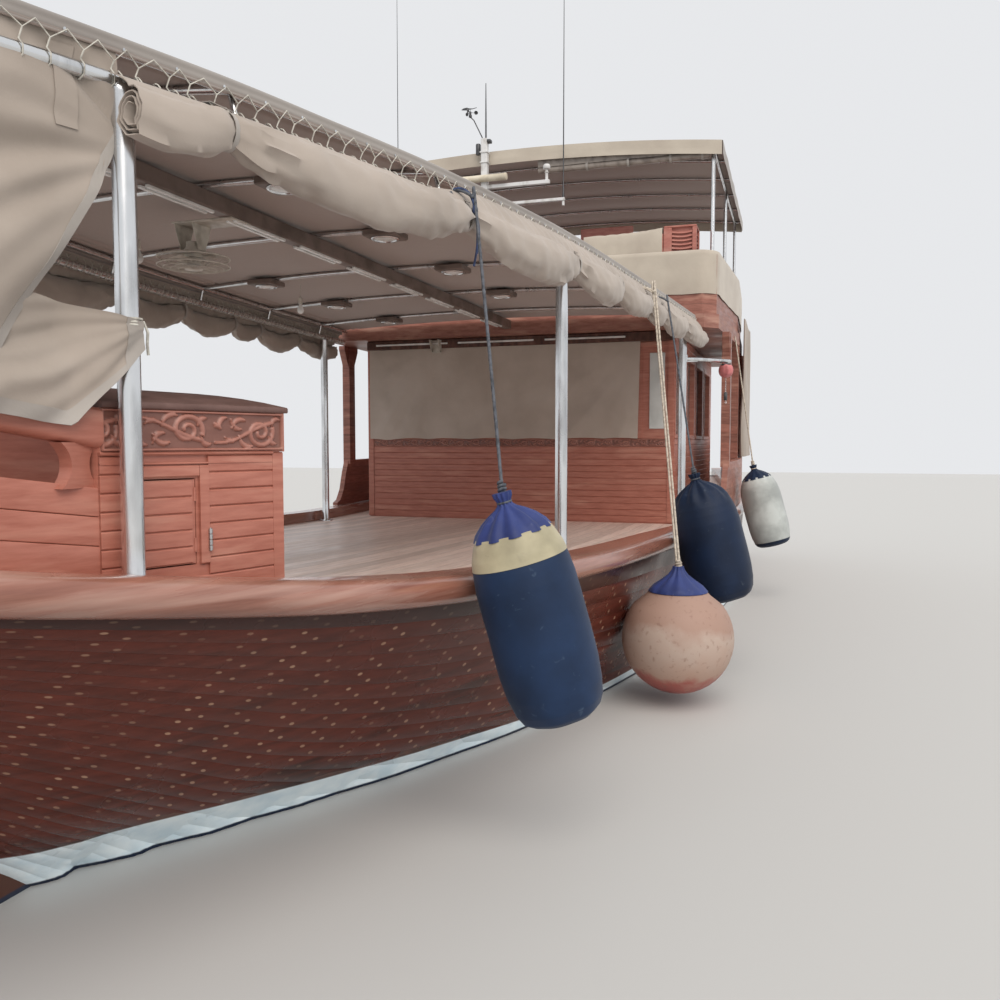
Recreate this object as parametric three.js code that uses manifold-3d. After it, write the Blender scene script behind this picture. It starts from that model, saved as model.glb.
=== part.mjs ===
// A wooden motor dhow of about 18 m, afloat, with a canvas awning forward and a two-storey house aft.
// Millimetres. +X points to the bow, +Y to port and +Z up. The origin is on the centreline amidships,
// at the height of the waterline.

import * as THREE from 'three';
import { mergeVertices } from 'three/addons/utils/BufferGeometryUtils.js';
import Module from 'manifold-3d';

const wasm = await Module();
wasm.setup();

// Driving dimensions
const GAP = 0.3; // left between two pieces that touch
const BEAM_LIMIT = 3400; // wider than the hull everywhere, for cutting tools
const UNDER_DECK = 1000; // lower than the deck everywhere, for walls that are then cut to it
const CUT_MARGIN = 100; // how far a cutting tool passes what it cuts

const CAP_DEPTH = 160; // gunwale timber, from its top to the hull's top
const CAP_WIDTH = 300; // gunwale timber, measured across the boat
const CAP_OVERHANG = 45; // how far its rounded edge stands out past the planking
const CAP_CHAMFER = 45;
const DECK_THICKNESS = 30;
const TRANSOM_X = -8720; // transom at the waterline
const TRANSOM_RAKE = 0.18; // how far aft it leans for each unit of height
const STEM_CAP_END = 9080; // forward end of the gunwale timbers
const KEEL_SIDING = 140; // width of keel, stem and sternpost
const KEEL_BOTTOM = -1300;

const POST_RADIUS = 45;
const POST_INSET = 360; // awning posts and rails, inboard of the planking at deck level
const RAIL_RADIUS = 30;
const RAIL_Z = 3530;
const EDGE_PIPE_RADIUS = 24;
const EDGE_PIPE_Z = 3670;
const RIDGE_WIDTH = 100;
const RIDGE_DEPTH = 110;
const RIB_SIZE = 40;
const AWNING_CAMBER = 70;
const CLOTH = 12; // thickness of a canvas sheet

const HOUSE_INSET = 460; // side walls of the bow house, inboard of the planking at deck level
const WALL = 50;
const CABIN_HALF_WIDTH = 2100;
const CABIN_FRONT_X = -2100;
const CABIN_AFT_X = -7200;
const CABIN_TOP_Z = 3550;
const UPPER_DECK_TOP_Z = 3720;
const UPPER_RAIL_TOP_Z = 4440;
const UPPER_AWNING_Z = 5800;

// Lines of the hull. keelZ is the underside of the planking on the centreline, waterY the half breadth
// at the waterline, sheerY and sheerZ the half breadth and height at the top of the gunwale.
const LINES = [
  { x: -9300, keelZ: 100, waterY: 1450, sheerY: 2140, sheerZ: 1730 },
  { x: -8700, keelZ: -160, waterY: 1800, sheerY: 2300, sheerZ: 1620 },
  { x: -7400, keelZ: -580, waterY: 2350, sheerY: 2560, sheerZ: 1470 },
  { x: -6000, keelZ: -880, waterY: 2640, sheerY: 2740, sheerZ: 1365 },
  { x: -4000, keelZ: -1060, waterY: 2760, sheerY: 2840, sheerZ: 1280 },
  { x: -1200, keelZ: -1110, waterY: 2530, sheerY: 2670, sheerZ: 1260 },
  { x: 1000, keelZ: -1110, waterY: 2190, sheerY: 2480, sheerZ: 1320 },
  { x: 2900, keelZ: -1080, waterY: 1660, sheerY: 2280, sheerZ: 1370 },
  { x: 4500, keelZ: -960, waterY: 920, sheerY: 1990, sheerZ: 1430 },
  { x: 5400, keelZ: -560, waterY: 380, sheerY: 1750, sheerZ: 1500 },
  { x: 6050, keelZ: 0, waterY: 0, sheerY: 1560, sheerZ: 1580 },
  { x: 7200, keelZ: 880, waterY: 0, sheerY: 1120, sheerZ: 1760 },
  { x: 8300, keelZ: 1540, waterY: 0, sheerY: 640, sheerZ: 2000 },
  { x: 9300, keelZ: 2060, waterY: 0, sheerY: 60, sheerZ: 2290 },
];
const HULL_STATIONS = [
  -9300, -8700, -8050, -7400, -6700, -6000, -5000, -4000, -2600, -1200, 0, 1000, 2000, 2900, 3700, 4500,
  4950, 5400, 5750, 6050, 6600, 7200, 7800, 8300, 8800, 9200,
];
const BOTTOM_STEPS = 5;
const SIDE_STEPS = 4;

// A smooth value of one column of LINES at a distance x along the hull
function fair(column, x) {
  const last = LINES.length - 1;
  let i = 0;
  while (i < last - 1 && x > LINES[i + 1].x) i += 1;
  const slope = (a, b) => (LINES[b][column] - LINES[a][column]) / (LINES[b].x - LINES[a].x);
  const span = LINES[i + 1].x - LINES[i].x;
  const m0 = i > 0 ? slope(i - 1, i + 1) : slope(i, i + 1);
  const m1 = i + 2 <= last ? slope(i, i + 2) : slope(i, i + 1);
  const t = (x - LINES[i].x) / span;
  const a = LINES[i][column];
  const b = LINES[i + 1][column];
  const t2 = t * t;
  const t3 = t2 * t;
  const ends = (2 * t3 - 3 * t2 + 1) * a + (3 * t2 - 2 * t3) * b;
  return ends + ((t3 - 2 * t2 + t) * m0 + (t3 - t2) * m1) * span;
}

// The same value on the hull as built, which runs straight from station to station
function line(column, x) {
  const last = HULL_STATIONS.length - 1;
  const i = Math.max(1, HULL_STATIONS.findIndex((station, k) => station >= x || k === last));
  const [x0, x1] = [HULL_STATIONS[i - 1], HULL_STATIONS[i]];
  return fair(column, x0) + ((fair(column, x1) - fair(column, x0)) * (x - x0)) / (x1 - x0);
}

const sheerY = (x) => line('sheerY', x);
const sheerZ = (x) => line('sheerZ', x);
const hullTopZ = (x) => sheerZ(x) - CAP_DEPTH;
const deckTopZ = (x) => hullTopZ(x) + GAP + DECK_THICKNESS;
const transomX = (z) => TRANSOM_X - TRANSOM_RAKE * z;
const stemLineZ = (x) => (x < 6050 ? Math.min(line('keelZ', x), 0) : line('keelZ', x));

// Half breadth of the planking at a station x and height z
function hullHalfBreadth(x, z) {
  const bottom = stemLineZ(x);
  const waterY = x < 6050 ? Math.max(line('waterY', x), 0) : 0;
  if (z < 0 && bottom < 0) {
    return waterY * (1 - (Math.min(z / bottom, 1)) ** 2.2) ** 0.62;
  }
  const start = Math.max(bottom, 0);
  const rise = THREE.MathUtils.clamp((z - start) / (sheerZ(x) - start), 0, 1);
  return waterY + (sheerY(x) - waterY) * rise ** 0.88;
}

// Solids and meshes
function solid(geometry) {
  const bare = geometry.clone();
  bare.deleteAttribute('normal');
  bare.deleteAttribute('uv');
  const merged = mergeVertices(bare, 0.001);
  const positions = merged.attributes.position.array;
  const index = Array.from(merged.index.array);
  const faces = [];
  for (let i = 0; i < index.length; i += 3) {
    const [a, b, c] = index.slice(i, i + 3);
    if (a !== b && b !== c && c !== a) faces.push(a, b, c);
  }
  const make = (triangles) => new wasm.Manifold(new wasm.Mesh({
    numProp: 3,
    vertProperties: new Float32Array(positions),
    triVerts: new Uint32Array(triangles),
  }));
  const made = make(faces);
  if (made.volume() > 0) return made;
  return make(faces.map((v, i) => faces[i - (i % 3) + [0, 2, 1][i % 3]]));
}

const join = (parts) => parts.reduce((sum, part) => sum.add(part));
const cut = (body, tools) => tools.reduce((rest, tool) => rest.subtract(tool), body);

function block(x0, x1, y0, y1, z0, z1) {
  const geometry = new THREE.BoxGeometry(x1 - x0, y1 - y0, z1 - z0);
  geometry.translate((x0 + x1) / 2, (y0 + y1) / 2, (z0 + z1) / 2);
  return solid(geometry);
}

function rod(from, to, radius, sides = 8, endRadius = radius) {
  const a = new THREE.Vector3(...from);
  const b = new THREE.Vector3(...to);
  const geometry = new THREE.CylinderGeometry(endRadius, radius, a.distanceTo(b), sides);
  geometry.rotateY(Math.PI / sides);
  const up = new THREE.Vector3(0, 1, 0);
  geometry.applyQuaternion(new THREE.Quaternion().setFromUnitVectors(up, b.clone().sub(a).normalize()));
  geometry.translate(...a.add(b).multiplyScalar(0.5).toArray());
  return solid(geometry);
}

// A solid through closed rings of [x, y, z] points, all with the same number of points. The ends are
// fans from their middles, or on a thin band, whose second half of points runs back over the first, strips.
function loft(rings, band = false) {
  const n = rings[0].length;
  const middle = (ring) => [0, 1, 2].map((k) => ring.reduce((sum, p) => sum + p[k], 0) / n);
  const points = rings.flat();
  if (!band) points.push(middle(rings[0]), middle(rings[rings.length - 1]));
  const start = rings.length * n;
  const end = start + 1;
  const faces = [];
  for (let i = 0; i < rings.length - 1; i += 1) {
    for (let j = 0; j < n; j += 1) {
      const k = (j + 1) % n;
      const [a, b, c, d] = [i * n + j, i * n + k, (i + 1) * n + k, (i + 1) * n + j];
      faces.push(a, b, c, a, c, d);
    }
  }
  const tail = (rings.length - 1) * n;
  for (let j = 0; j < n; j += 1) {
    const k = (j + 1) % n;
    if (!band) faces.push(start, k, j, end, tail + j, tail + k);
  }
  for (let j = 0; band && j < n / 2 - 1; j += 1) {
    const [a, b, c, d] = [j, j + 1, n - 2 - j, n - 1 - j];
    faces.push(a, c, b, a, d, c);
    faces.push(tail + a, tail + b, tail + c, tail + a, tail + c, tail + d);
  }
  const geometry = new THREE.BufferGeometry();
  geometry.setAttribute('position', new THREE.BufferAttribute(new Float32Array(points.flat()), 3));
  geometry.setIndex(faces);
  return solid(geometry);
}

function shapeOf(points) {
  return new THREE.Shape(points.map(([a, b]) => new THREE.Vector2(a, b)));
}

// A plate whose outline lies in the XY plane, from z0 up to z1
function plateXY(points, z0, z1) {
  const geometry = new THREE.ExtrudeGeometry(shapeOf(points), { depth: z1 - z0, bevelEnabled: false });
  geometry.translate(0, 0, z0);
  return solid(geometry);
}

// A plate whose outline lies in the XZ plane, from y0 to y1
function plateXZ(points, y0, y1) {
  const geometry = new THREE.ExtrudeGeometry(shapeOf(points), { depth: y1 - y0, bevelEnabled: false });
  geometry.rotateX(Math.PI / 2);
  geometry.translate(0, y1, 0);
  return solid(geometry);
}

const mirrored = (body) => body.mirror([0, 1, 0]);
function stationsBetween(x0, x1, count) {
  return Array.from({ length: count + 1 }, (_, i) => x0 + ((x1 - x0) * i) / count);
}

// Everything below the surface z = top(x), for setting a piece down on the curved deck or gunwale
function below(top) {
  return loft(HULL_STATIONS.map((x) => [
    [x, -BEAM_LIMIT, -3000], [x, BEAM_LIMIT, -3000], [x, BEAM_LIMIT, top(x)], [x, -BEAM_LIMIT, top(x)],
  ]));
}

// Everything aft of the raked transom
function behindTransom(offset) {
  const outline = [
    [transomX(-2000) + offset, -2000], [transomX(6000) + offset, 6000], [-12000, 6000], [-12000, -2000],
  ];
  return plateXZ(outline, -BEAM_LIMIT, BEAM_LIMIT);
}

const group = new THREE.Group();
group.name = 'motor_dhow';

const FINISHES = {
  topside: { color: 0x5e2417, roughness: 0.35, metalness: 0 },
  timber: { color: 0x8a4a33, roughness: 0.5, metalness: 0 },
  capWood: { color: 0x9a5334, roughness: 0.35, metalness: 0 },
  deckWood: { color: 0x7d5442, roughness: 0.65, metalness: 0 },
  darkWood: { color: 0x4b342e, roughness: 0.7, metalness: 0 },
  canvas: { color: 0xb3a48c, roughness: 0.9, metalness: 0 },
  steel: { color: 0xb9bcbd, roughness: 0.25, metalness: 1 },
  bronze: { color: 0x9a7b43, roughness: 0.4, metalness: 1 },
  iron: { color: 0x4c4f50, roughness: 0.6, metalness: 0.8 },
  white: { color: 0xdedfdd, roughness: 0.4, metalness: 0 },
  navy: { color: 0x1f2b45, roughness: 0.85, metalness: 0 },
  orange: { color: 0xb9694c, roughness: 0.6, metalness: 0 },
  glass: { color: 0x6f8080, roughness: 0.08, metalness: 0 },
};

function addPiece(name, body, finish, origin = [0, 0, 0]) {
  const moved = body.translate(origin.map((v) => -v));
  const data = moved.getMesh();
  const geometry = new THREE.BufferGeometry();
  geometry.setAttribute('position', new THREE.BufferAttribute(new Float32Array(data.vertProperties), 3));
  geometry.setIndex(Array.from(data.triVerts));
  geometry.computeVertexNormals();
  const mesh = new THREE.Mesh(geometry, new THREE.MeshStandardMaterial(FINISHES[finish]));
  mesh.name = name;
  mesh.position.set(...origin);
  group.add(mesh);
}

// Hull: carvel planking and frames as one solid, open on top over the engine
function hullRing(x) {
  const bottom = stemLineZ(x);
  const top = hullTopZ(x);
  const side = [];
  for (let i = 1; i <= BOTTOM_STEPS; i += 1) {
    const z = Math.min(bottom, 0) * Math.cos((Math.PI / 2) * (i / BOTTOM_STEPS));
    side.push(bottom < 0 ? [hullHalfBreadth(x, z), z] : [0, bottom]);
  }
  for (let i = 1; i <= SIDE_STEPS; i += 1) {
    const start = Math.max(bottom, 0);
    const z = start + (top - start) * (i / SIDE_STEPS);
    side.push([hullHalfBreadth(x, z), z]);
  }
  const port = side.map(([y, z]) => [x, y, z]);
  const starboard = side.map(([y, z]) => [x, -y, z]).reverse();
  return [[x, 0, bottom], ...port, ...starboard];
}

const ENGINE = { x0: -6300, x1: -4500, halfWidth: 480, z0: -560, z1: 620 };
const ENGINE_ROOM = { x0: -6600, x1: -4200, halfWidth: 900, z0: -560 - GAP };
const hullForm = loft(HULL_STATIONS.map(hullRing));
const engineRoom = block(
  ENGINE_ROOM.x0, ENGINE_ROOM.x1, -ENGINE_ROOM.halfWidth, ENGINE_ROOM.halfWidth, ENGINE_ROOM.z0, 3000,
);

// Rudder irons: a lug on the transom at each height, with a hole for the rudder's pin
const RUDDER_AXIS_OFFSET = -75; // aft of the transom
const PIN_RADIUS = 16;
const ROUND = 24; // sides of a turning pin and of its hole
const holeFor = (radius) => (radius + GAP) / Math.cos(Math.PI / ROUND);
const LUG = { halfWidth: 45, halfHeight: 30, reach: 125, heights: [330, 1080] };
const rudderAxisX = (z) => transomX(z) + RUDDER_AXIS_OFFSET;
function rudderRod(z0, z1, radius) {
  return rod([rudderAxisX(z0), 0, z0], [rudderAxisX(z1), 0, z1], radius, ROUND);
}
const lugs = LUG.heights.map((z) => {
  const [x0, x1] = [transomX(z) - LUG.reach, transomX(z) + 150];
  const lug = block(x0, x1, -LUG.halfWidth, LUG.halfWidth, z - LUG.halfHeight, z + LUG.halfHeight);
  return lug.subtract(rudderRod(z - 80, z + 80, holeFor(PIN_RADIUS)));
});
const hull = join([cut(hullForm, [engineRoom, behindTransom(0)]), ...lugs]);
addPiece('hull', hull, 'topside');
const engine = block(ENGINE.x0, ENGINE.x1, -ENGINE.halfWidth, ENGINE.halfWidth, ENGINE.z0, ENGINE.z1);
addPiece('engine_block', engine, 'iron');

// Keel, forefoot, stem and deadwood: one line of heavy timbers, with a sole piece under the propeller
const backboneOutline = [
  [-8900, KEEL_BOTTOM], [4500, KEEL_BOTTOM], [5050, -1210], [5550, -920], [6000, -470], [6500, 30],
  [7200, 650], [8000, 1180], [8800, 1620], [9360, 1960], [9600, 2300], [9680, 2640], [9640, 2860],
  [9480, 2920],
  [9360, 2820], [9300, 2600], [9180, 2330], [9100, 2200], [9100, 2060], [8300, 1720], [7200, 1080],
  [6400, 480], [5800, -60], [5200, -600], [4500, -860], [1000, -980], [-4000, -930], [-6000, -760],
  [-7850, -380],
  [-7850, -1190], [-8900, -1190],
];
const SHAFT_Z = -780;
const SHAFT_RADIUS = 32;
const grownHull = [[0, 0, 0], [0, 0, 0.4], [0.4, 0, -0.4], [0.2, 0.4, -0.3], [0.2, -0.4, -0.3]];
const shaftHole = rod([-8000, 0, SHAFT_Z], [-7300, 0, SHAFT_Z], holeFor(SHAFT_RADIUS), ROUND);
const heelHole = rudderRod(-1340, -1150, holeFor(PIN_RADIUS));
const backbone = cut(
  plateXZ(backboneOutline, -KEEL_SIDING / 2, KEEL_SIDING / 2),
  [...grownHull.map((offset) => hullForm.translate(offset)), shaftHole, heelHole],
);
addPiece('backbone', backbone, 'darkWood');

// Propeller on its shaft
const PROPELLER_X = -8130;
const PROPELLER_RADIUS = 300;
const BLADE_COUNT = 4;
const BLADE = { thickness: 14, pitchAngle: 58 };
const propellerHub = rod([PROPELLER_X - 110, 0, SHAFT_Z], [PROPELLER_X + 90, 0, SHAFT_Z], 45, 12, 70);
const shaft = rod([PROPELLER_X, 0, SHAFT_Z], [-7320, 0, SHAFT_Z], SHAFT_RADIUS, ROUND);
const blades = Array.from({ length: BLADE_COUNT }, (_, i) => {
  const outline = [
    [-30, 30], [30, 30], [105, 140], [90, 250], [0, PROPELLER_RADIUS], [-90, 250], [-105, 140],
  ];
  const depth = BLADE.thickness;
  const geometry = new THREE.ExtrudeGeometry(shapeOf(outline), { depth, bevelEnabled: false });
  geometry.translate(0, 0, -BLADE.thickness / 2);
  geometry.rotateY(THREE.MathUtils.degToRad(BLADE.pitchAngle));
  geometry.rotateX((Math.PI / 2) + (i * 2 * Math.PI) / BLADE_COUNT);
  geometry.translate(PROPELLER_X, 0, SHAFT_Z);
  return solid(geometry);
});
addPiece('propeller', join([propellerHub, shaft, ...blades]), 'bronze', [PROPELLER_X, 0, SHAFT_Z]);

// Rudder: a planked blade with pins in the transom lugs and in the sole piece
const RUDDER_HALF_THICKNESS = 38;
const rudderOutline = [
  [rudderAxisX(-1175) + 22, -1175], [rudderAxisX(1420) + 22, 1420], [rudderAxisX(1420) - 170, 1420],
  [rudderAxisX(700) - 230, 700], [rudderAxisX(0) - 520, 0], [rudderAxisX(-500) - 720, -500],
  [rudderAxisX(-1175) - 760, -1175],
];
const rudderNotches = LUG.heights.map((z) => block(
  rudderAxisX(z) - 78, rudderAxisX(z) + 300, -200, 200, z - LUG.halfHeight - 20, z + LUG.halfHeight + 20,
));
const rudderPins = LUG.heights.map((z) => rudderRod(z - 90, z + 90, PIN_RADIUS));
const heelPin = rudderRod(-1285, -1100, PIN_RADIUS);
const rudderPlate = plateXZ(rudderOutline, -RUDDER_HALF_THICKNESS, RUDDER_HALF_THICKNESS);
const rudderBlade = cut(rudderPlate, rudderNotches);
addPiece('rudder', join([rudderBlade, ...rudderPins, heelPin]), 'darkWood', [rudderAxisX(0), 0, 0]);

// Gunwale timbers: heavy rounded edges along both sides, and one across the transom
function capRing(x, side) {
  const outer = sheerY(x) + CAP_OVERHANG;
  const inner = Math.max(sheerY(x) + CAP_OVERHANG - CAP_WIDTH, GAP);
  const top = sheerZ(x);
  const foot = hullTopZ(x) + GAP;
  return [
    [x, side * inner, foot], [x, side * (outer - 20), foot], [x, side * outer, foot + CAP_CHAMFER],
    [x, side * outer, top - CAP_CHAMFER], [x, side * (outer - CAP_CHAMFER), top], [x, side * inner, top],
  ];
}
const STERN_CAP = { fore: 260, halfWidth: 1850 };
const capStations = HULL_STATIONS.filter((x) => x < STEM_CAP_END).concat(STEM_CAP_END);
const sternCapX = transomX(1500) + STERN_CAP.fore;
const sternCut = block(-12000, sternCapX + GAP, -STERN_CAP.halfWidth, STERN_CAP.halfWidth, 0, 3000);
const gunwalePort = cut(loft(capStations.map((x) => capRing(x, 1))), [behindTransom(0), sternCut]);
addPiece('gunwale_port', gunwalePort, 'capWood');
addPiece('gunwale_stbd', mirrored(gunwalePort), 'capWood');

// Main deck, laid between the gunwales
const deckEdge = (x) => sheerY(x) + CAP_OVERHANG - CAP_WIDTH - GAP;
const DECK_FORE_X = 8700;
const DECK_AFT_X = sternCapX + 2 * GAP;
const deckInner = HULL_STATIONS.filter((x) => x > DECK_AFT_X && x < DECK_FORE_X);
const deckStations = [DECK_AFT_X, ...deckInner, DECK_FORE_X];
const mainDeck = loft(deckStations.map((x) => {
  const edge = deckEdge(x);
  const foot = hullTopZ(x) + GAP;
  const top = foot + DECK_THICKNESS;
  return [[x, -edge, foot], [x, edge, foot], [x, edge, top], [x, -edge, top]];
}));
addPiece('main_deck', mainDeck, 'deckWood');

const deckCutter = below((x) => deckTopZ(x) + GAP);
const capCutter = below((x) => sheerZ(x) + GAP);
const standOnDeck = (body) => body.subtract(deckCutter);
const standOnCap = (body) => body.subtract(capCutter);

// Taffrail: the transom's top timber with a low panel above it
const taffrailX = transomX(1500) + 10;
const taffrailTimber = cut(
  block(-9200, sternCapX, -STERN_CAP.halfWidth + GAP, STERN_CAP.halfWidth - GAP, 1300, 1700),
  [behindTransom(0), below((x) => hullTopZ(x) + GAP)],
);
const TAFFRAIL_TOP = 2450;
const taffrailHalf = STERN_CAP.halfWidth - 20;
const taffrailPanel = block(
  taffrailX + 40, taffrailX + 100, -taffrailHalf, taffrailHalf, 1650, TAFFRAIL_TOP,
);
const taffrailRail = block(
  taffrailX, taffrailX + 140, -taffrailHalf, taffrailHalf, TAFFRAIL_TOP, TAFFRAIL_TOP + 60,
);
addPiece('taffrail', join([taffrailTimber, taffrailPanel, taffrailRail]), 'timber');

// Bow house: a low cubicle across the foredeck, with a carved band under its roof
const HOUSE = { aftX: 5590, foreX: 6450, wall: 42, topZ: 2290, bandZ: 2110, bandProud: 14 };
const houseSide = (x) => sheerY(x) - HOUSE_INSET;
function housePlan(inset, aftInset, foreInset = aftInset) {
  const xs = [HOUSE.aftX + aftInset, 6000, HOUSE.foreX - foreInset];
  const side = xs.map((x) => [x, houseSide(x) - inset]);
  return [...side.map(([x, y]) => [x, -y]), ...side.reverse()];
}
const HOUSE_DOOR = {
  x0: 6040, x1: 6300, z0: 1625, z1: 2000, thickness: 30, gap: 6, knuckles: [1680, 1900], knuckleHeight: 60,
};
const houseShell = plateXY(housePlan(0, 0), UNDER_DECK, HOUSE.topZ)
  .subtract(plateXY(housePlan(HOUSE.wall, HOUSE.wall), UNDER_DECK - CUT_MARGIN, HOUSE.topZ + CUT_MARGIN));
const houseBand = plateXY(housePlan(-HOUSE.bandProud, -HOUSE.bandProud, 0), HOUSE.bandZ, HOUSE.topZ)
  .subtract(plateXY(
    housePlan(HOUSE.wall - 5, HOUSE.wall - 5), HOUSE.bandZ - CUT_MARGIN, HOUSE.topZ + CUT_MARGIN,
  ));
const houseDoorCut = block(HOUSE_DOOR.x0, HOUSE_DOOR.x1, 700, 1400, HOUSE_DOOR.z0, HOUSE_DOOR.z1);
addPiece('bow_house_walls', standOnDeck(cut(houseShell.add(houseBand), [houseDoorCut])), 'timber');

const houseKneeX = 6000;
function houseDoorFace(x, inset) {
  const slope = (houseSide(HOUSE.foreX) - houseSide(houseKneeX)) / (HOUSE.foreX - houseKneeX);
  return [x, houseSide(houseKneeX) + slope * (x - houseKneeX) - inset];
}
const doorX0 = HOUSE_DOOR.x0 + HOUSE_DOOR.gap;
const doorX1 = HOUSE_DOOR.x1 - HOUSE_DOOR.gap;
const bowDoor = plateXY(
  [
    houseDoorFace(doorX0, 0), houseDoorFace(doorX1, 0),
    houseDoorFace(doorX1, HOUSE_DOOR.thickness), houseDoorFace(doorX0, HOUSE_DOOR.thickness),
  ],
  HOUSE_DOOR.z0 + HOUSE_DOOR.gap, HOUSE_DOOR.z1 - HOUSE_DOOR.gap,
);
const [bowHingeX, bowHingeY] = houseDoorFace(doorX0, 0);
const bowKnuckles = HOUSE_DOOR.knuckles.map((z) => {
  const head = z + HOUSE_DOOR.knuckleHeight;
  return rod([bowHingeX, bowHingeY, z], [bowHingeX, bowHingeY, head], HOUSE_DOOR.gap - GAP, ROUND);
});
const bowHinge = [bowHingeX, bowHingeY, HOUSE_DOOR.z0];
addPiece('bow_house_door', join([bowDoor, ...bowKnuckles]), 'timber', bowHinge);

const ROOF = { overhang: 30, edge: 25, crown: 105, shoulder: 0.55 };
const roofRings = [HOUSE.aftX - ROOF.overhang, 6000, HOUSE.foreX].map((x) => {
  const half = houseSide(x) + ROOF.overhang;
  const foot = HOUSE.topZ + GAP;
  return [
    [x, -half, foot], [x, half, foot], [x, half, foot + ROOF.edge],
    [x, half * ROOF.shoulder, foot + ROOF.crown],
    [x, -half * ROOF.shoulder, foot + ROOF.crown], [x, -half, foot + ROOF.edge],
  ];
});
addPiece('bow_house_roof', loft(roofRings), 'darkWood');

// Bow bulwarks: a planked panel, waisted uprights and a heavy rail with a sweep down to the house
const BULWARK = {
  aftX: HOUSE.foreX + GAP, foreX: 8480, half: 26, panelTop: 1975, panelRise: 0.16, railFoot: 2130,
  railTop: 2290, railRise: 0.2, railHalf: 60,
};
const bulwarkY = (x) => sheerY(x) - HOUSE_INSET - BULWARK.half;
const bulwarkStations = stationsBetween(BULWARK.aftX, BULWARK.foreX, 6);
const panelTopZ = (x) => BULWARK.panelTop + (x - BULWARK.aftX) * BULWARK.panelRise;
const railFootZ = (x) => BULWARK.railFoot + (x - BULWARK.aftX) * BULWARK.railRise;
const railTopZ = (x) => BULWARK.railTop + (x - BULWARK.aftX) * BULWARK.railRise;
function strip(half, footZ, topZ, stations = bulwarkStations) {
  return loft(stations.map((x) => {
    const y = bulwarkY(x);
    const [foot, top] = [footZ(x), topZ(x)];
    return [[x, y - half, foot], [x, y + half, foot], [x, y + half, top], [x, y - half, top]];
  }));
}
const UPRIGHT = { pitch: 400, first: 30, width: 70, half: 32, tenon: 20 };
const uprights = [0, 1, 2, 3, 4].map((i) => {
  const x = BULWARK.aftX + UPRIGHT.first + i * UPRIGHT.pitch;
  return strip(
    UPRIGHT.half, (s) => panelTopZ(s) - UPRIGHT.tenon, (s) => railFootZ(s) + UPRIGHT.tenon,
    [x, x + UPRIGHT.width],
  );
});
const bulwarkPort = standOnDeck(join([
  strip(BULWARK.half, () => UNDER_DECK, panelTopZ), strip(BULWARK.railHalf, railFootZ, railTopZ), ...uprights,
])).subtract(block(8000, 9000, -BEAM_LIMIT, GAP, 0, 4000));
addPiece('bow_bulwark_port', bulwarkPort, 'timber');
addPiece('bow_bulwark_stbd', mirrored(bulwarkPort), 'timber');

// Mooring bitts on the foredeck
const BITTS = { x: 7500, y: 170, size: 120, top: 2180, beamHalf: 45, beamReach: 380, beamZ: [1980, 2080] };
const bittPosts = [-1, 1].map((side) => {
  const [half, y] = [BITTS.size / 2, side * BITTS.y];
  return block(BITTS.x - half, BITTS.x + half, y - half, y + half, UNDER_DECK, BITTS.top);
});
const bittBeam = block(
  BITTS.x - BITTS.beamHalf, BITTS.x + BITTS.beamHalf, -BITTS.beamReach, BITTS.beamReach, ...BITTS.beamZ,
);
addPiece('mooring_bitts', standOnDeck(join([...bittPosts, bittBeam])), 'darkWood');

// Aft house: four walls with window and door openings
const WINDOW = { foot: 2260, head: 3300 };
const SIDE_WINDOWS = [-3120, -4340, -5560, -6780]; // aft edge of each side window
const SIDE_WINDOW_WIDTH = 900;
const FRONT_WINDOWS = [[-1650, -120], [120, 1650]];
const CABIN_DOOR = {
  halfWidth: 400, head: 3250, sill: 1560, gap: 8, thickness: 40, knuckles: [1800, 2400, 3000],
};
const wallTop = CABIN_TOP_Z - GAP;
const frontWall = cut(
  block(CABIN_FRONT_X - WALL, CABIN_FRONT_X, -CABIN_HALF_WIDTH, CABIN_HALF_WIDTH, UNDER_DECK, wallTop),
  FRONT_WINDOWS.map(([y0, y1]) => (
    block(CABIN_FRONT_X - 100, CABIN_FRONT_X + 50, y0, y1, WINDOW.foot, WINDOW.head)
  )),
);
addPiece('cabin_front', standOnDeck(frontWall), 'timber');

const sideWallEnds = [CABIN_AFT_X + GAP, CABIN_FRONT_X - WALL - GAP];
const sideWall = cut(
  block(...sideWallEnds, CABIN_HALF_WIDTH - WALL, CABIN_HALF_WIDTH, UNDER_DECK, wallTop),
  SIDE_WINDOWS.map((x) => block(x, x + SIDE_WINDOW_WIDTH, 1900, 2300, WINDOW.foot, WINDOW.head)),
);
addPiece('cabin_port', standOnDeck(sideWall), 'timber');
addPiece('cabin_stbd', standOnDeck(mirrored(sideWall)), 'timber');

const doorwayHalf = CABIN_DOOR.halfWidth;
const doorway = block(
  CABIN_AFT_X - 100, CABIN_AFT_X + 50, -doorwayHalf, doorwayHalf, CABIN_DOOR.sill, CABIN_DOOR.head,
);
const aftWall = cut(
  block(CABIN_AFT_X - WALL, CABIN_AFT_X, -CABIN_HALF_WIDTH, CABIN_HALF_WIDTH, UNDER_DECK, wallTop),
  [doorway],
);
addPiece('cabin_aft', standOnDeck(aftWall), 'timber');

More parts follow.
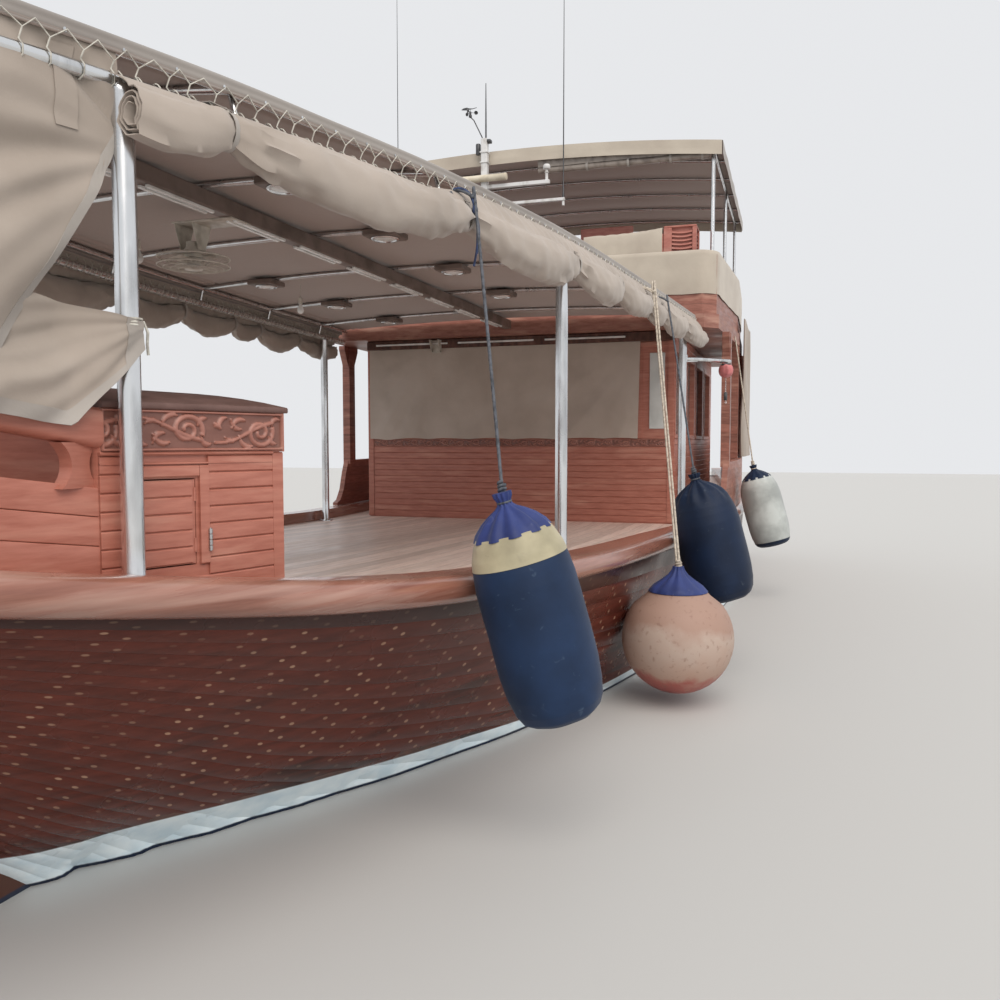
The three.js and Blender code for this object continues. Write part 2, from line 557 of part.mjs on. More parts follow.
const cabinDoor = block(
  CABIN_AFT_X - WALL, CABIN_AFT_X - WALL + CABIN_DOOR.thickness,
  -CABIN_DOOR.halfWidth + CABIN_DOOR.gap, CABIN_DOOR.halfWidth - CABIN_DOOR.gap,
  CABIN_DOOR.sill + CABIN_DOOR.gap, CABIN_DOOR.head - CABIN_DOOR.gap,
);
const [hingeX, hingeY] = [CABIN_AFT_X - WALL, -CABIN_DOOR.halfWidth + CABIN_DOOR.gap];
const knuckles = CABIN_DOOR.knuckles.map((z) => (
  rod([hingeX, hingeY, z], [hingeX, hingeY, z + 90], CABIN_DOOR.gap - GAP, ROUND)
));
addPiece('cabin_door', join([cabinDoor, ...knuckles]), 'timber', [hingeX, hingeY, CABIN_DOOR.sill]);

// Window panes, one sheet behind each glazed wall
const PANE = 8;
const paneFoot = WINDOW.foot - 40;
const paneHead = WINDOW.head + 40;
const paneX = CABIN_FRONT_X - WALL - GAP;
addPiece('glass_front', block(paneX - PANE, paneX, -1700, 1700, paneFoot, paneHead), 'glass');
const paneY = CABIN_HALF_WIDTH - WALL - GAP;
const sidePane = block(-6830, -2180, paneY - PANE, paneY, paneFoot, paneHead);
addPiece('glass_port', sidePane, 'glass');
addPiece('glass_stbd', mirrored(sidePane), 'glass');

// Upper deck: a slab over the aft house and the side decks
const UPPER = { foreX: -1900, aftX: -7800, halfFore: 2640, halfMid: 2760, halfAft: 2420, corner: 160 };
const upperEdge = [
  [UPPER.foreX, UPPER.halfFore - UPPER.corner], [UPPER.foreX - UPPER.corner, UPPER.halfFore],
  [-4200, UPPER.halfMid],
  [-6000, UPPER.halfMid - 60], [UPPER.aftX, UPPER.halfAft],
];
function upperPlan(inset) {
  const port = upperEdge.map(([x, y]) => [x, y - inset]);
  port[0][0] -= inset;
  port[port.length - 1][0] += inset;
  return [...port, ...port.map(([x, y]) => [x, -y]).reverse()];
}
const LADDER_HATCH = { x0: -7960, x1: -7500, y0: -1700, y1: -1050 };
const upperDeck = plateXY(upperPlan(0), CABIN_TOP_Z, UPPER_DECK_TOP_Z)
  .subtract(block(LADDER_HATCH.x0, LADDER_HATCH.x1, LADDER_HATCH.y0, LADDER_HATCH.y1, 3000, 4000));
addPiece('upper_deck', upperDeck, 'timber');

// Upper bulwark: thin wooden sides round the upper deck, open aft for the ladder
const upperFoot = UPPER_DECK_TOP_Z + GAP;
const upperBulwark = plateXY(upperPlan(30), upperFoot, UPPER_RAIL_TOP_Z)
  .subtract(plateXY(upperPlan(75), upperFoot - 10, UPPER_RAIL_TOP_Z + 10))
  .subtract(block(
    UPPER.aftX - CUT_MARGIN, UPPER.aftX + 2 * CUT_MARGIN, LADDER_HATCH.y0 - 20, LADDER_HATCH.y1 + 20,
    UPPER_DECK_TOP_Z - CUT_MARGIN, UPPER_RAIL_TOP_Z + CUT_MARGIN,
  ));
addPiece('upper_bulwark', upperBulwark, 'timber');

// Dodger: canvas laced round the outside of the upper bulwark
const DODGER = { foot: 3960, top: 4480, aftX: -6200 };
const dodger = plateXY(upperPlan(30 - GAP - CLOTH), DODGER.foot, DODGER.top)
  .subtract(plateXY(upperPlan(30 - GAP), DODGER.foot - 10, DODGER.top + 10))
  .subtract(block(-9000, DODGER.aftX, -BEAM_LIMIT, BEAM_LIMIT, 3000, 5000));
addPiece('dodger', dodger, 'canvas');

// Aft bulwarks: raised sides that sweep up beside the house, with carved pillars under the upper deck
const AFT_SIDE = { half: 35, inset: 60, foreX: -2150, fullX: -2560, top: 1880, aftX: -8800 };
const aftSideY = (x) => sheerY(x) - AFT_SIDE.inset;
const SWEEP = [
  { x: AFT_SIDE.foreX, rise: 0.06 }, { x: -2260, rise: 0.12 }, { x: -2380, rise: 0.35 },
  { x: -2470, rise: 0.72 },
  { x: AFT_SIDE.fullX, rise: 1 },
];
const aftSideStations = [...SWEEP.map((s) => s.x), -3400, -4300, -5300, -6300, -7300, -8200, AFT_SIDE.aftX];
const aftTopZ = (x) => Math.max(AFT_SIDE.top, sheerZ(x) + 640);
function aftSideTop(x) {
  const sweep = SWEEP.find((s) => s.x === x);
  const rise = sweep ? sweep.rise : 1;
  return sheerZ(x) + (aftTopZ(x) - sheerZ(x)) * rise;
}
const aftPanel = loft(aftSideStations.map((x) => {
  const y = aftSideY(x);
  const top = aftSideTop(x);
  const [inner, outer] = [y - AFT_SIDE.half, y + AFT_SIDE.half];
  return [[x, inner, UNDER_DECK], [x, outer, UNDER_DECK], [x, outer, top], [x, inner, top]];
}));
const PILLARS = [-2640, -4300, -5960, -7540];
const PILLAR = { halfX: 85, halfY: 55, top: CABIN_TOP_Z - GAP, outboardLimit: 2700 };
const pillars = PILLARS.map((x) => {
  const y = Math.min(aftSideY(x), PILLAR.outboardLimit);
  const { halfX, halfY, top } = PILLAR;
  const trunk = block(x - halfX, x + halfX, y - halfY, y + halfY, aftSideTop(x) - 60, top);
  const corbel = plateXZ([
    [x - halfX - 120, top], [x - halfX - 120, top - 60], [x - halfX, top - 300],
    [x + halfX, top - 300], [x + halfX + 120, top - 60], [x + halfX + 120, top],
  ], y - halfY + 10, y + halfY - 10);
  return trunk.add(corbel);
});
const aftSidePort = standOnCap(join([aftPanel, ...pillars])).subtract(behindTransom(30));
addPiece('aft_bulwark_port', aftSidePort, 'timber');
addPiece('aft_bulwark_stbd', mirrored(aftSidePort), 'timber');

// Ladder from the aft deck up to the upper deck
const LADDER = {
  y0: -1620, y1: -1130, footX: -8250, headX: -7760, headZ: 3900, railRadius: 28, rungs: 7, treadHalf: 60,
  treadThickness: 28, topStep: 150,
};
const ladderFootZ = deckTopZ(LADDER.footX) + 40;
const rails = [LADDER.y0, LADDER.y1].map((y) => (
  rod([LADDER.footX, y, 1300], [LADDER.headX, y, LADDER.headZ], LADDER.railRadius)
));
const rungs = Array.from({ length: LADDER.rungs }, (_, i) => {
  const t = (i + 1) / (LADDER.rungs + 1);
  const x = LADDER.footX + (LADDER.headX - LADDER.footX) * t;
  const z = ladderFootZ + (LADDER.headZ - LADDER.topStep - ladderFootZ) * t;
  const [reach, half] = [LADDER.treadHalf, LADDER.treadThickness / 2];
  return block(x - reach, x + reach, LADDER.y0, LADDER.y1, z - half, z + half);
});
addPiece('ladder', standOnDeck(join([...rails, ...rungs])), 'steel');

// Main awning: six pipe posts, side rails, ribs and a ridge beam, all welded together
const AWNING = { foreX: 7300, aftX: -1860 };
const POSTS = [6400, 2880, -1220];
const RIBS = [7260, 5900, 4500, 3100, 1700, 300, -1060];
const edgeY = (x) => sheerY(x) - POST_INSET;
const awningInner = HULL_STATIONS.filter((x) => x > AWNING.aftX && x < AWNING.foreX);
const awningStations = [AWNING.aftX, ...awningInner, AWNING.foreX];
const octagon = (radius) => Array.from({ length: 8 }, (_, i) => {
  const angle = (i + 0.5) * (Math.PI / 4);
  const corner = radius / Math.cos(Math.PI / 8);
  return [corner * Math.cos(angle), corner * Math.sin(angle)];
});
function edgePipe(side, inset, z, radius) {
  return loft(awningStations.map((x) => {
    const y = side * (edgeY(x) - inset);
    return octagon(radius).map(([a, b]) => [x, y + a, z + b]);
  }));
}
const EDGE_PIPE_INSET = 40;
const RIB_ROWS = [-1, -0.6, 0, 0.6, 1]; // across the boat, as shares of the half width
const ribZ = EDGE_PIPE_Z;
const camberZ = (x, y) => AWNING_CAMBER * (1 - (y / (edgeY(x) - EDGE_PIPE_INSET)) ** 2);
const ribParts = RIBS.map((x) => {
  const [x0, x1] = [x - RIB_SIZE / 2, x + RIB_SIZE / 2];
  return loft(RIB_ROWS.map((f) => {
    const [y0, y1] = [x0, x1].map((end) => f * (edgeY(end) - EDGE_PIPE_INSET));
    const z = ribZ + camberZ(x0, y0);
    const [foot, top] = [z - RIB_SIZE / 2, z + RIB_SIZE / 2];
    return [[x0, y0, foot], [x1, y1, foot], [x1, y1, top], [x0, y0, top]];
  }));
});
const ridgeTop = ribZ + AWNING_CAMBER - 10;
const ridgeFoot = ridgeTop - RIDGE_DEPTH;
const ridge = block(AWNING.aftX, AWNING.foreX, -RIDGE_WIDTH / 2, RIDGE_WIDTH / 2, ridgeFoot, ridgeTop);
const LAMPS = [
  { x: 4500, y: 620 }, { x: 3100, y: 620 }, { x: 1700, y: 620 }, { x: 300, y: 620 },
  { x: 4500, y: -1150 }, { x: 1700, y: -1300 }, { x: 300, y: -1300 }, { x: -1060, y: -1300 },
];
const LAMP = { half: 130, depth: 50 };
const lampHousings = LAMPS.map(({ x, y }) => {
  const top = ribZ + camberZ(x, y) - RIB_SIZE / 2 + 12;
  return block(x - LAMP.half, x + LAMP.half, y - LAMP.half, y + LAMP.half, top - LAMP.depth, top);
});
const standoffs = [];
const postParts = [];
for (const side of [-1, 1]) {
  for (const x of RIBS) {
    const y = side * edgeY(x);
    standoffs.push(rod([x, y, RAIL_Z], [x, side * (edgeY(x) - EDGE_PIPE_INSET), EDGE_PIPE_Z], 14, 6));
  }
  for (const x of POSTS) {
    const y = side * edgeY(x);
    const foot = deckTopZ(x) - 100;
    postParts.push(rod([x, y, foot], [x, y, RAIL_Z - 20], POST_RADIUS, 12));
    postParts.push(rod([x, y, foot], [x, y, deckTopZ(x) + 25], POST_RADIUS + 40, 12));
  }
}
const edgePipes = [-1, 1].flatMap((side) => [
  edgePipe(side, 0, RAIL_Z, RAIL_RADIUS),
  edgePipe(side, EDGE_PIPE_INSET, EDGE_PIPE_Z, EDGE_PIPE_RADIUS),
]);
const posts = standOnDeck(join(postParts));
const awningFrame = join([...edgePipes, ...ribParts, ridge, ...lampHousings, ...standoffs, posts]);
addPiece('awning_frame', awningFrame, 'steel');

// Main awning canvas: one sheet over the ribs, down to a laced hem at each edge
const CANVAS_OVERHANG = 8;
const canvasFoot = EDGE_PIPE_Z + EDGE_PIPE_RADIUS + GAP;
const canvasZ = (x, y) => Math.max(canvasFoot, ribZ + camberZ(x, y) + RIB_SIZE / 2 + GAP);
const ribEdges = RIBS.flatMap((x) => [x - RIB_SIZE / 2, x + RIB_SIZE / 2]);
const canvasStations = awningStations.filter((x) => RIBS.every((rib) => Math.abs(x - rib) > 150))
  .concat(ribEdges, AWNING.foreX).sort((a, b) => a - b);
const awningCanvas = loft(canvasStations.map((x) => {
  const half = edgeY(x) - EDGE_PIPE_INSET;
  const rows = RIB_ROWS.map((f) => f * half);
  const hem = edgeY(x) + CANVAS_OVERHANG;
  const under = [
    [x, -hem, canvasFoot], ...rows.map((y) => [x, y, canvasZ(x, y)]), [x, hem, canvasFoot],
  ];
  const over = [...under].reverse().map(([px, py, pz]) => [px, py, pz + CLOTH]);
  return [...under, ...over];
}), true);
addPiece('awning_canvas', awningCanvas, 'canvas');

// Side curtains, rolled up under the rails and bulging between their ties
const CURTAIN = { foreX: 6330, aftX: -1800, drop: 60, bulge: 95, tiePitch: 1170, steps: 28 };
const curtainStations = stationsBetween(CURTAIN.aftX, CURTAIN.foreX, CURTAIN.steps)
  .concat(HULL_STATIONS.filter((x) => x > CURTAIN.aftX && x < CURTAIN.foreX))
  .sort((a, b) => a - b);
const curtainTab = loft(curtainStations.map((x) => {
  const y = edgeY(x) + RAIL_RADIUS + GAP;
  const clear = edgeY(x) + POST_RADIUS + 3;
  return [
    [x, y, RAIL_Z + 20], [x, y, RAIL_Z - 5], [x, clear, RAIL_Z - 18], [x, clear, RAIL_Z - 90],
    [x, clear + 30, RAIL_Z - 90], [x, y + CLOTH, RAIL_Z + 20],
  ];
}));
const curtainRoll = loft(curtainStations.map((x) => {
  const swell = 0.62 + 0.38 * Math.abs(Math.sin((Math.PI * (CURTAIN.foreX - x)) / CURTAIN.tiePitch));
  const radius = CURTAIN.bulge * swell;
  const y = edgeY(x) + POST_RADIUS + 3 + radius;
  return octagon(radius).map(([a, b]) => [x, y + a, RAIL_Z - CURTAIN.drop - radius + b]);
}));
const curtainPort = curtainTab.add(curtainRoll);
addPiece('side_curtain_port', curtainPort, 'canvas');
addPiece('side_curtain_stbd', mirrored(curtainPort), 'canvas');

// Bow curtain: a sheet hanging from the awning's port edge, longest at its forward end
const BOW_CURTAIN = {
  aftX: 6460, foreX: 7280, top: 3640, footAft: 2720, footLow: 2330, lowX: 6900, folds: 22,
};
function bowCurtainFoot(x) {
  const { aftX, lowX, footAft, footLow } = BOW_CURTAIN;
  return footAft + (footLow - footAft) * Math.min(1, (x - aftX) / (lowX - aftX));
}
const bowCurtain = loft(stationsBetween(BOW_CURTAIN.aftX, BOW_CURTAIN.foreX, 8).map((x) => {
  const y = edgeY(x) + RAIL_RADIUS + GAP;
  const foot = bowCurtainFoot(x);
  const swing = BOW_CURTAIN.folds * (1 + Math.sin((x - BOW_CURTAIN.aftX) / 60));
  const wave = (z) => swing * ((BOW_CURTAIN.top - z) / 1300);
  const inner = [BOW_CURTAIN.top, 3450, 3050, foot].map((z) => [x, y + wave(z), z]);
  const outer = [...inner].reverse().map(([px, py, pz]) => [px, py + CLOTH, pz]);
  return [...inner, ...outer];
}), true);
addPiece('bow_curtain', bowCurtain, 'canvas');

// Canvas let down over the front windows of the aft house
const FRONT_CANVAS = { y0: -2080, y1: 1680, foot: 2200, head: 3420 };
const frontCanvasX = CABIN_FRONT_X + GAP;
const frontCanvas = block(
  frontCanvasX, frontCanvasX + CLOTH, FRONT_CANVAS.y0, FRONT_CANVAS.y1,
  FRONT_CANVAS.foot, FRONT_CANVAS.head,
);
addPiece('front_window_canvas', frontCanvas, 'canvas');

// Ceiling fan in a round cage, on a bracket under the ridge beam
const FAN = { x: 4100, y: -330, z: 3370, radius: 240, hub: 62, bladeRadius: 205 };
const fanBandProfile = [[228, -32], [240, -32], [240, 32], [228, 32], [228, -32]];
const fanBand = new THREE.LatheGeometry(fanBandProfile.map(([r, z]) => new THREE.Vector2(r, z)), 20);
fanBand.rotateX(Math.PI / 2);
const fanSpokes = Array.from({ length: 8 }, (_, i) => {
  const angle = (i * Math.PI) / 4;
  const tip = [FAN.x + 234 * Math.cos(angle), FAN.y + 234 * Math.sin(angle)];
  return [-26, 26].map((z) => rod([FAN.x, FAN.y, FAN.z + z], [...tip, FAN.z + z], 5, 4));
}).flat();
const fanCage = join([
  solid(fanBand).translate([FAN.x, FAN.y, FAN.z]),
  ...fanSpokes,
  rod([FAN.x, FAN.y, FAN.z - 36], [FAN.x, FAN.y, FAN.z - 20], FAN.hub, 12),
  rod([FAN.x, FAN.y, FAN.z + 20], [FAN.x, FAN.y, FAN.z + 130], FAN.hub, 12),
  block(FAN.x - 80, FAN.x + 80, FAN.y - 70, 50, FAN.z + 110, ridgeFoot - GAP),
]);
addPiece('fan_cage', fanCage, 'white');
const fanBlades = Array.from({ length: 3 }, (_, i) => {
  const blade = new THREE.BoxGeometry(150, 90, 3);
  blade.rotateX(THREE.MathUtils.degToRad(12));
  blade.translate(FAN.bladeRadius - 75, 0, 0);
  blade.rotateZ((i * 2 * Math.PI) / 3);
  blade.translate(FAN.x, FAN.y, FAN.z);
  return solid(blade);
});
const fanHub = rod([FAN.x, FAN.y, FAN.z - 14], [FAN.x, FAN.y, FAN.z + 20 - GAP], 70, 12);
addPiece('fan_blades', join([fanHub, ...fanBlades]), 'white', [FAN.x, FAN.y, FAN.z]);

// Upper awning: pipe posts on the upper deck and a cambered canvas roof with a short skirt
const UPPER_AWNING = { foreX: -2150, aftX: -6420, postY: 2530, halfWidth: 2640, camber: 150, skirt: 130 };
const UPPER_POSTS = [-2270, -4250, -6300];
const UPPER_RIBS = [-2180, -2950, -3800, -4650, -5500, -6370];
const upperCamber = (y) => UPPER_AWNING.camber * (1 - (y / UPPER_AWNING.halfWidth) ** 2);
const UPPER_ROWS = [-1, -0.6, -0.2, 0.2, 0.6, 1];
const upperRibs = UPPER_RIBS.map((x) => loft(UPPER_ROWS.map((f) => {
  const y = f * UPPER_AWNING.halfWidth;
  const z = UPPER_AWNING_Z + upperCamber(y);
  return [[x - 20, y, z - 20], [x + 20, y, z - 20], [x + 20, y, z + 20], [x - 20, y, z + 20]];
})));
const upperFrameParts = [-1, 1].flatMap((side) => [
  block(
    UPPER_AWNING.aftX + 20, UPPER_AWNING.foreX - 10, side * UPPER_AWNING.postY - 30,
    side * UPPER_AWNING.postY + 30, UPPER_AWNING_Z - 40, UPPER_AWNING_Z + 15,
  ),
  ...UPPER_POSTS.map((x) => {
    const y = side * UPPER_AWNING.postY;
    return rod([x, y, UPPER_DECK_TOP_Z + GAP], [x, y, UPPER_AWNING_Z], 25, 10);
  }),
]);
addPiece('upper_awning_frame', join([...upperRibs, ...upperFrameParts]), 'steel');
const upperHalf = UPPER_AWNING.halfWidth + GAP;
const skirtFoot = UPPER_AWNING_Z - UPPER_AWNING.skirt;
const upperCanvas = loft([UPPER_AWNING.foreX, -3500, -5000, UPPER_AWNING.aftX].map((x) => {
  const top = UPPER_ROWS.map((f) => (
    [x, f * upperHalf, UPPER_AWNING_Z + 20 + GAP + UPPER_AWNING.camber * (1 - f ** 2)]
  ));
  const under = [[x, -upperHalf, skirtFoot], ...top, [x, upperHalf, skirtFoot]];
  const grow = (upperHalf + CLOTH) / upperHalf;
  const over = [...under].reverse().map(([px, py, pz]) => (
    [px, py * grow, pz === skirtFoot ? pz : pz + CLOTH]
  ));
  return [...under, ...over];
}), true);
addPiece('upper_awning_canvas', upperCanvas, 'canvas');

// Steering station on the upper deck: a louvred locker, a canvas-covered dash and the wheel behind it
const STATION = {
  foreX: -2040, aftX: -2420, dashY: [980, 1965], dashTop: 4740, lockerY: [1960, 2360], lockerTop: 4820,
  coverTop: 4770, coverAftFoot: 4300, coverForeFoot: 4500, coverY: [960, 1960 - GAP],
};
const locker = block(STATION.aftX, STATION.foreX, ...STATION.lockerY, upperFoot, STATION.lockerTop);
const dash = block(STATION.aftX, STATION.foreX, ...STATION.dashY, upperFoot, STATION.dashTop);
addPiece('steering_station', join([locker, dash]), 'timber');
const COVER = 14; // the canvas with its folds
const dashCover = plateXZ([
  [STATION.aftX - COVER, STATION.coverAftFoot], [STATION.aftX - COVER, STATION.coverTop],
  [STATION.foreX + COVER, STATION.coverTop], [STATION.foreX + COVER, STATION.coverForeFoot],
  [STATION.foreX + GAP, STATION.coverForeFoot], [STATION.foreX + GAP, STATION.dashTop + GAP],
  [STATION.aftX - GAP, STATION.dashTop + GAP], [STATION.aftX - GAP, STATION.coverAftFoot],
], ...STATION.coverY);
const HELM = {
  x: -2540, y: 1460, z: 4480, radius: 230, rim: 14, spokes: 6, spokeRadius: 11, handle: 70, hubRadius: 38,
  coverHole: 60,
};
const coverHole = rod(
  [HELM.x - 60, HELM.y, HELM.z], [STATION.aftX + 120, HELM.y, HELM.z], HELM.coverHole, 12,
);
addPiece('dash_cover', dashCover.subtract(coverHole), 'canvas');
const helmRim = new THREE.TorusGeometry(HELM.radius, HELM.rim, 6, 20);
helmRim.rotateY(Math.PI / 2);
const helmSpokes = Array.from({ length: HELM.spokes }, (_, i) => {
  const angle = (i * 2 * Math.PI) / HELM.spokes;
  const reach = HELM.radius + HELM.handle;
  const tip = [HELM.x, HELM.y + reach * Math.cos(angle), HELM.z + reach * Math.sin(angle)];
  return rod([HELM.x, HELM.y, HELM.z], tip, HELM.spokeRadius, 6);
});
const helmHub = rod([HELM.x - 35, HELM.y, HELM.z], [STATION.aftX - GAP, HELM.y, HELM.z], HELM.hubRadius, 10);
const helmAt = [HELM.x, HELM.y, HELM.z];
const helmWheel = join([solid(helmRim).translate(helmAt), helmHub, ...helmSpokes]);
addPiece('helm_wheel', helmWheel, 'darkWood', helmAt);

// Instrument mast at the front of the upper deck: a square post with two crossarms for lights and aerials
const MAST = { x: -2060, y: -380, half: 45, top: 6120, plateHalf: 75, plateThickness: 20 };
const MUSHROOM = { y: MAST.y + 840, stemRadius: 20, radius: 48, foot: 5650, top: 5720 };
const UPPER_ARM = { halfX: 25, y0: MAST.y - 260, y1: MAST.y + 880, z0: 5470, z1: 5520 };
const LOWER_ARM = { halfX: 20, y1: MAST.y + 1080, z0: 5240, z1: 5280 };
const RADAR = { x: MAST.x + 75, z: 5590, reach: 330, radius: 48 };
const VANE = { y: MAST.y - 200, z: 6410, armRadius: 8, cupSeat: 22 };
const mastAt = (dy, z) => [MAST.x, MAST.y + dy, z];
const mastParts = [
  block(
    MAST.x - MAST.half, MAST.x + MAST.half, MAST.y - MAST.half, MAST.y + MAST.half, upperFoot, MAST.top,
  ),
  block(
    MAST.x - MAST.plateHalf, MAST.x + MAST.plateHalf, MAST.y - MAST.plateHalf, MAST.y + MAST.plateHalf,
    upperFoot, upperFoot + MAST.plateThickness,
  ),
  block(
    MAST.x - UPPER_ARM.halfX, MAST.x + UPPER_ARM.halfX, UPPER_ARM.y0, UPPER_ARM.y1,
    UPPER_ARM.z0, UPPER_ARM.z1,
  ),
  rod([MAST.x, MUSHROOM.y, 5500], [MAST.x, MUSHROOM.y, MUSHROOM.foot + 10], MUSHROOM.stemRadius, 8),
  rod([MAST.x, MUSHROOM.y, MUSHROOM.foot], [MAST.x, MUSHROOM.y, MUSHROOM.top], MUSHROOM.radius, 10),
  rod(
    [RADAR.x, MAST.y - RADAR.reach, RADAR.z], [RADAR.x, MAST.y + RADAR.reach, RADAR.z], RADAR.radius, 10,
  ),
  block(MAST.x - 25, MAST.x + 70, MAST.y - 25, MAST.y + 25, RADAR.z - 30, RADAR.z + 30),
  block(MAST.x - LOWER_ARM.halfX, MAST.x + LOWER_ARM.halfX, MAST.y, LOWER_ARM.y1, LOWER_ARM.z0, LOWER_ARM.z1),
  rod(mastAt(0, MAST.top - 20), mastAt(0, 6820), 9, 6),
  rod(mastAt(0, MAST.top - 60), [MAST.x, VANE.y, VANE.z + 10], VANE.armRadius, 6),
  rod([MAST.x, VANE.y, VANE.z], [MAST.x, VANE.y, VANE.z + 40], VANE.cupSeat, 8),
];
addPiece('instrument_mast', join(mastParts), 'white');
const WIND = { x: MAST.x, y: VANE.y, z: 6470, reach: 75, cupRadius: 26 };
const cups = Array.from({ length: 3 }, (_, i) => {
  const angle = (i * 2 * Math.PI) / 3;
  const tip = [WIND.x + WIND.reach * Math.cos(angle), WIND.y + WIND.reach * Math.sin(angle), WIND.z + 6];
  const cup = new THREE.SphereGeometry(WIND.cupRadius, 8, 6);
  cup.translate(...tip);
  return rod([WIND.x, WIND.y, WIND.z + 6], tip, 4, 4).add(solid(cup));
});
const windHub = rod([WIND.x, WIND.y, VANE.z + 40 + GAP], [WIND.x, WIND.y, WIND.z + 20], 16, 8);
addPiece('wind_cups', join([windHub, ...cups]), 'iron', [WIND.x, WIND.y, WIND.z]);
const WHIP_TOP = 8300;
const WHIP_DECK = { x: -2060, y: -1620 };
const whipY = LOWER_ARM.y1 - 20;
const mastWhip = rod([MAST.x, whipY, LOWER_ARM.z1 + GAP], [MAST.x, whipY, WHIP_TOP], 12, 6, 3);
addPiece('whip_mast', mastWhip, 'darkWood');
addPiece('whip_deck', join([
  rod([WHIP_DECK.x, WHIP_DECK.y, upperFoot], [WHIP_DECK.x, WHIP_DECK.y, WHIP_TOP - 200], 14, 6, 3),
  block(WHIP_DECK.x - 50, WHIP_DECK.x + 50, WHIP_DECK.y - 50, WHIP_DECK.y + 50, upperFoot, upperFoot + 60),
]), 'darkWood');

// Fenders on the port side, each hung by its rope from the awning's rail or the upper deck
const ROPE_RADIUS = 9;
const EYE_SHARE = 1.1; // a long fender's eye, against half its length
function bodyOfRevolution(profile, sides) {
  const lathe = new THREE.LatheGeometry(profile.map(([r, z]) => new THREE.Vector2(r, z)), sides);
  lathe.rotateX(Math.PI / 2);
  return solid(lathe);
}
const longFender = (radius, half) => bodyOfRevolution([
  [0, -half], [radius * 0.55, -half], [radius * 0.9, -half * 0.78], [radius, -half * 0.3],
  [radius, half * 0.3], [radius * 0.85, half * 0.7], [radius * 0.42, half * 0.92], [28, half],
  [28, half * 1.12], [0, half * 1.12],
], 14);
const ballFender = (radius) => bodyOfRevolution([
  [0, -radius], [radius * 0.5, -radius * 0.87], [radius * 0.87, -radius * 0.5], [radius, 0],
  [radius * 0.87, radius * 0.5], [radius * 0.5, radius * 0.87], [46, radius * 1.15], [46, radius * 1.3],
  [0, radius * 1.3],
], 16);
function rope(points) {
  return join(points.slice(1).map((p, i) => rod(points[i], p, ROPE_RADIUS, ROPE_SIDES)));
}
const ROPE_SIDES = 6;
const ROPE_FLAT = ROPE_RADIUS * Math.cos(Math.PI / ROPE_SIDES);
const ropeZ = RAIL_Z + RAIL_RADIUS + GAP + ROPE_FLAT;
const railRope = (x) => [[x, edgeY(x) + 275, ropeZ], [x, edgeY(x) - 5, ropeZ]];
const fender1 = { x: 4820, y: 2274, z: 1262, radius: 270, half: 585, leanIn: 14, leanFore: 6, tieX: 4440 };
const fender3 = { x: 980, y: 2845, z: 1266, radius: 300, half: 560, leanIn: 14.5, leanFore: 2, tieX: 340 };
const ball = { x: 1890, y: 2665, z: 550, radius: 455, tieX: 900 };
const fender4 = { x: -3600, y: 3162, z: 1260, radius: 270, half: 540, leanIn: 15, leanFore: 0 };
// A fender bears on the gunwale, so its rope draws its head inboard
function leaning({ x, y, z, radius, half, leanIn, leanFore }, tie) {
  const body = longFender(radius, half).rotate([leanIn, leanFore, 0]).translate([x, y, z]);
  const [inward, fore] = [leanIn, leanFore].map(THREE.MathUtils.degToRad);
  const reach = half * EYE_SHARE;
  const eye = [
    x + reach * Math.cos(inward) * Math.sin(fore), y - reach * Math.sin(inward),
    z + reach * Math.cos(inward) * Math.cos(fore),
  ];
  return join([body, rope([eye, ...tie])]);
}
addPiece('fender_1', leaning(fender1, railRope(fender1.tieX)), 'navy');
const ballEye = [ball.x, ball.y, ball.z + ball.radius * 1.28];
const ballBody = ballFender(ball.radius).translate([ball.x, ball.y, ball.z]);
addPiece('fender_2', join([ballBody, rope([ballEye, ...railRope(ball.tieX)])]), 'orange');
addPiece('fender_3', leaning(fender3, railRope(fender3.tieX)), 'navy');
const upperEdgeAt = (x) => 2640 + ((2760 - 2640) * (x + 2060)) / (-4200 + 2060);
const fender4Tie = [fender4.x, upperEdgeAt(fender4.x) + ROPE_FLAT + GAP, 3620];
addPiece('fender_4', leaning(fender4, [fender4Tie]), 'white');

// Davit: a slim pillar beside the aft port post, and an arm that swings out with an electric hoist
const DAVIT = {
  x: -1370, y: edgeY(-1370) - 10, radius: 24, armRadius: 22, armZ: 3130, reach: 720, angle: 138,
};
const davitFoot = deckTopZ(DAVIT.x) - 50;
const davitPillar = join([
  rod([DAVIT.x, DAVIT.y, davitFoot], [DAVIT.x, DAVIT.y, DAVIT.armZ - 40], DAVIT.radius, 10),
  rod([DAVIT.x, DAVIT.y, davitFoot], [DAVIT.x, DAVIT.y, deckTopZ(DAVIT.x) + 14], 60, 12),
  rod([DAVIT.x, DAVIT.y, DAVIT.armZ - 60], [DAVIT.x, DAVIT.y, DAVIT.armZ + 120], 14, 12),
  ...[1750, 2650].map((z) => (
    block(DAVIT.x, DAVIT.x + 150 - POST_RADIUS - GAP, DAVIT.y - 12, DAVIT.y + 12, z, z + 30)
  )),
]);
addPiece('davit_pillar', standOnDeck(davitPillar), 'steel');
const davitHeading = THREE.MathUtils.degToRad(DAVIT.angle);
function davitPoint(reach, z) {
  return [DAVIT.x + reach * Math.cos(davitHeading), DAVIT.y + reach * Math.sin(davitHeading), z];
}
const davitAxis = (z) => [DAVIT.x, DAVIT.y, z];
const davitSleeve = rod(davitAxis(DAVIT.armZ - 40 + GAP), davitAxis(DAVIT.armZ + 45), 34, 12)
  .subtract(rod(davitAxis(DAVIT.armZ - 80), davitAxis(DAVIT.armZ + 80), 16, 12));
const davitPipe = rod(davitPoint(25, DAVIT.armZ), davitPoint(DAVIT.reach, DAVIT.armZ), DAVIT.armRadius, 8);
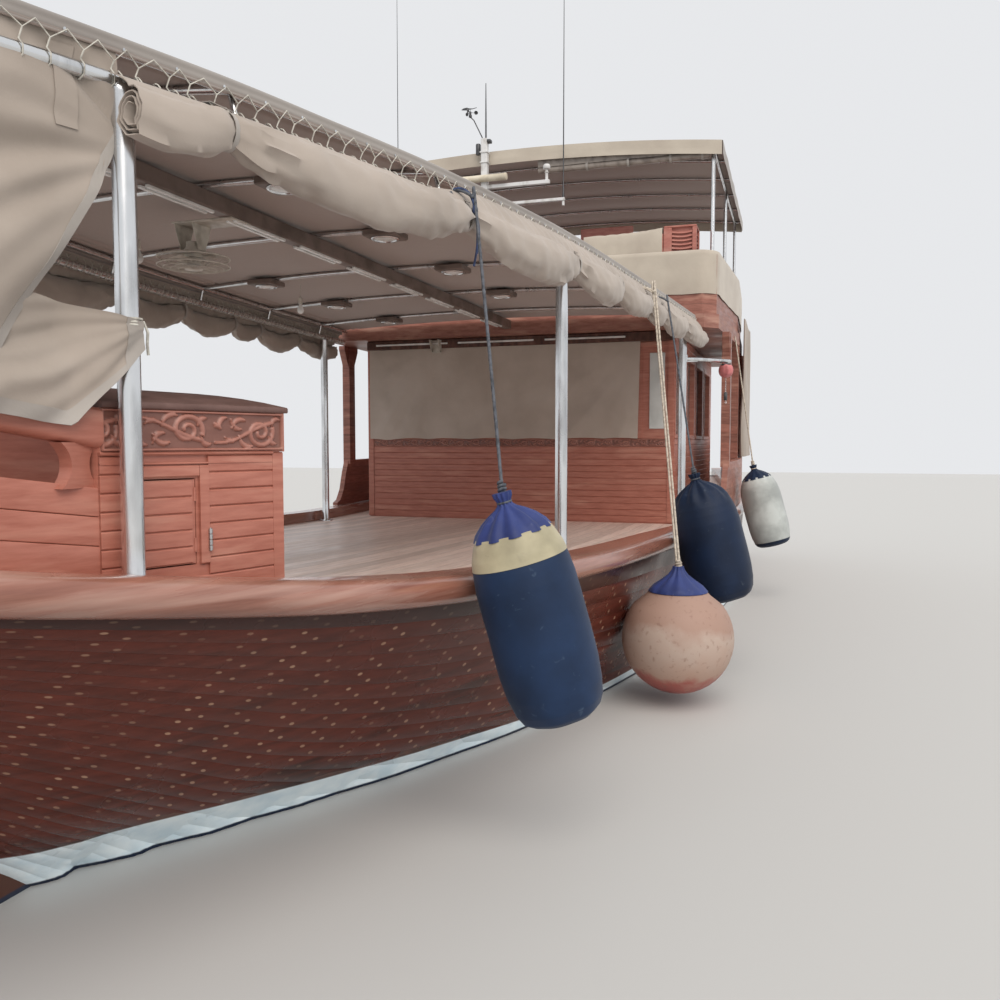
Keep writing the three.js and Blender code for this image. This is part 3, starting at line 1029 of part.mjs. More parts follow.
addPiece('davit_arm', davitSleeve.add(davitPipe), 'steel', davitAxis(DAVIT.armZ));
const hoistX = DAVIT.reach - 70;
const hoistTop = DAVIT.armZ - DAVIT.armRadius * Math.cos(Math.PI / 8) - GAP;
const hoist = join([
  rod(davitPoint(hoistX - 60, DAVIT.armZ - 110), davitPoint(hoistX + 60, DAVIT.armZ - 110), 85, 12),
  rod(davitPoint(hoistX, DAVIT.armZ - 60), davitPoint(hoistX, hoistTop), 30, 8),
  rod(davitPoint(hoistX, DAVIT.armZ - 180), davitPoint(hoistX, DAVIT.armZ - 420), 7, 6),
  rod(davitPoint(hoistX, DAVIT.armZ - 400), davitPoint(hoistX, DAVIT.armZ - 450), 20, 8),
  rod(davitPoint(hoistX + 20, DAVIT.armZ - 440), davitPoint(hoistX - 20, DAVIT.armZ - 500), 10, 6),
]);
addPiece('hoist', hoist, 'orange');

export default group;
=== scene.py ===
# A wooden motor dhow afloat. Metres, +X to the bow, +Y to port, +Z up, the waterline at z = 0.
from math import atan2, ceil, copysign, cos, exp, floor, hypot, pi, radians, sin, sqrt

import bmesh
import bpy
from mathutils import Matrix, Vector, noise
from mathutils.kdtree import KDTree


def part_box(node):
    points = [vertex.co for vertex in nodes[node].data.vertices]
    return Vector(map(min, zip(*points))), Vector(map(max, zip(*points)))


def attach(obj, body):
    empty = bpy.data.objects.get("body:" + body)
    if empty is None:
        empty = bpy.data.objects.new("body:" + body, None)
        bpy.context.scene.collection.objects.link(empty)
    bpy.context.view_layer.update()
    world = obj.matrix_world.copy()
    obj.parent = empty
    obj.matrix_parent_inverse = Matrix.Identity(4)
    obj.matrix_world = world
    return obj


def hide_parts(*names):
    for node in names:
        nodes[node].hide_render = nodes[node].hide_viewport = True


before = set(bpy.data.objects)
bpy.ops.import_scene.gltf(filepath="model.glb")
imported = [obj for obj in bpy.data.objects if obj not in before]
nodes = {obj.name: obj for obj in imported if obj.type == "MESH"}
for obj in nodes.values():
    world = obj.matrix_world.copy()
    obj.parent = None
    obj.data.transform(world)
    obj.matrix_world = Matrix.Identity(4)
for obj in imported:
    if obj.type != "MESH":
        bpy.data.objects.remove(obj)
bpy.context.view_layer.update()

# Camera at eye height off the port bow, looking aft along the side, with the lens and the slight
# downward pitch that fit the posts and rails of the photograph
CAMERA_AT = Vector((9.32, 3.56, 2.15))
CAMERA_HEADING = Vector((-0.9503, -0.3115, 0))
CAMERA_PITCH = radians(-3.62)
camera_data = bpy.data.cameras.new("camera")
camera_data.sensor_width = 36
camera_data.lens = 32.4
camera_data.clip_start = 0.05
camera = bpy.data.objects.new("camera", camera_data)
bpy.context.scene.collection.objects.link(camera)
gaze = CAMERA_HEADING * cos(CAMERA_PITCH) + Vector((0, 0, sin(CAMERA_PITCH)))
camera.location = CAMERA_AT
camera.rotation_mode = "QUATERNION"
camera.rotation_quaternion = gaze.to_track_quat("-Z", "Y")
bpy.context.scene.camera = camera

# Floor: a plain pale ground at the waterline, in hazy daylight from a bright overcast sky
# and a weak, very soft sun off the port bow
FLOOR_HALF = 60


def node_material(name):
    """A material with its tree, its links and its surface shader."""
    material = bpy.data.materials.new(name)
    material.use_nodes = True
    tree = material.node_tree
    return material, tree, tree.nodes["Principled BSDF"]


def wire(tree, node, inputs):
    """Sets each input of a node to a value, or links it to a socket."""
    for key, value in inputs.items():
        if isinstance(value, bpy.types.NodeSocket):
            tree.links.new(value, node.inputs[key])
        else:
            node.inputs[key].default_value = value


floor_mesh = bpy.data.meshes.new("floor")
floor_mesh.from_pydata([(-1, -1, 0), (1, -1, 0), (1, 1, 0), (-1, 1, 0)], [], [(0, 1, 2, 3)])
floor_mesh.transform(Matrix.Scale(FLOOR_HALF, 4))
ground = bpy.data.objects.new("floor", floor_mesh)
bpy.context.scene.collection.objects.link(ground)
floor_paint, floor_tree, floor_shader = node_material("floor_paint")
wire(floor_tree, floor_shader, {"Base Color": (0.52, 0.52, 0.51, 1), "Roughness": 0.7})
floor_mesh.materials.append(floor_paint)

world = bpy.data.worlds.new("sky")
bpy.context.scene.world = world
world.use_nodes = True
wire(world.node_tree, world.node_tree.nodes["Background"], {"Color": (0.80, 0.81, 0.83, 1), "Strength": 1.0})
bpy.context.scene.view_settings.view_transform = "Standard"

SUN_FROM = Vector((0.60, 0.42, 0.80))
sun_data = bpy.data.lights.new("sun", "SUN")
sun_data.energy = 2.2
sun_data.angle = radians(60)
sun_data.color = (1.0, 0.93, 0.85)
sun = bpy.data.objects.new("sun", sun_data)
sun.rotation_mode = "QUATERNION"
sun.rotation_quaternion = (-SUN_FROM).to_track_quat("-Z", "Y")
bpy.context.scene.collection.objects.link(sun)

# Hull planking: carvel strakes of dark varnished hardwood over the frames, fastened with bungs in slanted
# pairs at each frame. White boot top above the waterline, navy bottom paint below it.
STRAKES = 25
STRAKE_PROUD = 0.007
STRAKE_SUNK = 0.012
SEAM = 0.0005
STRAKE_STEP = 0.16  # between the points along a strake
FRAME_PITCH = 0.30  # between the rows of bungs
BUNG_LONG, BUNG_TALL, STRAKE_WIDTH = 0.0155, 0.0125, 0.13
SIDES = ((1, "port"), (-1, "stbd"))


def stations_of(node):
    """The sections of a lofted node: for each place along X, its port side's points from low to high."""
    found = {}
    for vertex in nodes[node].data.vertices:
        if vertex.co.y > -1e-4:
            point = tuple(round(c, 4) for c in vertex.co)
            found.setdefault(round(point[0], 3), set()).add(point)
    return {x: sorted(points, key=lambda p: p[2]) for x, points in found.items()}


def smooth_through(knots, values, x):
    """A smooth curve through values at the knots, read at x, and straight beyond both ends."""
    i = max(0, min(len(knots) - 2, sum(k <= x for k in knots) - 1))
    span = knots[i + 1] - knots[i]

    def slope(a, b):
        return (values[b] - values[a]) / (knots[b] - knots[a])

    start = slope(i - 1, i + 1) if i else slope(0, 1)
    end = slope(i, i + 2) if i + 2 < len(knots) else slope(i, i + 1)
    t = (x - knots[i]) / span
    if t < 0 or t > 1:
        near, tangent = (0, start) if t < 0 else (1, end)
        return values[i + near] + tangent * (x - knots[i + near])
    return (
        (2 * t**3 - 3 * t**2 + 1) * values[i]
        + (t**3 - 2 * t**2 + t) * span * start
        + (3 * t**2 - 2 * t**3) * values[i + 1]
        + (t**3 - t**2) * span * end
    )


hull_sections = []
for x, points in sorted(stations_of("hull").items()):
    rim_z = max(p[2] for p in points)
    outer = [Vector(p) for p in points if p[2] < rim_z - 1e-3 or p[1] == max(q[1] for q in points)]
    if len(outer) > 4 and -8.75 < x < 9.1:
        hull_sections.append(outer)
hull_knots = [section[0].x for section in hull_sections]
GIRTH_ROWS = 2 * STRAKES


def around(section, share):
    """The point at a share of the girth, on a smooth curve through a section's points."""
    reach = [0.0]
    for a, b in zip(section, section[1:]):
        reach.append(reach[-1] + (b - a).length)
    place = share * reach[-1]
    y, z = (smooth_through(reach, [p[axis] for p in section], place) for axis in (1, 2))
    return Vector((section[0].x, y, z))


girth = [[around(section, i / GIRTH_ROWS) for section in hull_sections] for i in range(GIRTH_ROWS + 1)]


def hull_point(x, row):
    """The planking's surface at x along the hull and a row from the keel, 0, to the gunwale."""
    line = girth[row]
    y = smooth_through(hull_knots, [p.y for p in line], x)
    z = smooth_through(hull_knots, [p.z for p in line], x)
    return Vector((x, max(y, 0), z))


def mesh_piece(name, vertices, faces, material, body="root", smooth_angle=35):
    """A mesh object on a body, shaded smooth up to an angle between its faces."""
    mesh = bpy.data.meshes.new(name)
    mesh.from_pydata([tuple(v) for v in vertices], [], faces)
    mesh.validate()
    mesh.materials.append(material)
    mesh.shade_smooth()
    mesh.set_sharp_from_angle(angle=radians(smooth_angle))
    piece = bpy.data.objects.new(name, mesh)
    bpy.context.scene.collection.objects.link(piece)
    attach(piece, body)
    return piece


def band_faces(rings, points, closed=True, caps=True, start=0):
    """Faces that join rings of points, from the vertex number start on."""
    faces = []
    for i in range(rings - 1):
        for j in range(points if closed else points - 1):
            k = (j + 1) % points
            a, b = start + i * points, start + (i + 1) * points
            faces.append((a + j, a + k, b + k, b + j))
    if caps and closed:
        last = start + (rings - 1) * points
        faces.append(tuple(start + j for j in reversed(range(points))))
        faces.append(tuple(last + j for j in range(points)))
    return faces


def add_node(tree, kind, inputs=None, **settings):
    """One shader node, with its settings and its inputs."""
    made = tree.nodes.new("ShaderNode" + kind)
    for key, value in settings.items():
        setattr(made, key, value)
    wire(tree, made, inputs or {})
    return made


def object_place(tree):
    return add_node(tree, "TexCoord").outputs["Object"]


def axis_of(tree, vector, axis):
    return add_node(tree, "SeparateXYZ", {"Vector": vector}).outputs[axis]


def stretched(tree, vector, scale):
    return add_node(tree, "Mapping", {"Vector": vector, "Scale": scale}).outputs[0]


def noise_of(tree, vector, scale, detail, **more):
    """A cloudy share, 0 to 1, that varies over a vector."""
    return add_node(
        tree, "TexNoise", {"Vector": vector, "Scale": scale, "Detail": detail, **more}
    ).outputs["Fac"]


def maths(tree, operation, *values):
    return add_node(tree, "Math", dict(enumerate(values)), operation=operation).outputs[0]


def ranged(tree, value, low=0, high=1, to_low=0, to_high=1):
    """A value carried from one range to another, and held at its ends."""
    return add_node(tree, "MapRange", {0: value, 1: low, 2: high, 3: to_low, 4: to_high}).outputs[0]


def blend(tree, share, below, above):
    """The colour below, with a share of the colour above laid over it."""
    return add_node(tree, "Mix", {"Factor": share, 6: below, 7: above}, data_type="RGBA").outputs[2]


def scaled(tree, colour, share):
    return add_node(tree, "VectorMath", {0: colour, "Scale": share}, operation="SCALE").outputs[0]


def ramp_of(tree, share, *stops):
    """Colours along a share, from stops of (position, colour)."""
    ramp = add_node(tree, "ValToRGB", {"Fac": share})
    elements = ramp.color_ramp.elements
    for i, (position, colour) in enumerate(stops):
        stop = elements[i] if i < 2 else elements.new(position)
        stop.position, stop.color = position, (*colour, 1)
    return ramp.outputs["Color"]


def row_tone(tree, count, low, high):
    """One tone between low and high for each whole number of a count."""
    tone = add_node(tree, "TexWhiteNoise", {"W": maths(tree, "FLOOR", count)}, noise_dimensions="1D")
    return ranged(tree, tone.outputs["Value"], 0, 1, low, high)


def bump_of(tree, height, strength, distance):
    return add_node(tree, "Bump", {"Height": height, "Strength": strength, "Distance": distance}).outputs[0]


BOTTOM_PAINT = (0.012, 0.020, 0.045, 1)


def waterline_paint(tree, above_colour):
    """A socket with the paint added to a hull's colour: a grimy white boot top, and navy below the water."""
    place = object_place(tree)
    height = axis_of(tree, place, "Z")
    boot_top = ranged(tree, axis_of(tree, place, "X"), 2.6, 6.3, 0.085, 0.26)
    under = ranged(tree, maths(tree, "SUBTRACT", height, boot_top), -0.004, 0.004, 1, 0)
    boot = ramp_of(tree, noise_of(tree, place, 6, 8), (0.32, (0.66, 0.80, 0.88)), (0.62, (0.86, 0.96, 1.0)))
    booted = blend(tree, under, above_colour, boot)
    return blend(tree, ranged(tree, height, 0.018, 0.026, 1, 0), booted, BOTTOM_PAINT)


def varnished_planks():
    material, tree, shader = node_material("varnished_planks")
    place = object_place(tree)
    grain = noise_of(tree, stretched(tree, place, (0.7, 5, 12)), 2.4, 9, Roughness=0.62)
    wood = ramp_of(tree, grain, (0.25, (0.074, 0.017, 0.011)), (0.80, (0.145, 0.034, 0.022)))
    # one tone for each strake, from the layer of UVs that numbers them
    strake = add_node(tree, "UVMap", uv_map="strakes").outputs[0]
    count = axis_of(tree, strake, "Y")
    colour = scaled(tree, wood, row_tone(tree, count, 0.94, 1.07))
    # bungs: two ovals in each cell of a frame's pitch and one strake
    cell = maths(tree, "DIVIDE", axis_of(tree, strake, "X"), FRAME_PITCH)
    masks = []
    for across, up in ((0.30, 0.30), (0.62, 0.70)):
        turn = maths(tree, "FRACT", maths(tree, "ADD", cell, 1 - across))
        dx = maths(tree, "MULTIPLY", maths(tree, "SUBTRACT", turn, 0.5), FRAME_PITCH / BUNG_LONG)
        rise = maths(tree, "SUBTRACT", maths(tree, "FRACT", count), up)
        dy = maths(tree, "MULTIPLY", rise, STRAKE_WIDTH / BUNG_TALL)
        both = add_node(tree, "CombineXYZ", {"X": dx, "Y": dy}).outputs[0]
        away = add_node(tree, "VectorMath", {0: both}, operation="LENGTH").outputs["Value"]
        masks.append(ranged(tree, away, 0.8, 1.15, 1, 0))
    fade = noise_of(tree, place, 2.1, 3)
    share = maths(
        tree, "MULTIPLY", maths(tree, "MAXIMUM", *masks), ranged(tree, fade, 0.40, 0.60, 0.10, 0.90)
    )
    colour = blend(tree, share, colour, (0.40, 0.235, 0.155, 1))
    # dark weather streaks along the strakes, more of them low on the side
    stain = noise_of(tree, stretched(tree, place, (0.7, 1.6, 7)), 1.6, 7)
    lower = ranged(tree, axis_of(tree, place, "Z"), 0.35, 1.1, 0.85, 0.35)
    share = maths(tree, "MULTIPLY", ranged(tree, stain, 0.52, 0.72), lower)
    colour = blend(tree, share, colour, (0.022, 0.010, 0.008, 1))
    # painted shadow: the top strake's head is darkened under the gunwale, standing in for the shade the
    # gunwale casts on it
    share = ranged(tree, count, STRAKES - 0.98, STRAKES - 0.90, 0, 0.72)
    colour = blend(tree, share, colour, (0.030, 0.018, 0.017, 1))
    wire(tree, shader, {
        "Base Color": waterline_paint(tree, colour),
        "Roughness": ranged(tree, fade, 0.3, 0.7, 0.20, 0.36),
        "Normal": bump_of(tree, grain, 0.05, 0.003),
        "Specular IOR Level": 0.18, "Coat Weight": 0.06, "Coat Roughness": 0.12,
    })
    return material


hull_varnish = varnished_planks()
PLANK_FORE_X = 9.17
plank_count = round((PLANK_FORE_X + 9.3) / STRAKE_STEP)
plank_xs = [-9.3 + (PLANK_FORE_X + 9.3) * i / plank_count for i in range(plank_count + 1)]
for side, side_name in SIDES:
    vertices, faces, uvs = [], [], []
    for strake in range(STRAKES):
        rings = []
        for x in plank_xs:
            foot, middle, head = (hull_point(x, 2 * strake + i) for i in range(3))
            rise = head - foot
            if rise.length < 4 * SEAM:
                break
            up = rise.normalized()
            out = Vector((0, up.z, -up.y))
            foot, head = foot + up * SEAM / 2, head - up * SEAM / 2
            edge = 3 * SEAM
            ring = [
                foot - out * STRAKE_SUNK, foot + out * (
                    STRAKE_PROUD - edge / 2
                ), foot + up * edge + out * STRAKE_PROUD,
                middle + out * STRAKE_PROUD, head - up * edge + out * STRAKE_PROUD,
                head + out * (STRAKE_PROUD - edge / 2), head - out * STRAKE_SUNK,
            ]
            rings.append([Vector((p.x, side * max(p.y, 0), p.z)) for p in ring])
        start = len(vertices)
        for ring in rings:
            vertices += ring
            uvs += [(ring[0].x, strake + share) for share in (0.01, 0.02, 0.06, 0.5, 0.94, 0.98, 0.99)]
        strip = band_faces(len(rings), 7, start=start)
        faces += [tuple(reversed(f)) for f in strip] if side < 0 else strip
    planking = mesh_piece(f"planking_{side_name}", vertices, faces, hull_varnish, smooth_angle=40)
    layer = planking.data.uv_layers.new(name="strakes")
    for loop in planking.data.loops:
        layer.data[loop.index].uv = uvs[loop.vertex_index]
    shape = bmesh.new()
    shape.from_mesh(planking.data)
    bmesh.ops.bisect_plane(
        shape, geom=shape.verts[:] + shape.edges[:] + shape.faces[:], plane_co=Vector((-8.745, 0, 0)),
        plane_no=Vector((1, 0, 0.18)).normalized(), clear_inner=True,
    )
    bmesh.ops.holes_fill(shape, edges=[e for e in shape.edges if e.is_boundary])
    bmesh.ops.recalc_face_normals(shape, faces=shape.faces[:])
    shape.to_mesh(planking.data)
    shape.free()

# Transom and the hull's inner shell: oiled planks across the stern, painted at the waterline.
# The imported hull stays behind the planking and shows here
HALF_SEAM = 0.003


def dull_timber(name, dark, light, roughness, stretch, planks=None, wear=None):
    """Oiled or weathered wood. stretch scales the grain along X, Y and Z. planks is (axis, pitch) for seams
    drawn every pitch metres along an axis, and wear a paler colour for the scuffed patches."""
    material, tree, shader = node_material(name)
    place = object_place(tree)
    mapped = stretched(tree, place, stretch)
    grain = height = noise_of(tree, mapped, 3.0, 8, Roughness=0.6)
    colour = ramp_of(tree, grain, (0.30, dark), (0.72, light))
    if planks:
        axis, pitch = planks
        count = maths(tree, "DIVIDE", axis_of(tree, place, axis), pitch)
        edge = maths(tree, "ABSOLUTE", maths(tree, "SUBTRACT", maths(tree, "FRACT", count), 0.5))
        seam = ranged(tree, edge, 0.5 - HALF_SEAM / pitch, 0.5, 1, 0.25)
        colour = scaled(tree, colour, maths(tree, "MULTIPLY", row_tone(tree, count, 0.82, 1.15), seam))
        height = maths(tree, "MULTIPLY_ADD", grain, 0.15, seam)
    patches = noise_of(tree, mapped, 1.1, 6)
    if wear:
        colour = blend(tree, ranged(tree, patches, 0.54, 0.72, 0, 0.8), colour, (*wear, 1))
    wire(tree, shader, {
        "Base Color": colour,
        "Roughness": ranged(tree, patches, 0.3, 0.7, roughness * 0.75, min(1, roughness * 1.3)),
        "Normal": bump_of(tree, height, 0.16, 0.002),
    })
    return material


def recolour(material, change):
    """Runs a material's own colour through one more step, change(tree, colour)."""
    tree = material.node_tree
    colour = tree.nodes["Principled BSDF"].inputs["Base Color"]
    tree.links.new(change(tree, colour.links[0].from_socket), colour)
    return material


def finish_node(name, material, bevel=0.0, segments=2):
    """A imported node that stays: its material, and a small rounding of its edges."""
    node = nodes[name]
    node.data.materials.clear()
    node.data.materials.append(material)
    if bevel:
        rounding = node.modifiers.new("edges", "BEVEL")
        rounding.width = bevel
        rounding.segments = segments
        rounding.limit_method = "ANGLE"
        rounding.angle_limit = radians(40)
        rounding.harden_normals = True
    return node


finish_node("hull", recolour(dull_timber(
    "transom_wood", (0.045, 0.014, 0.009), (0.17, 0.055, 0.028), 0.35, (6, 1.5, 12), ("Z", 0.16)
), waterline_paint))

# Backbone: keel, stem and sternpost of heavy timber, bolted together, under bottom paint
# below the water and dark varnish above it
def backbone_paint():
    material, tree, shader = node_material("backbone_paint")
    place = object_place(tree)
    grain = noise_of(tree, place, 7, 7)
    wood = ramp_of(tree, grain, (0, (0.035, 0.012, 0.008)), (1, (0.15, 0.052, 0.028)))
    wet = ranged(tree, axis_of(tree, place, "Z"), 0.02, 0.03, 1, 0)
    wire(tree, shader, {
        "Base Color": blend(tree, wet, wood, BOTTOM_PAINT), "Roughness": 0.45,
        "Normal": bump_of(tree, grain, 0.2, 0.004),
    })
    return material


finish_node("backbone", backbone_paint(), bevel=0.012)

# Rudder: a planked blade under the same bottom paint, hung on iron pins from the sternpost
# and turned from the helm
finish_node("rudder", bpy.data.materials["backbone_paint"], bevel=0.010)


# Propeller: cast bronze, dull from the sea, with greenish patches near the roots of its blades,
# keyed to a shaft that leaves the sternpost
def cast_bronze():
    material, tree, shader = node_material("cast_bronze")
    blotch = noise_of(tree, object_place(tree), 14, 7)
    wire(tree, shader, {
        "Base Color": ramp_of(tree, blotch, (0.36, (0.16, 0.20, 0.13)), (0.58, (0.46, 0.32, 0.13))),
        "Metallic": 0.85, "Roughness": 0.42,
    })
    return material


finish_node("propeller", cast_bronze(), bevel=0.002)

# Gunwales: a heavy bullnosed timber bolted along the head of each side, varnished orange brown
# and pale where ropes have rubbed it
CAP_ROUND = 6
CAP_STEP = 0.2
cap_wood = dull_timber(
    "cap_wood", (0.21, 0.078, 0.052), (0.37, 0.165, 0.118), 0.24, (0.5, 0.9, 8), wear=(0.47, 0.30, 0.245)
)
wire(
    cap_wood.node_tree, cap_wood.node_tree.nodes["Principled BSDF"],
    {"Coat Weight": 0.5, "Coat Roughness": 0.15}
)


def skin(rings):
    """Vertices and faces of a closed bar over rings of points."""
    return [p for ring in rings for p in ring], band_faces(len(rings), len(rings[0]))


cap_rows = []  # for each station of the gunwale: x, inner y, outer y, foot z and top z
for x, points in sorted(stations_of("gunwale_port").items()):
    if len(points) == 6:
        ys, zs = [p[1] for p in points], [p[2] for p in points]
        cap_rows.append((x, min(ys), max(ys), min(zs), max(zs)))
cap_knots = [row[0] for row in cap_rows]
CAP_AFT_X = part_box("gunwale_port")[0].x + 0.02
CAP_FORE_X = cap_knots[-1]
cap_count = round((CAP_FORE_X - CAP_AFT_X) / CAP_STEP)


def cap_ring(x, side):
    inner, outer, foot, top = (
        smooth_through(cap_knots, [row[k] for row in cap_rows], x) for k in (1, 2, 3, 4)
    )
    radius = (top - foot) / 2 - 0.004
    nose = outer - radius
    ring = [(inner, foot), (nose - 0.02, foot)]
    for i in range(CAP_ROUND + 1):
        angle = pi * (i / CAP_ROUND - 0.5)
        ring.append((nose + radius * cos(angle), (foot + top) / 2 + radius * sin(angle)))
    ring += [(nose - 0.02, top), (inner, top)]
    return [Vector((x, side * y, z)) for y, z in ring]


for side, node in ((1, "gunwale_port"), (-1, "gunwale_stbd")):
    points, faces = skin([
        cap_ring(CAP_AFT_X + (CAP_FORE_X - CAP_AFT_X) * i / cap_count, side) for i in range(cap_count + 1)
    ])
    if side < 0:
        faces = [tuple(reversed(f)) for f in faces]
    cap = mesh_piece(f"{node}_timber", points, faces, cap_wood, smooth_angle=50)
    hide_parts(node)

# Main deck: narrow planks laid fore and aft on the beams,
# scuffed and dull from feet, their colour made paler in part as painted sheen
# painted sheen: the planks' colours are raised to stand in for part of the sky's sheen on the deck at a low
# angle
deck_wood = dull_timber(
    "deck_wood", (0.64, 0.48, 0.415), (0.90, 0.745, 0.66), 0.38, (1.2, 14, 4), ("Y", 0.125),
    (0.66, 0.54, 0.46)
)
finish_node("main_deck", deck_wood)

# Taffrail: a timber across the stern over a planked panel, of the same reddish oiled wood
# as the houses
house_wood = dull_timber(
    "house_wood", (0.36, 0.120, 0.082), (0.50, 0.200, 0.145), 0.42, (1.6, 1.6, 12), wear=(0.56, 0.27, 0.20)
)
finish_node("taffrail", house_wood, bevel=0.012)


# Boards: wooden walls are laid up from horizontal boards with eased edges and fine joints,
# nailed to the frame behind
BOARD_EASE = 0.006


def board_rings(path, outward, low, high, thickness):
    """Rings of one board with eased edges along a path of (x, y) points, from height low to high, each a
    number or a function of x."""
    rings = []
    for x, y in path:
        z0 = low(x) if callable(low) else low
        z1 = high(x) if callable(high) else high
        face = Vector((x, y, 0)) + outward * thickness
        ring = [
            (Vector((x, y, 0)), z0), (face - outward * BOARD_EASE, z0), (face, z0 + BOARD_EASE),
            (face, z1 - BOARD_EASE), (face - outward * BOARD_EASE, z1), (Vector((x, y, 0)), z1),
        ]
        rings.append([Vector((p.x, p.y, z)) for p, z in ring])
    return rings


def outward_faces(piece):
    shape = bmesh.new()
    shape.from_mesh(piece.data)
    bmesh.ops.recalc_face_normals(shape, faces=shape.faces[:])
    shape.to_mesh(piece.data)
    shape.free()
    return piece


def lay_boards(name, runs, material, body="root"):
    """One piece made of boards. runs lists (path, outward, low, high, thickness) for each board."""
    vertices, faces = [], []
    for path, outward, low, high, thickness in runs:
        rings = board_rings(path, Vector((*outward, 0)).normalized(), low, high, thickness)
        faces += band_faces(len(rings), 6, start=len(vertices))
        vertices += [p for ring in rings for p in ring]
    piece = outward_faces(mesh_piece(name, vertices, faces, material, body, smooth_angle=25))
    return piece


def rows_between(low, high, pitch):
    """Pairs of heights of boards that fill low to high in even rows of about a pitch, with a fine joint."""
    count = max(1, round((high - low) / pitch))
    step = (high - low) / count
    return [(low + i * step + 0.001, low + (i + 1) * step - 0.001) for i in range(count)]

# Bow house: boards of about 70 mm on a frame, with square stiles at the aft corners
# and a plain trim round the port door
HOUSE_AFT_X, HOUSE_FORE_X = 5.59, 6.45
HOUSE_KNEE_X = 6.0
HOUSE_INSET = 0.46
HOUSE_BAND_Z = 2.11
HOUSE_BOARD = 0.071
BOARD_PROUD = 0.010
HOUSE_DOOR_X = (6.04, 6.30)
HOUSE_DOOR_Z = (1.625, 2.0)
DOOR_TRIM = 0.055


def sheer_y(x):
    """Half breadth at the gunwale, from the outer edge of its timber."""
    return smooth_through(cap_knots, [row[2] for row in cap_rows], x) - 0.045


def deck_z(x):
    return smooth_through(cap_knots, [row[3] for row in cap_rows], x) + 0.031


def house_y(x):
    """The bow house's side walls, straight from corner to knee and from knee to corner."""
    ends = (HOUSE_AFT_X, HOUSE_KNEE_X) if x <= HOUSE_KNEE_X else (HOUSE_KNEE_X, HOUSE_FORE_X)
    ys = [sheer_y(end) - HOUSE_INSET for end in ends]
    return ys[0] + (ys[1] - ys[0]) * (x - ends[0]) / (ends[1] - ends[0])


def side_path(x0, x1, side):
    xs = sorted({x0, x1} | ({HOUSE_KNEE_X} if x0 < HOUSE_KNEE_X < x1 else set()))
    return [(x, side * (house_y(x) + 0.0005)) for x in xs]


finish_node("bow_house_walls", house_wood)
house_runs = []
wall_aft, wall_fore = HOUSE_AFT_X + 0.05, HOUSE_FORE_X - 0.002
for side in (1, -1):
    outward = (0.38, side * 0.92)
    for low, high in rows_between(1.50, HOUSE_BAND_Z - 0.012, HOUSE_BOARD):
        spans = [(wall_aft, wall_fore)]
        if side > 0 and high > HOUSE_DOOR_Z[0] and low < HOUSE_DOOR_Z[1] + DOOR_TRIM:
            spans = [(wall_aft, HOUSE_DOOR_X[0] - DOOR_TRIM), (HOUSE_DOOR_X[1] + DOOR_TRIM, wall_fore)]
        house_runs += [(side_path(x0, x1, side), outward, low, high, BOARD_PROUD) for x0, x1 in spans]
    for low, high, proud in ((HOUSE_BAND_Z - 0.011, HOUSE_BAND_Z + 0.004, 0.020), (2.060, 2.069, 0.0135)):
        house_runs.append((side_path(wall_aft, wall_fore, side), outward, low, high, proud))
    corner = house_y(HOUSE_AFT_X)
    house_runs.append((
        [(HOUSE_AFT_X - 0.012, side * corner), (HOUSE_AFT_X + 0.048, side * (corner - 0.018))], outward,
        1.50, HOUSE_BAND_Z - 0.002, 0.015,
    ))
for low, high in rows_between(1.50, HOUSE_BAND_Z - 0.012, HOUSE_BOARD):
    half = house_y(HOUSE_AFT_X) - 0.03
    aft_path = [(HOUSE_AFT_X - 0.0005, half), (HOUSE_AFT_X - 0.0005, -half)]
    house_runs.append((aft_path, (-1, 0), low, high, BOARD_PROUD))
trim_low, trim_high = HOUSE_DOOR_Z
for x0, x1, low, high in (
    (HOUSE_DOOR_X[0] - DOOR_TRIM, HOUSE_DOOR_X[0] - 0.012, trim_low, trim_high + DOOR_TRIM),
    (HOUSE_DOOR_X[1] + 0.004, HOUSE_DOOR_X[1] + DOOR_TRIM, trim_low, trim_high + DOOR_TRIM),
    (HOUSE_DOOR_X[0] - 0.010, HOUSE_DOOR_X[1] + 0.002, trim_high + 0.006, trim_high + DOOR_TRIM),
):
    house_runs.append((side_path(x0, x1, 1), (0.38, 0.92), low, high, BOARD_PROUD + 0.004))
lay_boards("bow_house_boards", house_runs, house_wood)

# Bow house door: a leaf of short boards in the same wood, hinged at its aft edge,
# that swings with its own body
finish_node("bow_house_door", house_wood)
leaf_runs = [
    (side_path(HOUSE_DOOR_X[0] + 0.022, HOUSE_DOOR_X[1] - 0.008, 1), (0.38, 0.92), low, high, 0.006)
    for low, high in rows_between(HOUSE_DOOR_Z[0] + 0.007, HOUSE_DOOR_Z[1] - 0.007, 0.074)
]
lay_boards("bow_door_boards", leaf_runs, house_wood, "bow_door_body")


# Carved frieze: a running scroll with leaves, cut by hand in relief along bands of the houses
# and up the pillars, oiled, with painted shade in its hollows
FRIEZE_GRID = 0.0045
FRIEZE_CELL = 0.36
FRIEZE_HEIGHT = 0.16
FRIEZE_FACE = 0.0142  # from the wall to the band's ground


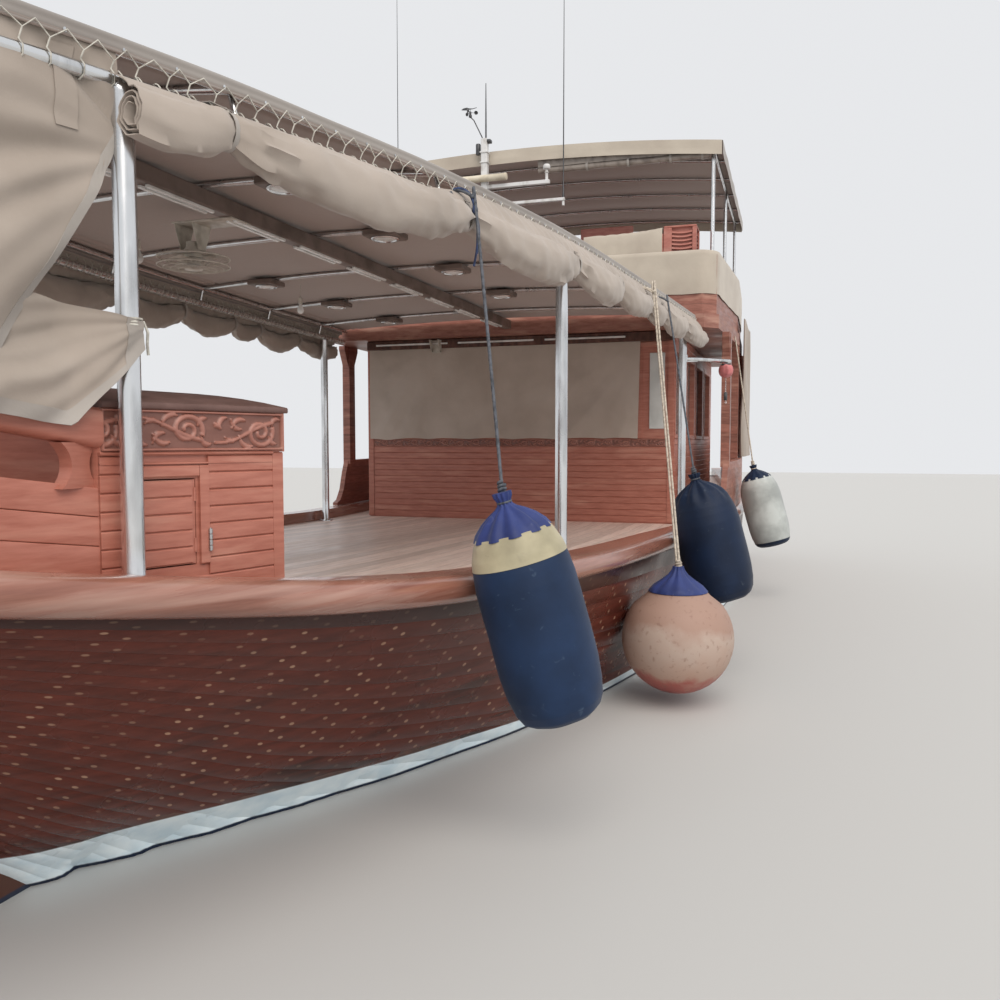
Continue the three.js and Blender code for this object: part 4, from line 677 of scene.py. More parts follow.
def frieze_strokes():
    """Points (u, v, width) of one cell of the scroll: a volute, its stem, and leaves that branch off it."""
    points = []
    steps = 90
    for i in range(steps + 1):
        t = i / steps
        turn = pi * (0.9 + 3.1 * t)
        radius = 0.062 - 0.050 * t
        points.append((0.125 + radius * 1.15 * cos(turn), -0.004 + radius * sin(turn), 0.0085 - 0.003 * t))
    for i in range(60):
        t = i / 59
        points.append((0.06 + 0.30 * t, 0.050 * cos(pi * t) * (1 - 0.35 * t) - 0.015, 0.008 - 0.003 * t))
    for root_u, root_v, heading, curl, length in (
        (0.205, 0.045, 0.4, -5.0, 0.085), (0.225, 0.010, -0.2, 6.0, 0.075), (
            0.255, -0.030, -0.7, 7.0, 0.060
        ),
        (
            0.170, -0.060, -0.3, 5.0, 0.090
        ), (0.300, 0.055, 0.1, -8.0, 0.070), (0.020, 0.050, 0.5, -9.0, 0.060),
        (0.330, 0.010, 0.9, -7.0, 0.060), (0.040, -0.050, -0.2, 8.0, 0.055),
    ):
        u, v, angle = root_u, root_v, heading
        for i in range(24):
            points.append((u, v, 0.0085 * sin(pi * (0.12 + 0.86 * i / 23))))
            u += cos(angle) * length / 23
            v += sin(angle) * length / 23
            angle += curl * length / 23 * 4
    return points


frieze_tree = KDTree(len(frieze_strokes()))
frieze_widths = []
for i, (u, v, width) in enumerate(frieze_strokes()):
    frieze_tree.insert((u, v, 0), i)
    frieze_widths.append(max(width, 0.003))
frieze_tree.balance()


def frieze_relief(u, v):
    """Height of the carving, 0 to 1, at a distance u along the band and v from its middle."""
    cell = floor(u / FRIEZE_CELL)
    flip = -1 if cell % 2 else 1
    found, i, away = frieze_tree.find((u - cell * FRIEZE_CELL, flip * v, 0))
    return sqrt(max(0, 1 - (away / frieze_widths[i] / 1.3) ** 2))


def carved_band(name, path, low, high, relief, material, upright=False):
    """A carved band along a path of (x, y), from height low to high, with a plain border. Its carving stands
    out to the left of the path, and the scroll climbs it where upright is set."""
    corners = [Vector((x, y, 0)) for x, y in path]
    lengths = [(b - a).length for a, b in zip(corners, corners[1:])]
    total, height = sum(lengths), high - low
    columns, rows = round(total / FRIEZE_GRID), round(height / FRIEZE_GRID)
    rises = []
    scale = FRIEZE_HEIGHT / (total if upright else height)
    vertices = []
    for i in range(columns + 1):
        run = total * i / columns
        left, k = run, 0
        while k < len(lengths) - 1 and left > lengths[k]:
            left -= lengths[k]
            k += 1
        heading = (corners[k + 1] - corners[k]).normalized()
        outward = Vector((-heading.y, heading.x, 0))
        at = corners[k] + heading * left
        for j in range(rows + 1):
            v = height * (j / rows - 0.5)
            border = min(run, total - run, height / 2 - abs(v))
            if i in (0, columns) or j in (0, rows):
                rise = 0
            elif border < 0.010:
                rise = relief
            else:
                cut = (run * scale, v * scale)
                if upright:
                    cut = ((v + height) * scale, (run - total / 2) * scale)
                rise = relief * (0.15 + 0.85 * frieze_relief(*cut))
            rises.append(rise / relief)
            vertices.append(at + outward * rise + Vector((0, 0, (low + high) / 2 + v)))
    faces = []
    for i in range(columns):
        for j in range(rows):
            a = i * (rows + 1) + j
            faces.append((a, a + rows + 1, a + rows + 2, a + 1))
    rim = [i * (rows + 1) for i in range(columns + 1)]
    rim += [columns * (rows + 1) + j for j in range(1, rows + 1)]
    rim += [i * (rows + 1) + rows for i in reversed(range(columns))]
    rim += [j for j in reversed(range(1, rows))]
    faces.append(tuple(reversed(rim)))
    band = mesh_piece(name, vertices, faces, material, smooth_angle=50)
    shape = bmesh.new()
    shape.from_mesh(band.data)
    bmesh.ops.triangulate(shape, faces=[f for f in shape.faces if len(f.verts) > 4])
    bmesh.ops.recalc_face_normals(shape, faces=shape.faces[:])
    shape.to_mesh(band.data)
    shape.free()
    layer = band.data.uv_layers.new(name="carving")
    for loop in band.data.loops:
        layer.data[loop.index].uv = (rises[loop.vertex_index], 0)


def painted_hollow_shade(tree, colour):
    """Painted shade: the colour is darkened in the hollows of the carving, by the height kept in its UVs."""
    cut = add_node(tree, "UVMap", uv_map="carving").outputs[0]
    return scaled(tree, colour, ranged(tree, axis_of(tree, cut, "X"), 0.15, 0.60, 0.56, 1.0))


carved_wood = recolour(dull_timber(
    "carved_wood", (0.30, 0.120, 0.090), (0.43, 0.195, 0.150), 0.38, (2, 2, 6), wear=(0.48, 0.245, 0.19)
), painted_hollow_shade)
for side, side_name in SIDES:
    path = [
        (x, side * (house_y(x) + FRIEZE_FACE)) for x in (HOUSE_AFT_X, HOUSE_KNEE_X, HOUSE_FORE_X - 0.002)
    ][::side]
    carved_band(f"bow_frieze_{side_name}", path, HOUSE_BAND_Z + 0.006, 2.288, 0.013, carved_wood)

# Bow house roof: laid plywood painted dark brown, cambered from side to side,
# with a moulded edge that overhangs the walls
ROOF_FOOT, ROOF_EDGE, ROOF_CROWN = 2.2903, 0.026, 0.122
roof_paint = dull_timber("roof_paint", (0.115, 0.060, 0.050), (0.185, 0.105, 0.090), 0.62, (3, 3, 3))


def roof_ring(x):
    half = house_y(max(x, HOUSE_AFT_X)) + 0.03
    ring = [Vector((x, -half + 0.004, ROOF_FOOT)), Vector((x, half - 0.004, ROOF_FOOT))]
    ring += [Vector((x, half, ROOF_FOOT + 0.005)), Vector((x, half, ROOF_FOOT + ROOF_EDGE - 0.006))]
    for i in range(21):
        share = 1 - 2 * i / 20
        rise = (ROOF_CROWN - ROOF_EDGE) * (1 - abs(share) ** 3)
        ring.append(Vector((x, share * (half - 0.004), ROOF_FOOT + ROOF_EDGE + rise)))
    ring += [Vector((x, -half, ROOF_FOOT + ROOF_EDGE - 0.006)), Vector((x, -half, ROOF_FOOT + 0.005))]
    return ring


roof_xs = (5.56, 5.70, 5.85, HOUSE_KNEE_X, 6.15, 6.30, HOUSE_FORE_X)
roof = mesh_piece(
    "bow_house_roof_boards", *skin([roof_ring(x) for x in roof_xs]), roof_paint, smooth_angle=40
)
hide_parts("bow_house_roof")

# Bow bulwarks: four wide boards on a panel, waisted uprights tenoned into it,
# and a heavy rounded rail above them
BULWARK_X = (6.4503, 8.48)
BULWARK_HALF = 0.026
BULWARK_STEPS = 24
PANEL_TOP, PANEL_RISE = 1.975, 0.16
RAIL_FOOT, RAIL_TOP, RAIL_RISE, RAIL_HALF = 2.13, 2.29, 0.20, 0.06
UPRIGHTS, UPRIGHT_PITCH = 5, 0.40
UPRIGHT_WAIST = 0.045  # half width of an upright at its narrowest, and more at its ends


def bulwark_y(x):
    return max(sheer_y(x) - HOUSE_INSET - BULWARK_HALF, 0.0003 + RAIL_HALF)


def rounded_box_ring(x, y, half, foot, top, radius, side):
    ring = []
    for cy, cz, turn in ((half, top, 0), (-half, top, 1), (-half, foot, 2), (half, foot, 3)):
        for i in range(4):
            angle = pi / 2 * (turn + i / 3)
            ring.append(Vector((
                x,
                side * (y + cy - copysign(radius, cy) + radius * cos(angle)),
                cz - (radius if cz == top else -radius) + radius * sin(angle),
            )))
    return ring


def solid_of(parts):
    vertices, faces = [], []
    for more_vertices, more_faces in parts:
        faces += [tuple(len(vertices) + k for k in face) for face in more_faces]
        vertices += more_vertices
    return vertices, faces


bulwark_xs = [
    BULWARK_X[0] + (BULWARK_X[1] - BULWARK_X[0]) * i / BULWARK_STEPS for i in range(BULWARK_STEPS + 1)
]
for side, side_name in SIDES:
    parts = []
    for row in range(4):
        parts.append(skin([rounded_box_ring(
            x, bulwark_y(x), BULWARK_HALF,
            deck_z(x) + 0.001 + (PANEL_TOP + (x - BULWARK_X[0]) * PANEL_RISE - deck_z(x)) * row / 4,
            deck_z(x) - 0.001 + (PANEL_TOP + (x - BULWARK_X[0]) * PANEL_RISE - deck_z(x)) * (row + 1) / 4,
            0.005, side,
        ) for x in bulwark_xs]))
    parts.append(skin([rounded_box_ring(
        x, bulwark_y(x), RAIL_HALF, RAIL_FOOT + (x - BULWARK_X[0]) * RAIL_RISE,
        RAIL_TOP + (x - BULWARK_X[0]) * RAIL_RISE, 0.035, side,
    ) for x in bulwark_xs]))
    for i in range(UPRIGHTS):
        middle = BULWARK_X[0] + 0.065 + i * UPRIGHT_PITCH
        y = bulwark_y(middle)
        low = PANEL_TOP + (middle - BULWARK_X[0]) * PANEL_RISE - 0.01
        high = RAIL_FOOT + (middle - BULWARK_X[0]) * RAIL_RISE + 0.01
        rings = []
        for k in range(9):
            share = k / 8
            width = UPRIGHT_WAIST + 0.05 * abs(2 * share - 1) ** 2.2
            z = low + (high - low) * share
            rings.append([
                Vector((middle + dx * width, side * (y + dy * 0.03), z))
                for dx, dy in ((-1, -1), (1, -1), (1, 1), (-1, 1))
            ])
        parts.append(skin(rings))
    bulwark = outward_faces(
        mesh_piece(f"bow_bulwark_{side_name}_timber", *solid_of(parts), house_wood, smooth_angle=30)
    )
    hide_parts(f"bow_bulwark_{side_name}")

# Mooring bitts: two square posts of dark oiled wood through the fore deck,
# joined by a crossbar
dark_wood = dull_timber(
    "dark_wood", (0.035, 0.014, 0.010), (0.13, 0.052, 0.034), 0.45, (6, 6, 2), wear=(0.22, 0.11, 0.08)
)
finish_node("mooring_bitts", dark_wood, bevel=0.015, segments=3)

# Awning frame: bright welded pipe, polished, with flanged posts bolted to the deck,
# short standoffs between the two rails, and cambered ribs across
RAIL_Z, EDGE_PIPE_Z = 3.53, 3.67
RAIL_INSET, EDGE_PIPE_INSET = 0.36, 0.40
RAIL_RADIUS, EDGE_PIPE_RADIUS, POST_RADIUS, RIB_RADIUS = 0.030, 0.024, 0.045, 0.020
AWNING_AFT_X, AWNING_FORE_X = -1.86, 7.30
AWNING_CAMBER = 0.070
POST_XS = (6.40, 2.88, -1.22)
RIB_XS = (7.26, 5.90, 4.50, 3.10, 1.70, 0.30, -1.06)
STEEL = (0.74, 0.75, 0.76)


UP, DOWN = (0, 0, 1), (0, 0, -1)


def turns(count, steps=None):
    """Angles round a circle in count steps, with the first angle again at the end."""
    return [2 * pi * k / count for k in range((steps or count) + 1)]


def ring_round(middle, across, other, sides=16, radius=1):
    """A ring of points round a middle, in the plane of two directions."""
    return [middle + (across * cos(turn) + other * sin(turn)) * radius for turn in turns(sides)[:-1]]


def heading_at(points, i):
    """A line's direction at its point i."""
    return (points[min(i + 1, len(points) - 1)] - points[max(i - 1, 0)]).normalized()


def tube(points, radius, sides=16):
    """Vertices and faces of a round bar along points. radius is a number or a list, one for each point."""
    radii = radius if isinstance(radius, (list, tuple)) else [radius] * len(points)
    rings = []
    across = None
    for i, point in enumerate(points):
        heading = heading_at(points, i)
        across = across or heading.orthogonal().normalized()
        across = (across - heading * across.dot(heading)).normalized()
        rings.append(ring_round(point, across, heading.cross(across), sides, radii[i]))
    return skin(rings)


def turned(profile, foot, heading=(0, 0, 1), sides=32):
    """Vertices and faces of a turned piece, from (distance along the axis, radius) pairs."""
    heading = Vector(heading).normalized()
    across = heading.orthogonal().normalized()
    other = heading.cross(across)
    return skin(
        [
            ring_round(Vector(foot) + heading * far, across, other, sides, max(radius, 1e-4))
            for far, radius in profile
        ]
    )


def eased_box(low, high, ease):
    """Vertices and faces of a box whose upright edges and top are eased."""
    (x0, y0, z0), (x1, y1, z1) = low, high
    rings = []
    for z, inset in ((z0, ease), (z0 + ease, 0), (z1 - ease, 0), (z1, ease)):
        a, b, c, d = x0 + inset, x1 - inset, y0 + inset, y1 - inset
        rings.append([
            Vector((x, y, z)) for x, y in (
                (a + ease, c), (b - ease, c), (b, c + ease), (b, d - ease),
                (b - ease, d), (a + ease, d), (a, d - ease), (a, c + ease),
            )
        ])
    return skin(rings)


def polished_steel():
    material, tree, shader = node_material("steel")
    cloud = noise_of(tree, stretched(tree, object_place(tree), (3, 3, 0.7)), 4, 8)
    wire(tree, shader, {
        "Base Color": ramp_of(tree, cloud, (0.28, [c * 0.62 for c in STEEL]), (0.55, STEEL)),
        "Roughness": ranged(tree, cloud, 0, 1, 0.384, 0.08), "Metallic": 1.0,
    })
    return material


steel = polished_steel()


def rail_y(x, inset=RAIL_INSET):
    return sheer_y(x) - inset


def rib_z(x, y):
    return EDGE_PIPE_Z + AWNING_CAMBER * (1 - min(1, abs(y) / rail_y(x, EDGE_PIPE_INSET)) ** 2)


def even_xs(x0, x1, step):
    count = max(1, round(abs(x1 - x0) / step))
    return [x0 + (x1 - x0) * i / count for i in range(count + 1)]


frame_parts = []
for side in (1, -1):
    for inset, z, radius in (
        (RAIL_INSET, RAIL_Z, RAIL_RADIUS), (EDGE_PIPE_INSET, EDGE_PIPE_Z, EDGE_PIPE_RADIUS)
    ):
        run = [Vector((x, side * rail_y(x, inset), z)) for x in even_xs(AWNING_AFT_X, AWNING_FORE_X, 0.3)]
        frame_parts.append(tube(run, radius))
    for x in RIB_XS:
        foot = Vector((x, side * rail_y(x), RAIL_Z))
        head = Vector((x, side * rail_y(x, EDGE_PIPE_INSET), EDGE_PIPE_Z))
        frame_parts.append(tube([foot, head], 0.013, 12))
    for x in POST_XS:
        foot = Vector((x, side * rail_y(x), deck_z(x) - 0.001))
        post = [(0, 0.085), (0.010, 0.085), (0.014, 0.081), (0.014, 0.056), (0.030, POST_RADIUS + 0.001)]
        height = RAIL_Z - foot.z
        post += [(height * k / 8, POST_RADIUS) for k in range(1, 8)]
        post += [
            (height - 0.045, POST_RADIUS), (height - 0.030, POST_RADIUS + 0.004),
            (height - 0.012, POST_RADIUS - 0.004)
        ]
        frame_parts.append(turned(post, foot, UP, 36))
        for bolt in range(4):
            turn = pi / 4 + bolt * pi / 2
            at = foot + Vector((0.069 * cos(turn), 0.069 * sin(turn), 0.012))
            frame_parts.append(turned([(0, 0.010), (0.006, 0.010), (0.009, 0.007)], at, UP, 6))
for x in RIB_XS:
    half = rail_y(x, EDGE_PIPE_INSET)
    run = [Vector((x, half * (k / 10 - 1), rib_z(x, half * (k / 10 - 1)))) for k in range(21)]
    frame_parts.append(tube(run, RIB_RADIUS, 14))
pipes = mesh_piece("awning_pipes", *solid_of(frame_parts), steel, smooth_angle=45)
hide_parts("awning_frame")

# Ridge beam: a taupe painted box section fixed under the ribs along the middle,
# with pairs of light battens screwed to its foot
RIDGE_HALF, RIDGE_FOOT, RIDGE_TOP = 0.050, 3.620, 3.728
BATTEN_LENGTH = 0.62


def grimy_paint(name, clean, grime, roughness=0.45, scale=5.0):
    """Paint, rope or plastic with dirt in soft patches."""
    material, tree, shader = node_material(name)
    cloud = noise_of(tree, object_place(tree), scale, 9)
    wire(tree, shader, {
        "Base Color": ramp_of(tree, cloud, (0.34, grime), (0.56, clean)),
        "Roughness": ranged(tree, cloud, 0, 1, min(1, roughness * 1.5), roughness * 0.7),
        "Normal": bump_of(tree, cloud, 0.08, 0.002),
    })
    return material


white_paint = grimy_paint("white_paint", (0.62, 0.60, 0.55), (0.40, 0.37, 0.32))
taupe_paint = grimy_paint("taupe_paint", (0.19, 0.145, 0.125), (0.12, 0.09, 0.075))
lamp_glass = grimy_paint("lamp_glass", (0.86, 0.87, 0.86), (0.66, 0.66, 0.63), 0.2)
beam = mesh_piece("ridge_beam", *solid_of([
    eased_box((AWNING_AFT_X, -RIDGE_HALF, RIDGE_FOOT), (AWNING_FORE_X, RIDGE_HALF, RIDGE_TOP), 0.008)
]), taupe_paint)
batten_parts = []
batten_x = AWNING_AFT_X + 0.35
while batten_x + BATTEN_LENGTH < AWNING_FORE_X - 0.2:
    for y in (-0.026, 0.026):
        batten_parts.append(eased_box(
            (batten_x, y - 0.012, RIDGE_FOOT - 0.019),
            (batten_x + BATTEN_LENGTH, y + 0.012, RIDGE_FOOT + 0.001), 0.004
        ))
    batten_x += BATTEN_LENGTH + 0.22
mesh_piece("ridge_battens", *solid_of(batten_parts), lamp_glass)

# Awning lamps: square painted housings fixed between the ribs,
# each with a round lens in a bright pressed ring
LAMPS = (
    (4.5, 0.62), (3.1, 0.62), (1.7, 0.62), (0.3, 0.62),
    (4.5, -1.15), (1.7, -1.30), (0.3, -1.30), (-1.06, -1.30)
)
LAMP_HALF, LAMP_DEPTH = 0.130, 0.050
housing_parts, ring_parts, lens_parts = [], [], []
for x, y in LAMPS:
    top = rib_z(x, y) - RIB_RADIUS + 0.012
    foot = top - LAMP_DEPTH
    housing_parts.append(
        eased_box((x - LAMP_HALF, y - LAMP_HALF, foot), (x + LAMP_HALF, y + LAMP_HALF, top), 0.008)
    )
    ring_profile = [(0, 0.104), (0.006, 0.106), (0.013, 0.100), (0.013, 0.088), (0.004, 0.084)]
    ring_parts.append(turned(ring_profile, (x, y, foot + 0.001), DOWN, 40))
    lens_profile = [(0, 0.084), (0.006, 0.080), (0.012, 0.058), (0.015, 0.030), (0.016, 0.001)]
    lens_parts.append(turned(lens_profile, (x, y, foot + 0.001), DOWN, 40))
mesh_piece("lamp_housings", *solid_of(housing_parts), taupe_paint)
mesh_piece("lamp_rings", *solid_of(ring_parts), steel, smooth_angle=50)
mesh_piece("lamp_lenses", *solid_of(lens_parts), lamp_glass, smooth_angle=50)

# Awning canvas: a beige woven sheet with soft stains stretched over the ribs, darkened outside as painted
# shade and given painted shade beneath, pleated beside its hem and laced to the lower rail with white rope
CLOTH = 0.004


def woven_canvas(name, unstained, stained, underside_shade=None):
    """Canvas with a weave and soft stains, and, where a third colour is given, that colour painted on its
    underside as painted shade.
    """
    material, tree, shader = node_material(name)
    place = object_place(tree)
    colour = ramp_of(tree, noise_of(tree, place, 1.7, 10), (0.33, stained), (0.60, unstained))
    # painted shade: faces that look downward take the underside colour in place of the cloth's own
    if underside_shade:
        facing = add_node(tree, "NewGeometry").outputs["True Normal"]
        colour = blend(
            tree, ranged(tree, axis_of(tree, facing, "Z"), -0.5, -0.2, 1, 0), colour, (*underside_shade, 1)
        )
    creases = noise_of(tree, place, 9, 6, Distortion=1.2)
    height = maths(tree, "MULTIPLY_ADD", noise_of(tree, place, 260, 2), 0.15, creases)
    wire(tree, shader, {
        "Base Color": colour, "Roughness": 0.85, "Sheen Weight": 0.25,
        "Normal": bump_of(tree, height, 0.35, 0.006),
    })
    return material


def cloth_piece(name, grid, material, body="root", thickness=CLOTH, smooth_angle=70):
    """A thin closed sheet over a grid of points, thickened along its normals."""
    rows, columns = len(grid), len(grid[0])
    upper, lower = [], []
    for i in range(rows):
        for j in range(columns):
            du = grid[min(i + 1, rows - 1)][j] - grid[max(i - 1, 0)][j]
            dv = grid[i][min(j + 1, columns - 1)] - grid[i][max(j - 1, 0)]
            normal = du.cross(dv)
            normal = normal.normalized() if normal.length > 1e-9 else Vector((0, 0, 1))
            upper.append(grid[i][j] + normal * thickness / 2)
            lower.append(grid[i][j] - normal * thickness / 2)
    count = rows * columns
    faces = []
    for i in range(rows - 1):
        for j in range(columns - 1):
            a = i * columns + j
            faces.append((a, a + columns, a + columns + 1, a + 1))
            faces.append((count + a, count + a + 1, count + a + columns + 1, count + a + columns))
    rim = [j for j in range(columns)] + [i * columns + columns - 1 for i in range(1, rows)]
    rim += [(rows - 1) * columns + j for j in reversed(range(columns - 1))]
    rim += [i * columns for i in reversed(range(1, rows - 1))]
    faces += [(a, b, count + b, count + a) for a, b in zip(rim, rim[1:] + rim[:1])]
    return outward_faces(mesh_piece(name, upper + lower, faces, material, body, smooth_angle))


# painted shade: the outer colours are darkened for the shade on the awning's top and hem; the third is
# painted underside shade
awning_cloth = woven_canvas("awning_cloth", (0.27, 0.245, 0.225), (0.21, 0.188, 0.172), (0.36, 0.285, 0.25))
CANVAS_SAG = 0.016
CANVAS_ROWS = 20
EDGE_PLEATS = 0.26  # the slack beside each hem lies in pleats that run along it
PLEAT_PITCH = 0.085
HEM_FALL = 0.062  # how far the sheet's edge hangs down outside the edge pipe


def flutter(x, y, z):
    """A soft wander between -1 and 1 over three coordinates, the same in each run."""
    return noise.noise(Vector((x, y, z)))


def canvas_z(x, y):
    """The sheet's height: over the ribs, sagging a little between them, and down to its hem."""
    ordered = sorted(RIB_XS)
    gaps = [(a, b) for a, b in zip(ordered, ordered[1:]) if a <= x <= b]
    share = (x - gaps[0][0]) / (gaps[0][1] - gaps[0][0]) if gaps else 0
    sag = CANVAS_SAG * sin(pi * share) ** 2
    half = rail_y(x, EDGE_PIPE_INSET)
    over = rib_z(x, y) + RIB_RADIUS + 0.004
    lowest = EDGE_PIPE_Z + EDGE_PIPE_RADIUS + 0.003
    return max(lowest, over - sag * (1 - (min(abs(y), half) / half) ** 4)) if abs(y) < half else lowest


def pleat_rise(x, inboard):
    """How far the canvas stands above its frame at a distance inboard of the hem."""
    if inboard > EDGE_PLEATS:
        return 0
    wander = 0.35 * flutter(x * 0.9, 3.1, 0)
    wave = 0.5 - 0.5 * cos(2 * pi * (inboard / PLEAT_PITCH + wander))
    fade = min(1, inboard / 0.02) * min(1, (EDGE_PLEATS - inboard) / 0.05)
    return fade * wave * (0.013 + 0.006 * flutter(x * 1.7, inboard * 9, 0))


canvas_grid = []
for x in even_xs(AWNING_AFT_X, AWNING_FORE_X, 0.1):
    hem = rail_y(x) + 0.006
    side_rows = even_xs(0, EDGE_PLEATS, 0.012)
    middle_half = hem - EDGE_PLEATS
    ys = [inboard - hem for inboard in side_rows]
    ys += [middle_half * (2 * j / CANVAS_ROWS - 1) for j in range(1, CANVAS_ROWS)]
    ys += [hem - inboard for inboard in reversed(side_rows)]
    rows = [Vector((x, y, canvas_z(x, y) + pleat_rise(x, hem - abs(y)))) for y in ys]
    for side, edge in ((-1, rows[0]), (1, rows[-1])):
        fall = []
        for k in range(1, 9):
            drop = k / 8
            ripple = 0.0035 * sin(3 * pi * drop + 1.5 * flutter(x * 1.2, side, 0))
            bulge = 0.016 * sin(0.5 * pi * min(1, 1.6 * drop)) + ripple
            fall.append(edge + Vector((0, side * bulge, -HEM_FALL * drop)))
        rows = list(reversed(fall)) + rows if side < 0 else rows + fall
    canvas_grid.append(rows)
awning_sheet = cloth_piece("awning_sheet", canvas_grid, awning_cloth)
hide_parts("awning_canvas")
edge_parts, lacing_parts, eyelet_parts = [], [], []
LACE_PITCH = 0.105
LACE_RADIUS = 0.0032
for side in (1, -1):
    run = [
        Vector(
            (x, side * (rail_y(x) + 0.022), EDGE_PIPE_Z + EDGE_PIPE_RADIUS - HEM_FALL + 0.002 * sin(9 * x))
        )
        for x in even_xs(AWNING_AFT_X + 0.01, AWNING_FORE_X - 0.01, 0.1)
    ]
    edge_parts.append(tube(run, 0.0065, 8))
    stops = even_xs(AWNING_AFT_X + 0.05, AWNING_FORE_X - 0.05, LACE_PITCH)
    zigzag = []
    for i, (x0, x1) in enumerate(zip(stops, stops[1:])):
        high, low = EDGE_PIPE_Z - 0.026, RAIL_Z + RAIL_RADIUS + 0.034 + 0.006 * sin(5.3 * i)
        x = (x0 + x1) / 2 + 0.010 * sin(3.7 * i)
        valley = Vector((x, side * (rail_y(x) + 0.037), low))
        zigzag += [Vector((x0, side * (rail_y(x0) + 0.036), high)), valley]
        lacing_parts.append(tube([valley] + [
            Vector((x + 0.006 * turn, side * (rail_y(x) + 0.041 * cos(turn)), RAIL_Z + 0.038 * sin(turn)))
            for turn in (0.9, 0.2, -0.6, -1.4, -2.2, -3.0)
        ], LACE_RADIUS, 6))
        if i % 2 == 0:
            eyelet_parts.append(turned(
                [(0, 0.009), (0.003, 0.010), (0.004, 0.006)],
                (x0, side * (rail_y(x0) + 0.024), high), (0, side, 0), 14,
            ))
    lacing_parts.append(tube(zigzag, LACE_RADIUS, 6))
canvas_hem = mesh_piece("awning_hem", *solid_of(edge_parts), awning_cloth, smooth_angle=70)
white_rope = grimy_paint("white_rope", (0.60, 0.58, 0.52), (0.36, 0.34, 0.30), 0.8, 40)
mesh_piece("awning_lacing", *solid_of(lacing_parts), white_rope, smooth_angle=60)
eyelets = mesh_piece("awning_eyelets", *solid_of(eyelet_parts), steel, smooth_angle=60)

# Side curtains: long canvas walls rolled up outside the rails, cinched by webbing ties
# and slack between them, creased from hanging rolled
CURTAIN_X = (-1.80, 6.47)
CURTAIN_TIES = (6.62, 6.05, 4.42, 2.90, 1.86, 0.90, 0.34, -0.66, -2.0)
CURTAIN_SAGS = (0.55, 1.12, 1.15, 0.95, 0.85, 0.6, 0.85, 0.7)
ROLL_TURNS, ROLL_PITCH, ROLL_CORE = 3, 0.0175, 0.034
ROLL_DROP = 0.030
ROLL_TALL = 1.45  # height of a roll against its width
POINTS_A_TURN = 20
curtain_cloth = woven_canvas("curtain_cloth", (0.39, 0.335, 0.29), (0.31, 0.262, 0.222))


def roll_at(x):
    """How near the middle of a span between ties a place on the roll is, and its swell there."""
    for (fore, aft), deep in zip(zip(CURTAIN_TIES, CURTAIN_TIES[1:]), CURTAIN_SAGS):
        if aft <= x <= fore:
            middle = sin(pi * (fore - x) / (fore - aft))
            return middle, 0.50 + 0.56 * deep * middle ** 0.62
    return 0, 0.5


for side, side_name in SIDES:
    grid = []
    for x in even_xs(*CURTAIN_X, 0.02):
        middle, swell = roll_at(x)
        swell *= 1 + 0.10 * flutter(x * 1.1, side, 0)
        outer = (ROLL_CORE + ROLL_PITCH * ROLL_TURNS) * swell
        y = rail_y(x) + POST_RADIUS + 0.012 + outer * 0.95
        z = RAIL_Z - ROLL_DROP - ROLL_TALL * outer - 0.025 * middle
        row = []
        for k in range(round(ROLL_TURNS * POINTS_A_TURN) + 1):
            turn = 2 * pi * k / POINTS_A_TURN
            radius = (ROLL_CORE + ROLL_PITCH * turn / (2 * pi)) * swell
            along_x, across_y, across_z = x * 2.6 + side * 9, cos(turn), sin(turn)
            fold = flutter(along_x, across_y * 1.8, across_z * 1.8)
            pleat = flutter(along_x * 1.5, across_y * 6.5, across_z * 6.5)
            crimp = flutter(x * 13.0 - 1.6 * across_y, across_y * 1.5 + side * 5, across_z * 1.5)
            pinch = (1 - middle) ** 1.5
            radius *= 1 + 0.20 * fold + (0.12 + 0.40 * pinch) * pleat + 0.24 * crimp * (0.5 + pinch)
            row.append(Vector((
                x, side * (y - radius * sin(turn)), z + ROLL_TALL * radius * cos(turn),
            )))
        last = row[-1]
        lifted = min(1, max(0, (4.7 - x) / 0.5))  # aft of the strap it is hung from the awning's edge
        top = Vector(
            (x, side * (rail_y(x) + RAIL_RADIUS + 0.006 - 0.010 * lifted), RAIL_Z + 0.012 + 0.088 * lifted)
        )
        for share in (0.25, 0.5, 0.75, 1.0):
            gathers = 0.007 * sin(x * 58 + 2 * sin(x * 9)) * sin(pi * share)
            row.append(last.lerp(top, share) + Vector((0, side * (0.016 * sin(pi * share) + gathers), 0)))
        grid.append(row)
    curtain = cloth_piece(f"curtain_{side_name}", grid, curtain_cloth)
    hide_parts(f"side_curtain_{side_name}")

# Curtain ties: flat woven webbing looped over the rail and round each roll,
# pulled tight so that it pinches the canvas
TIE_WIDTH, TIE_THICK = 0.028, 0.003


def webbing_loop(line, outs, half_width, half_thick):
    """Vertices and faces of flat webbing along a line, with its outward direction at each point."""
    return skin([
        [
            point + half_width * across + out * half_thick * face
            for across, face in ((-1, -1), (1, -1), (1, 1), (-1, 1))
        ]
        for point, out in zip(line, outs)
    ])


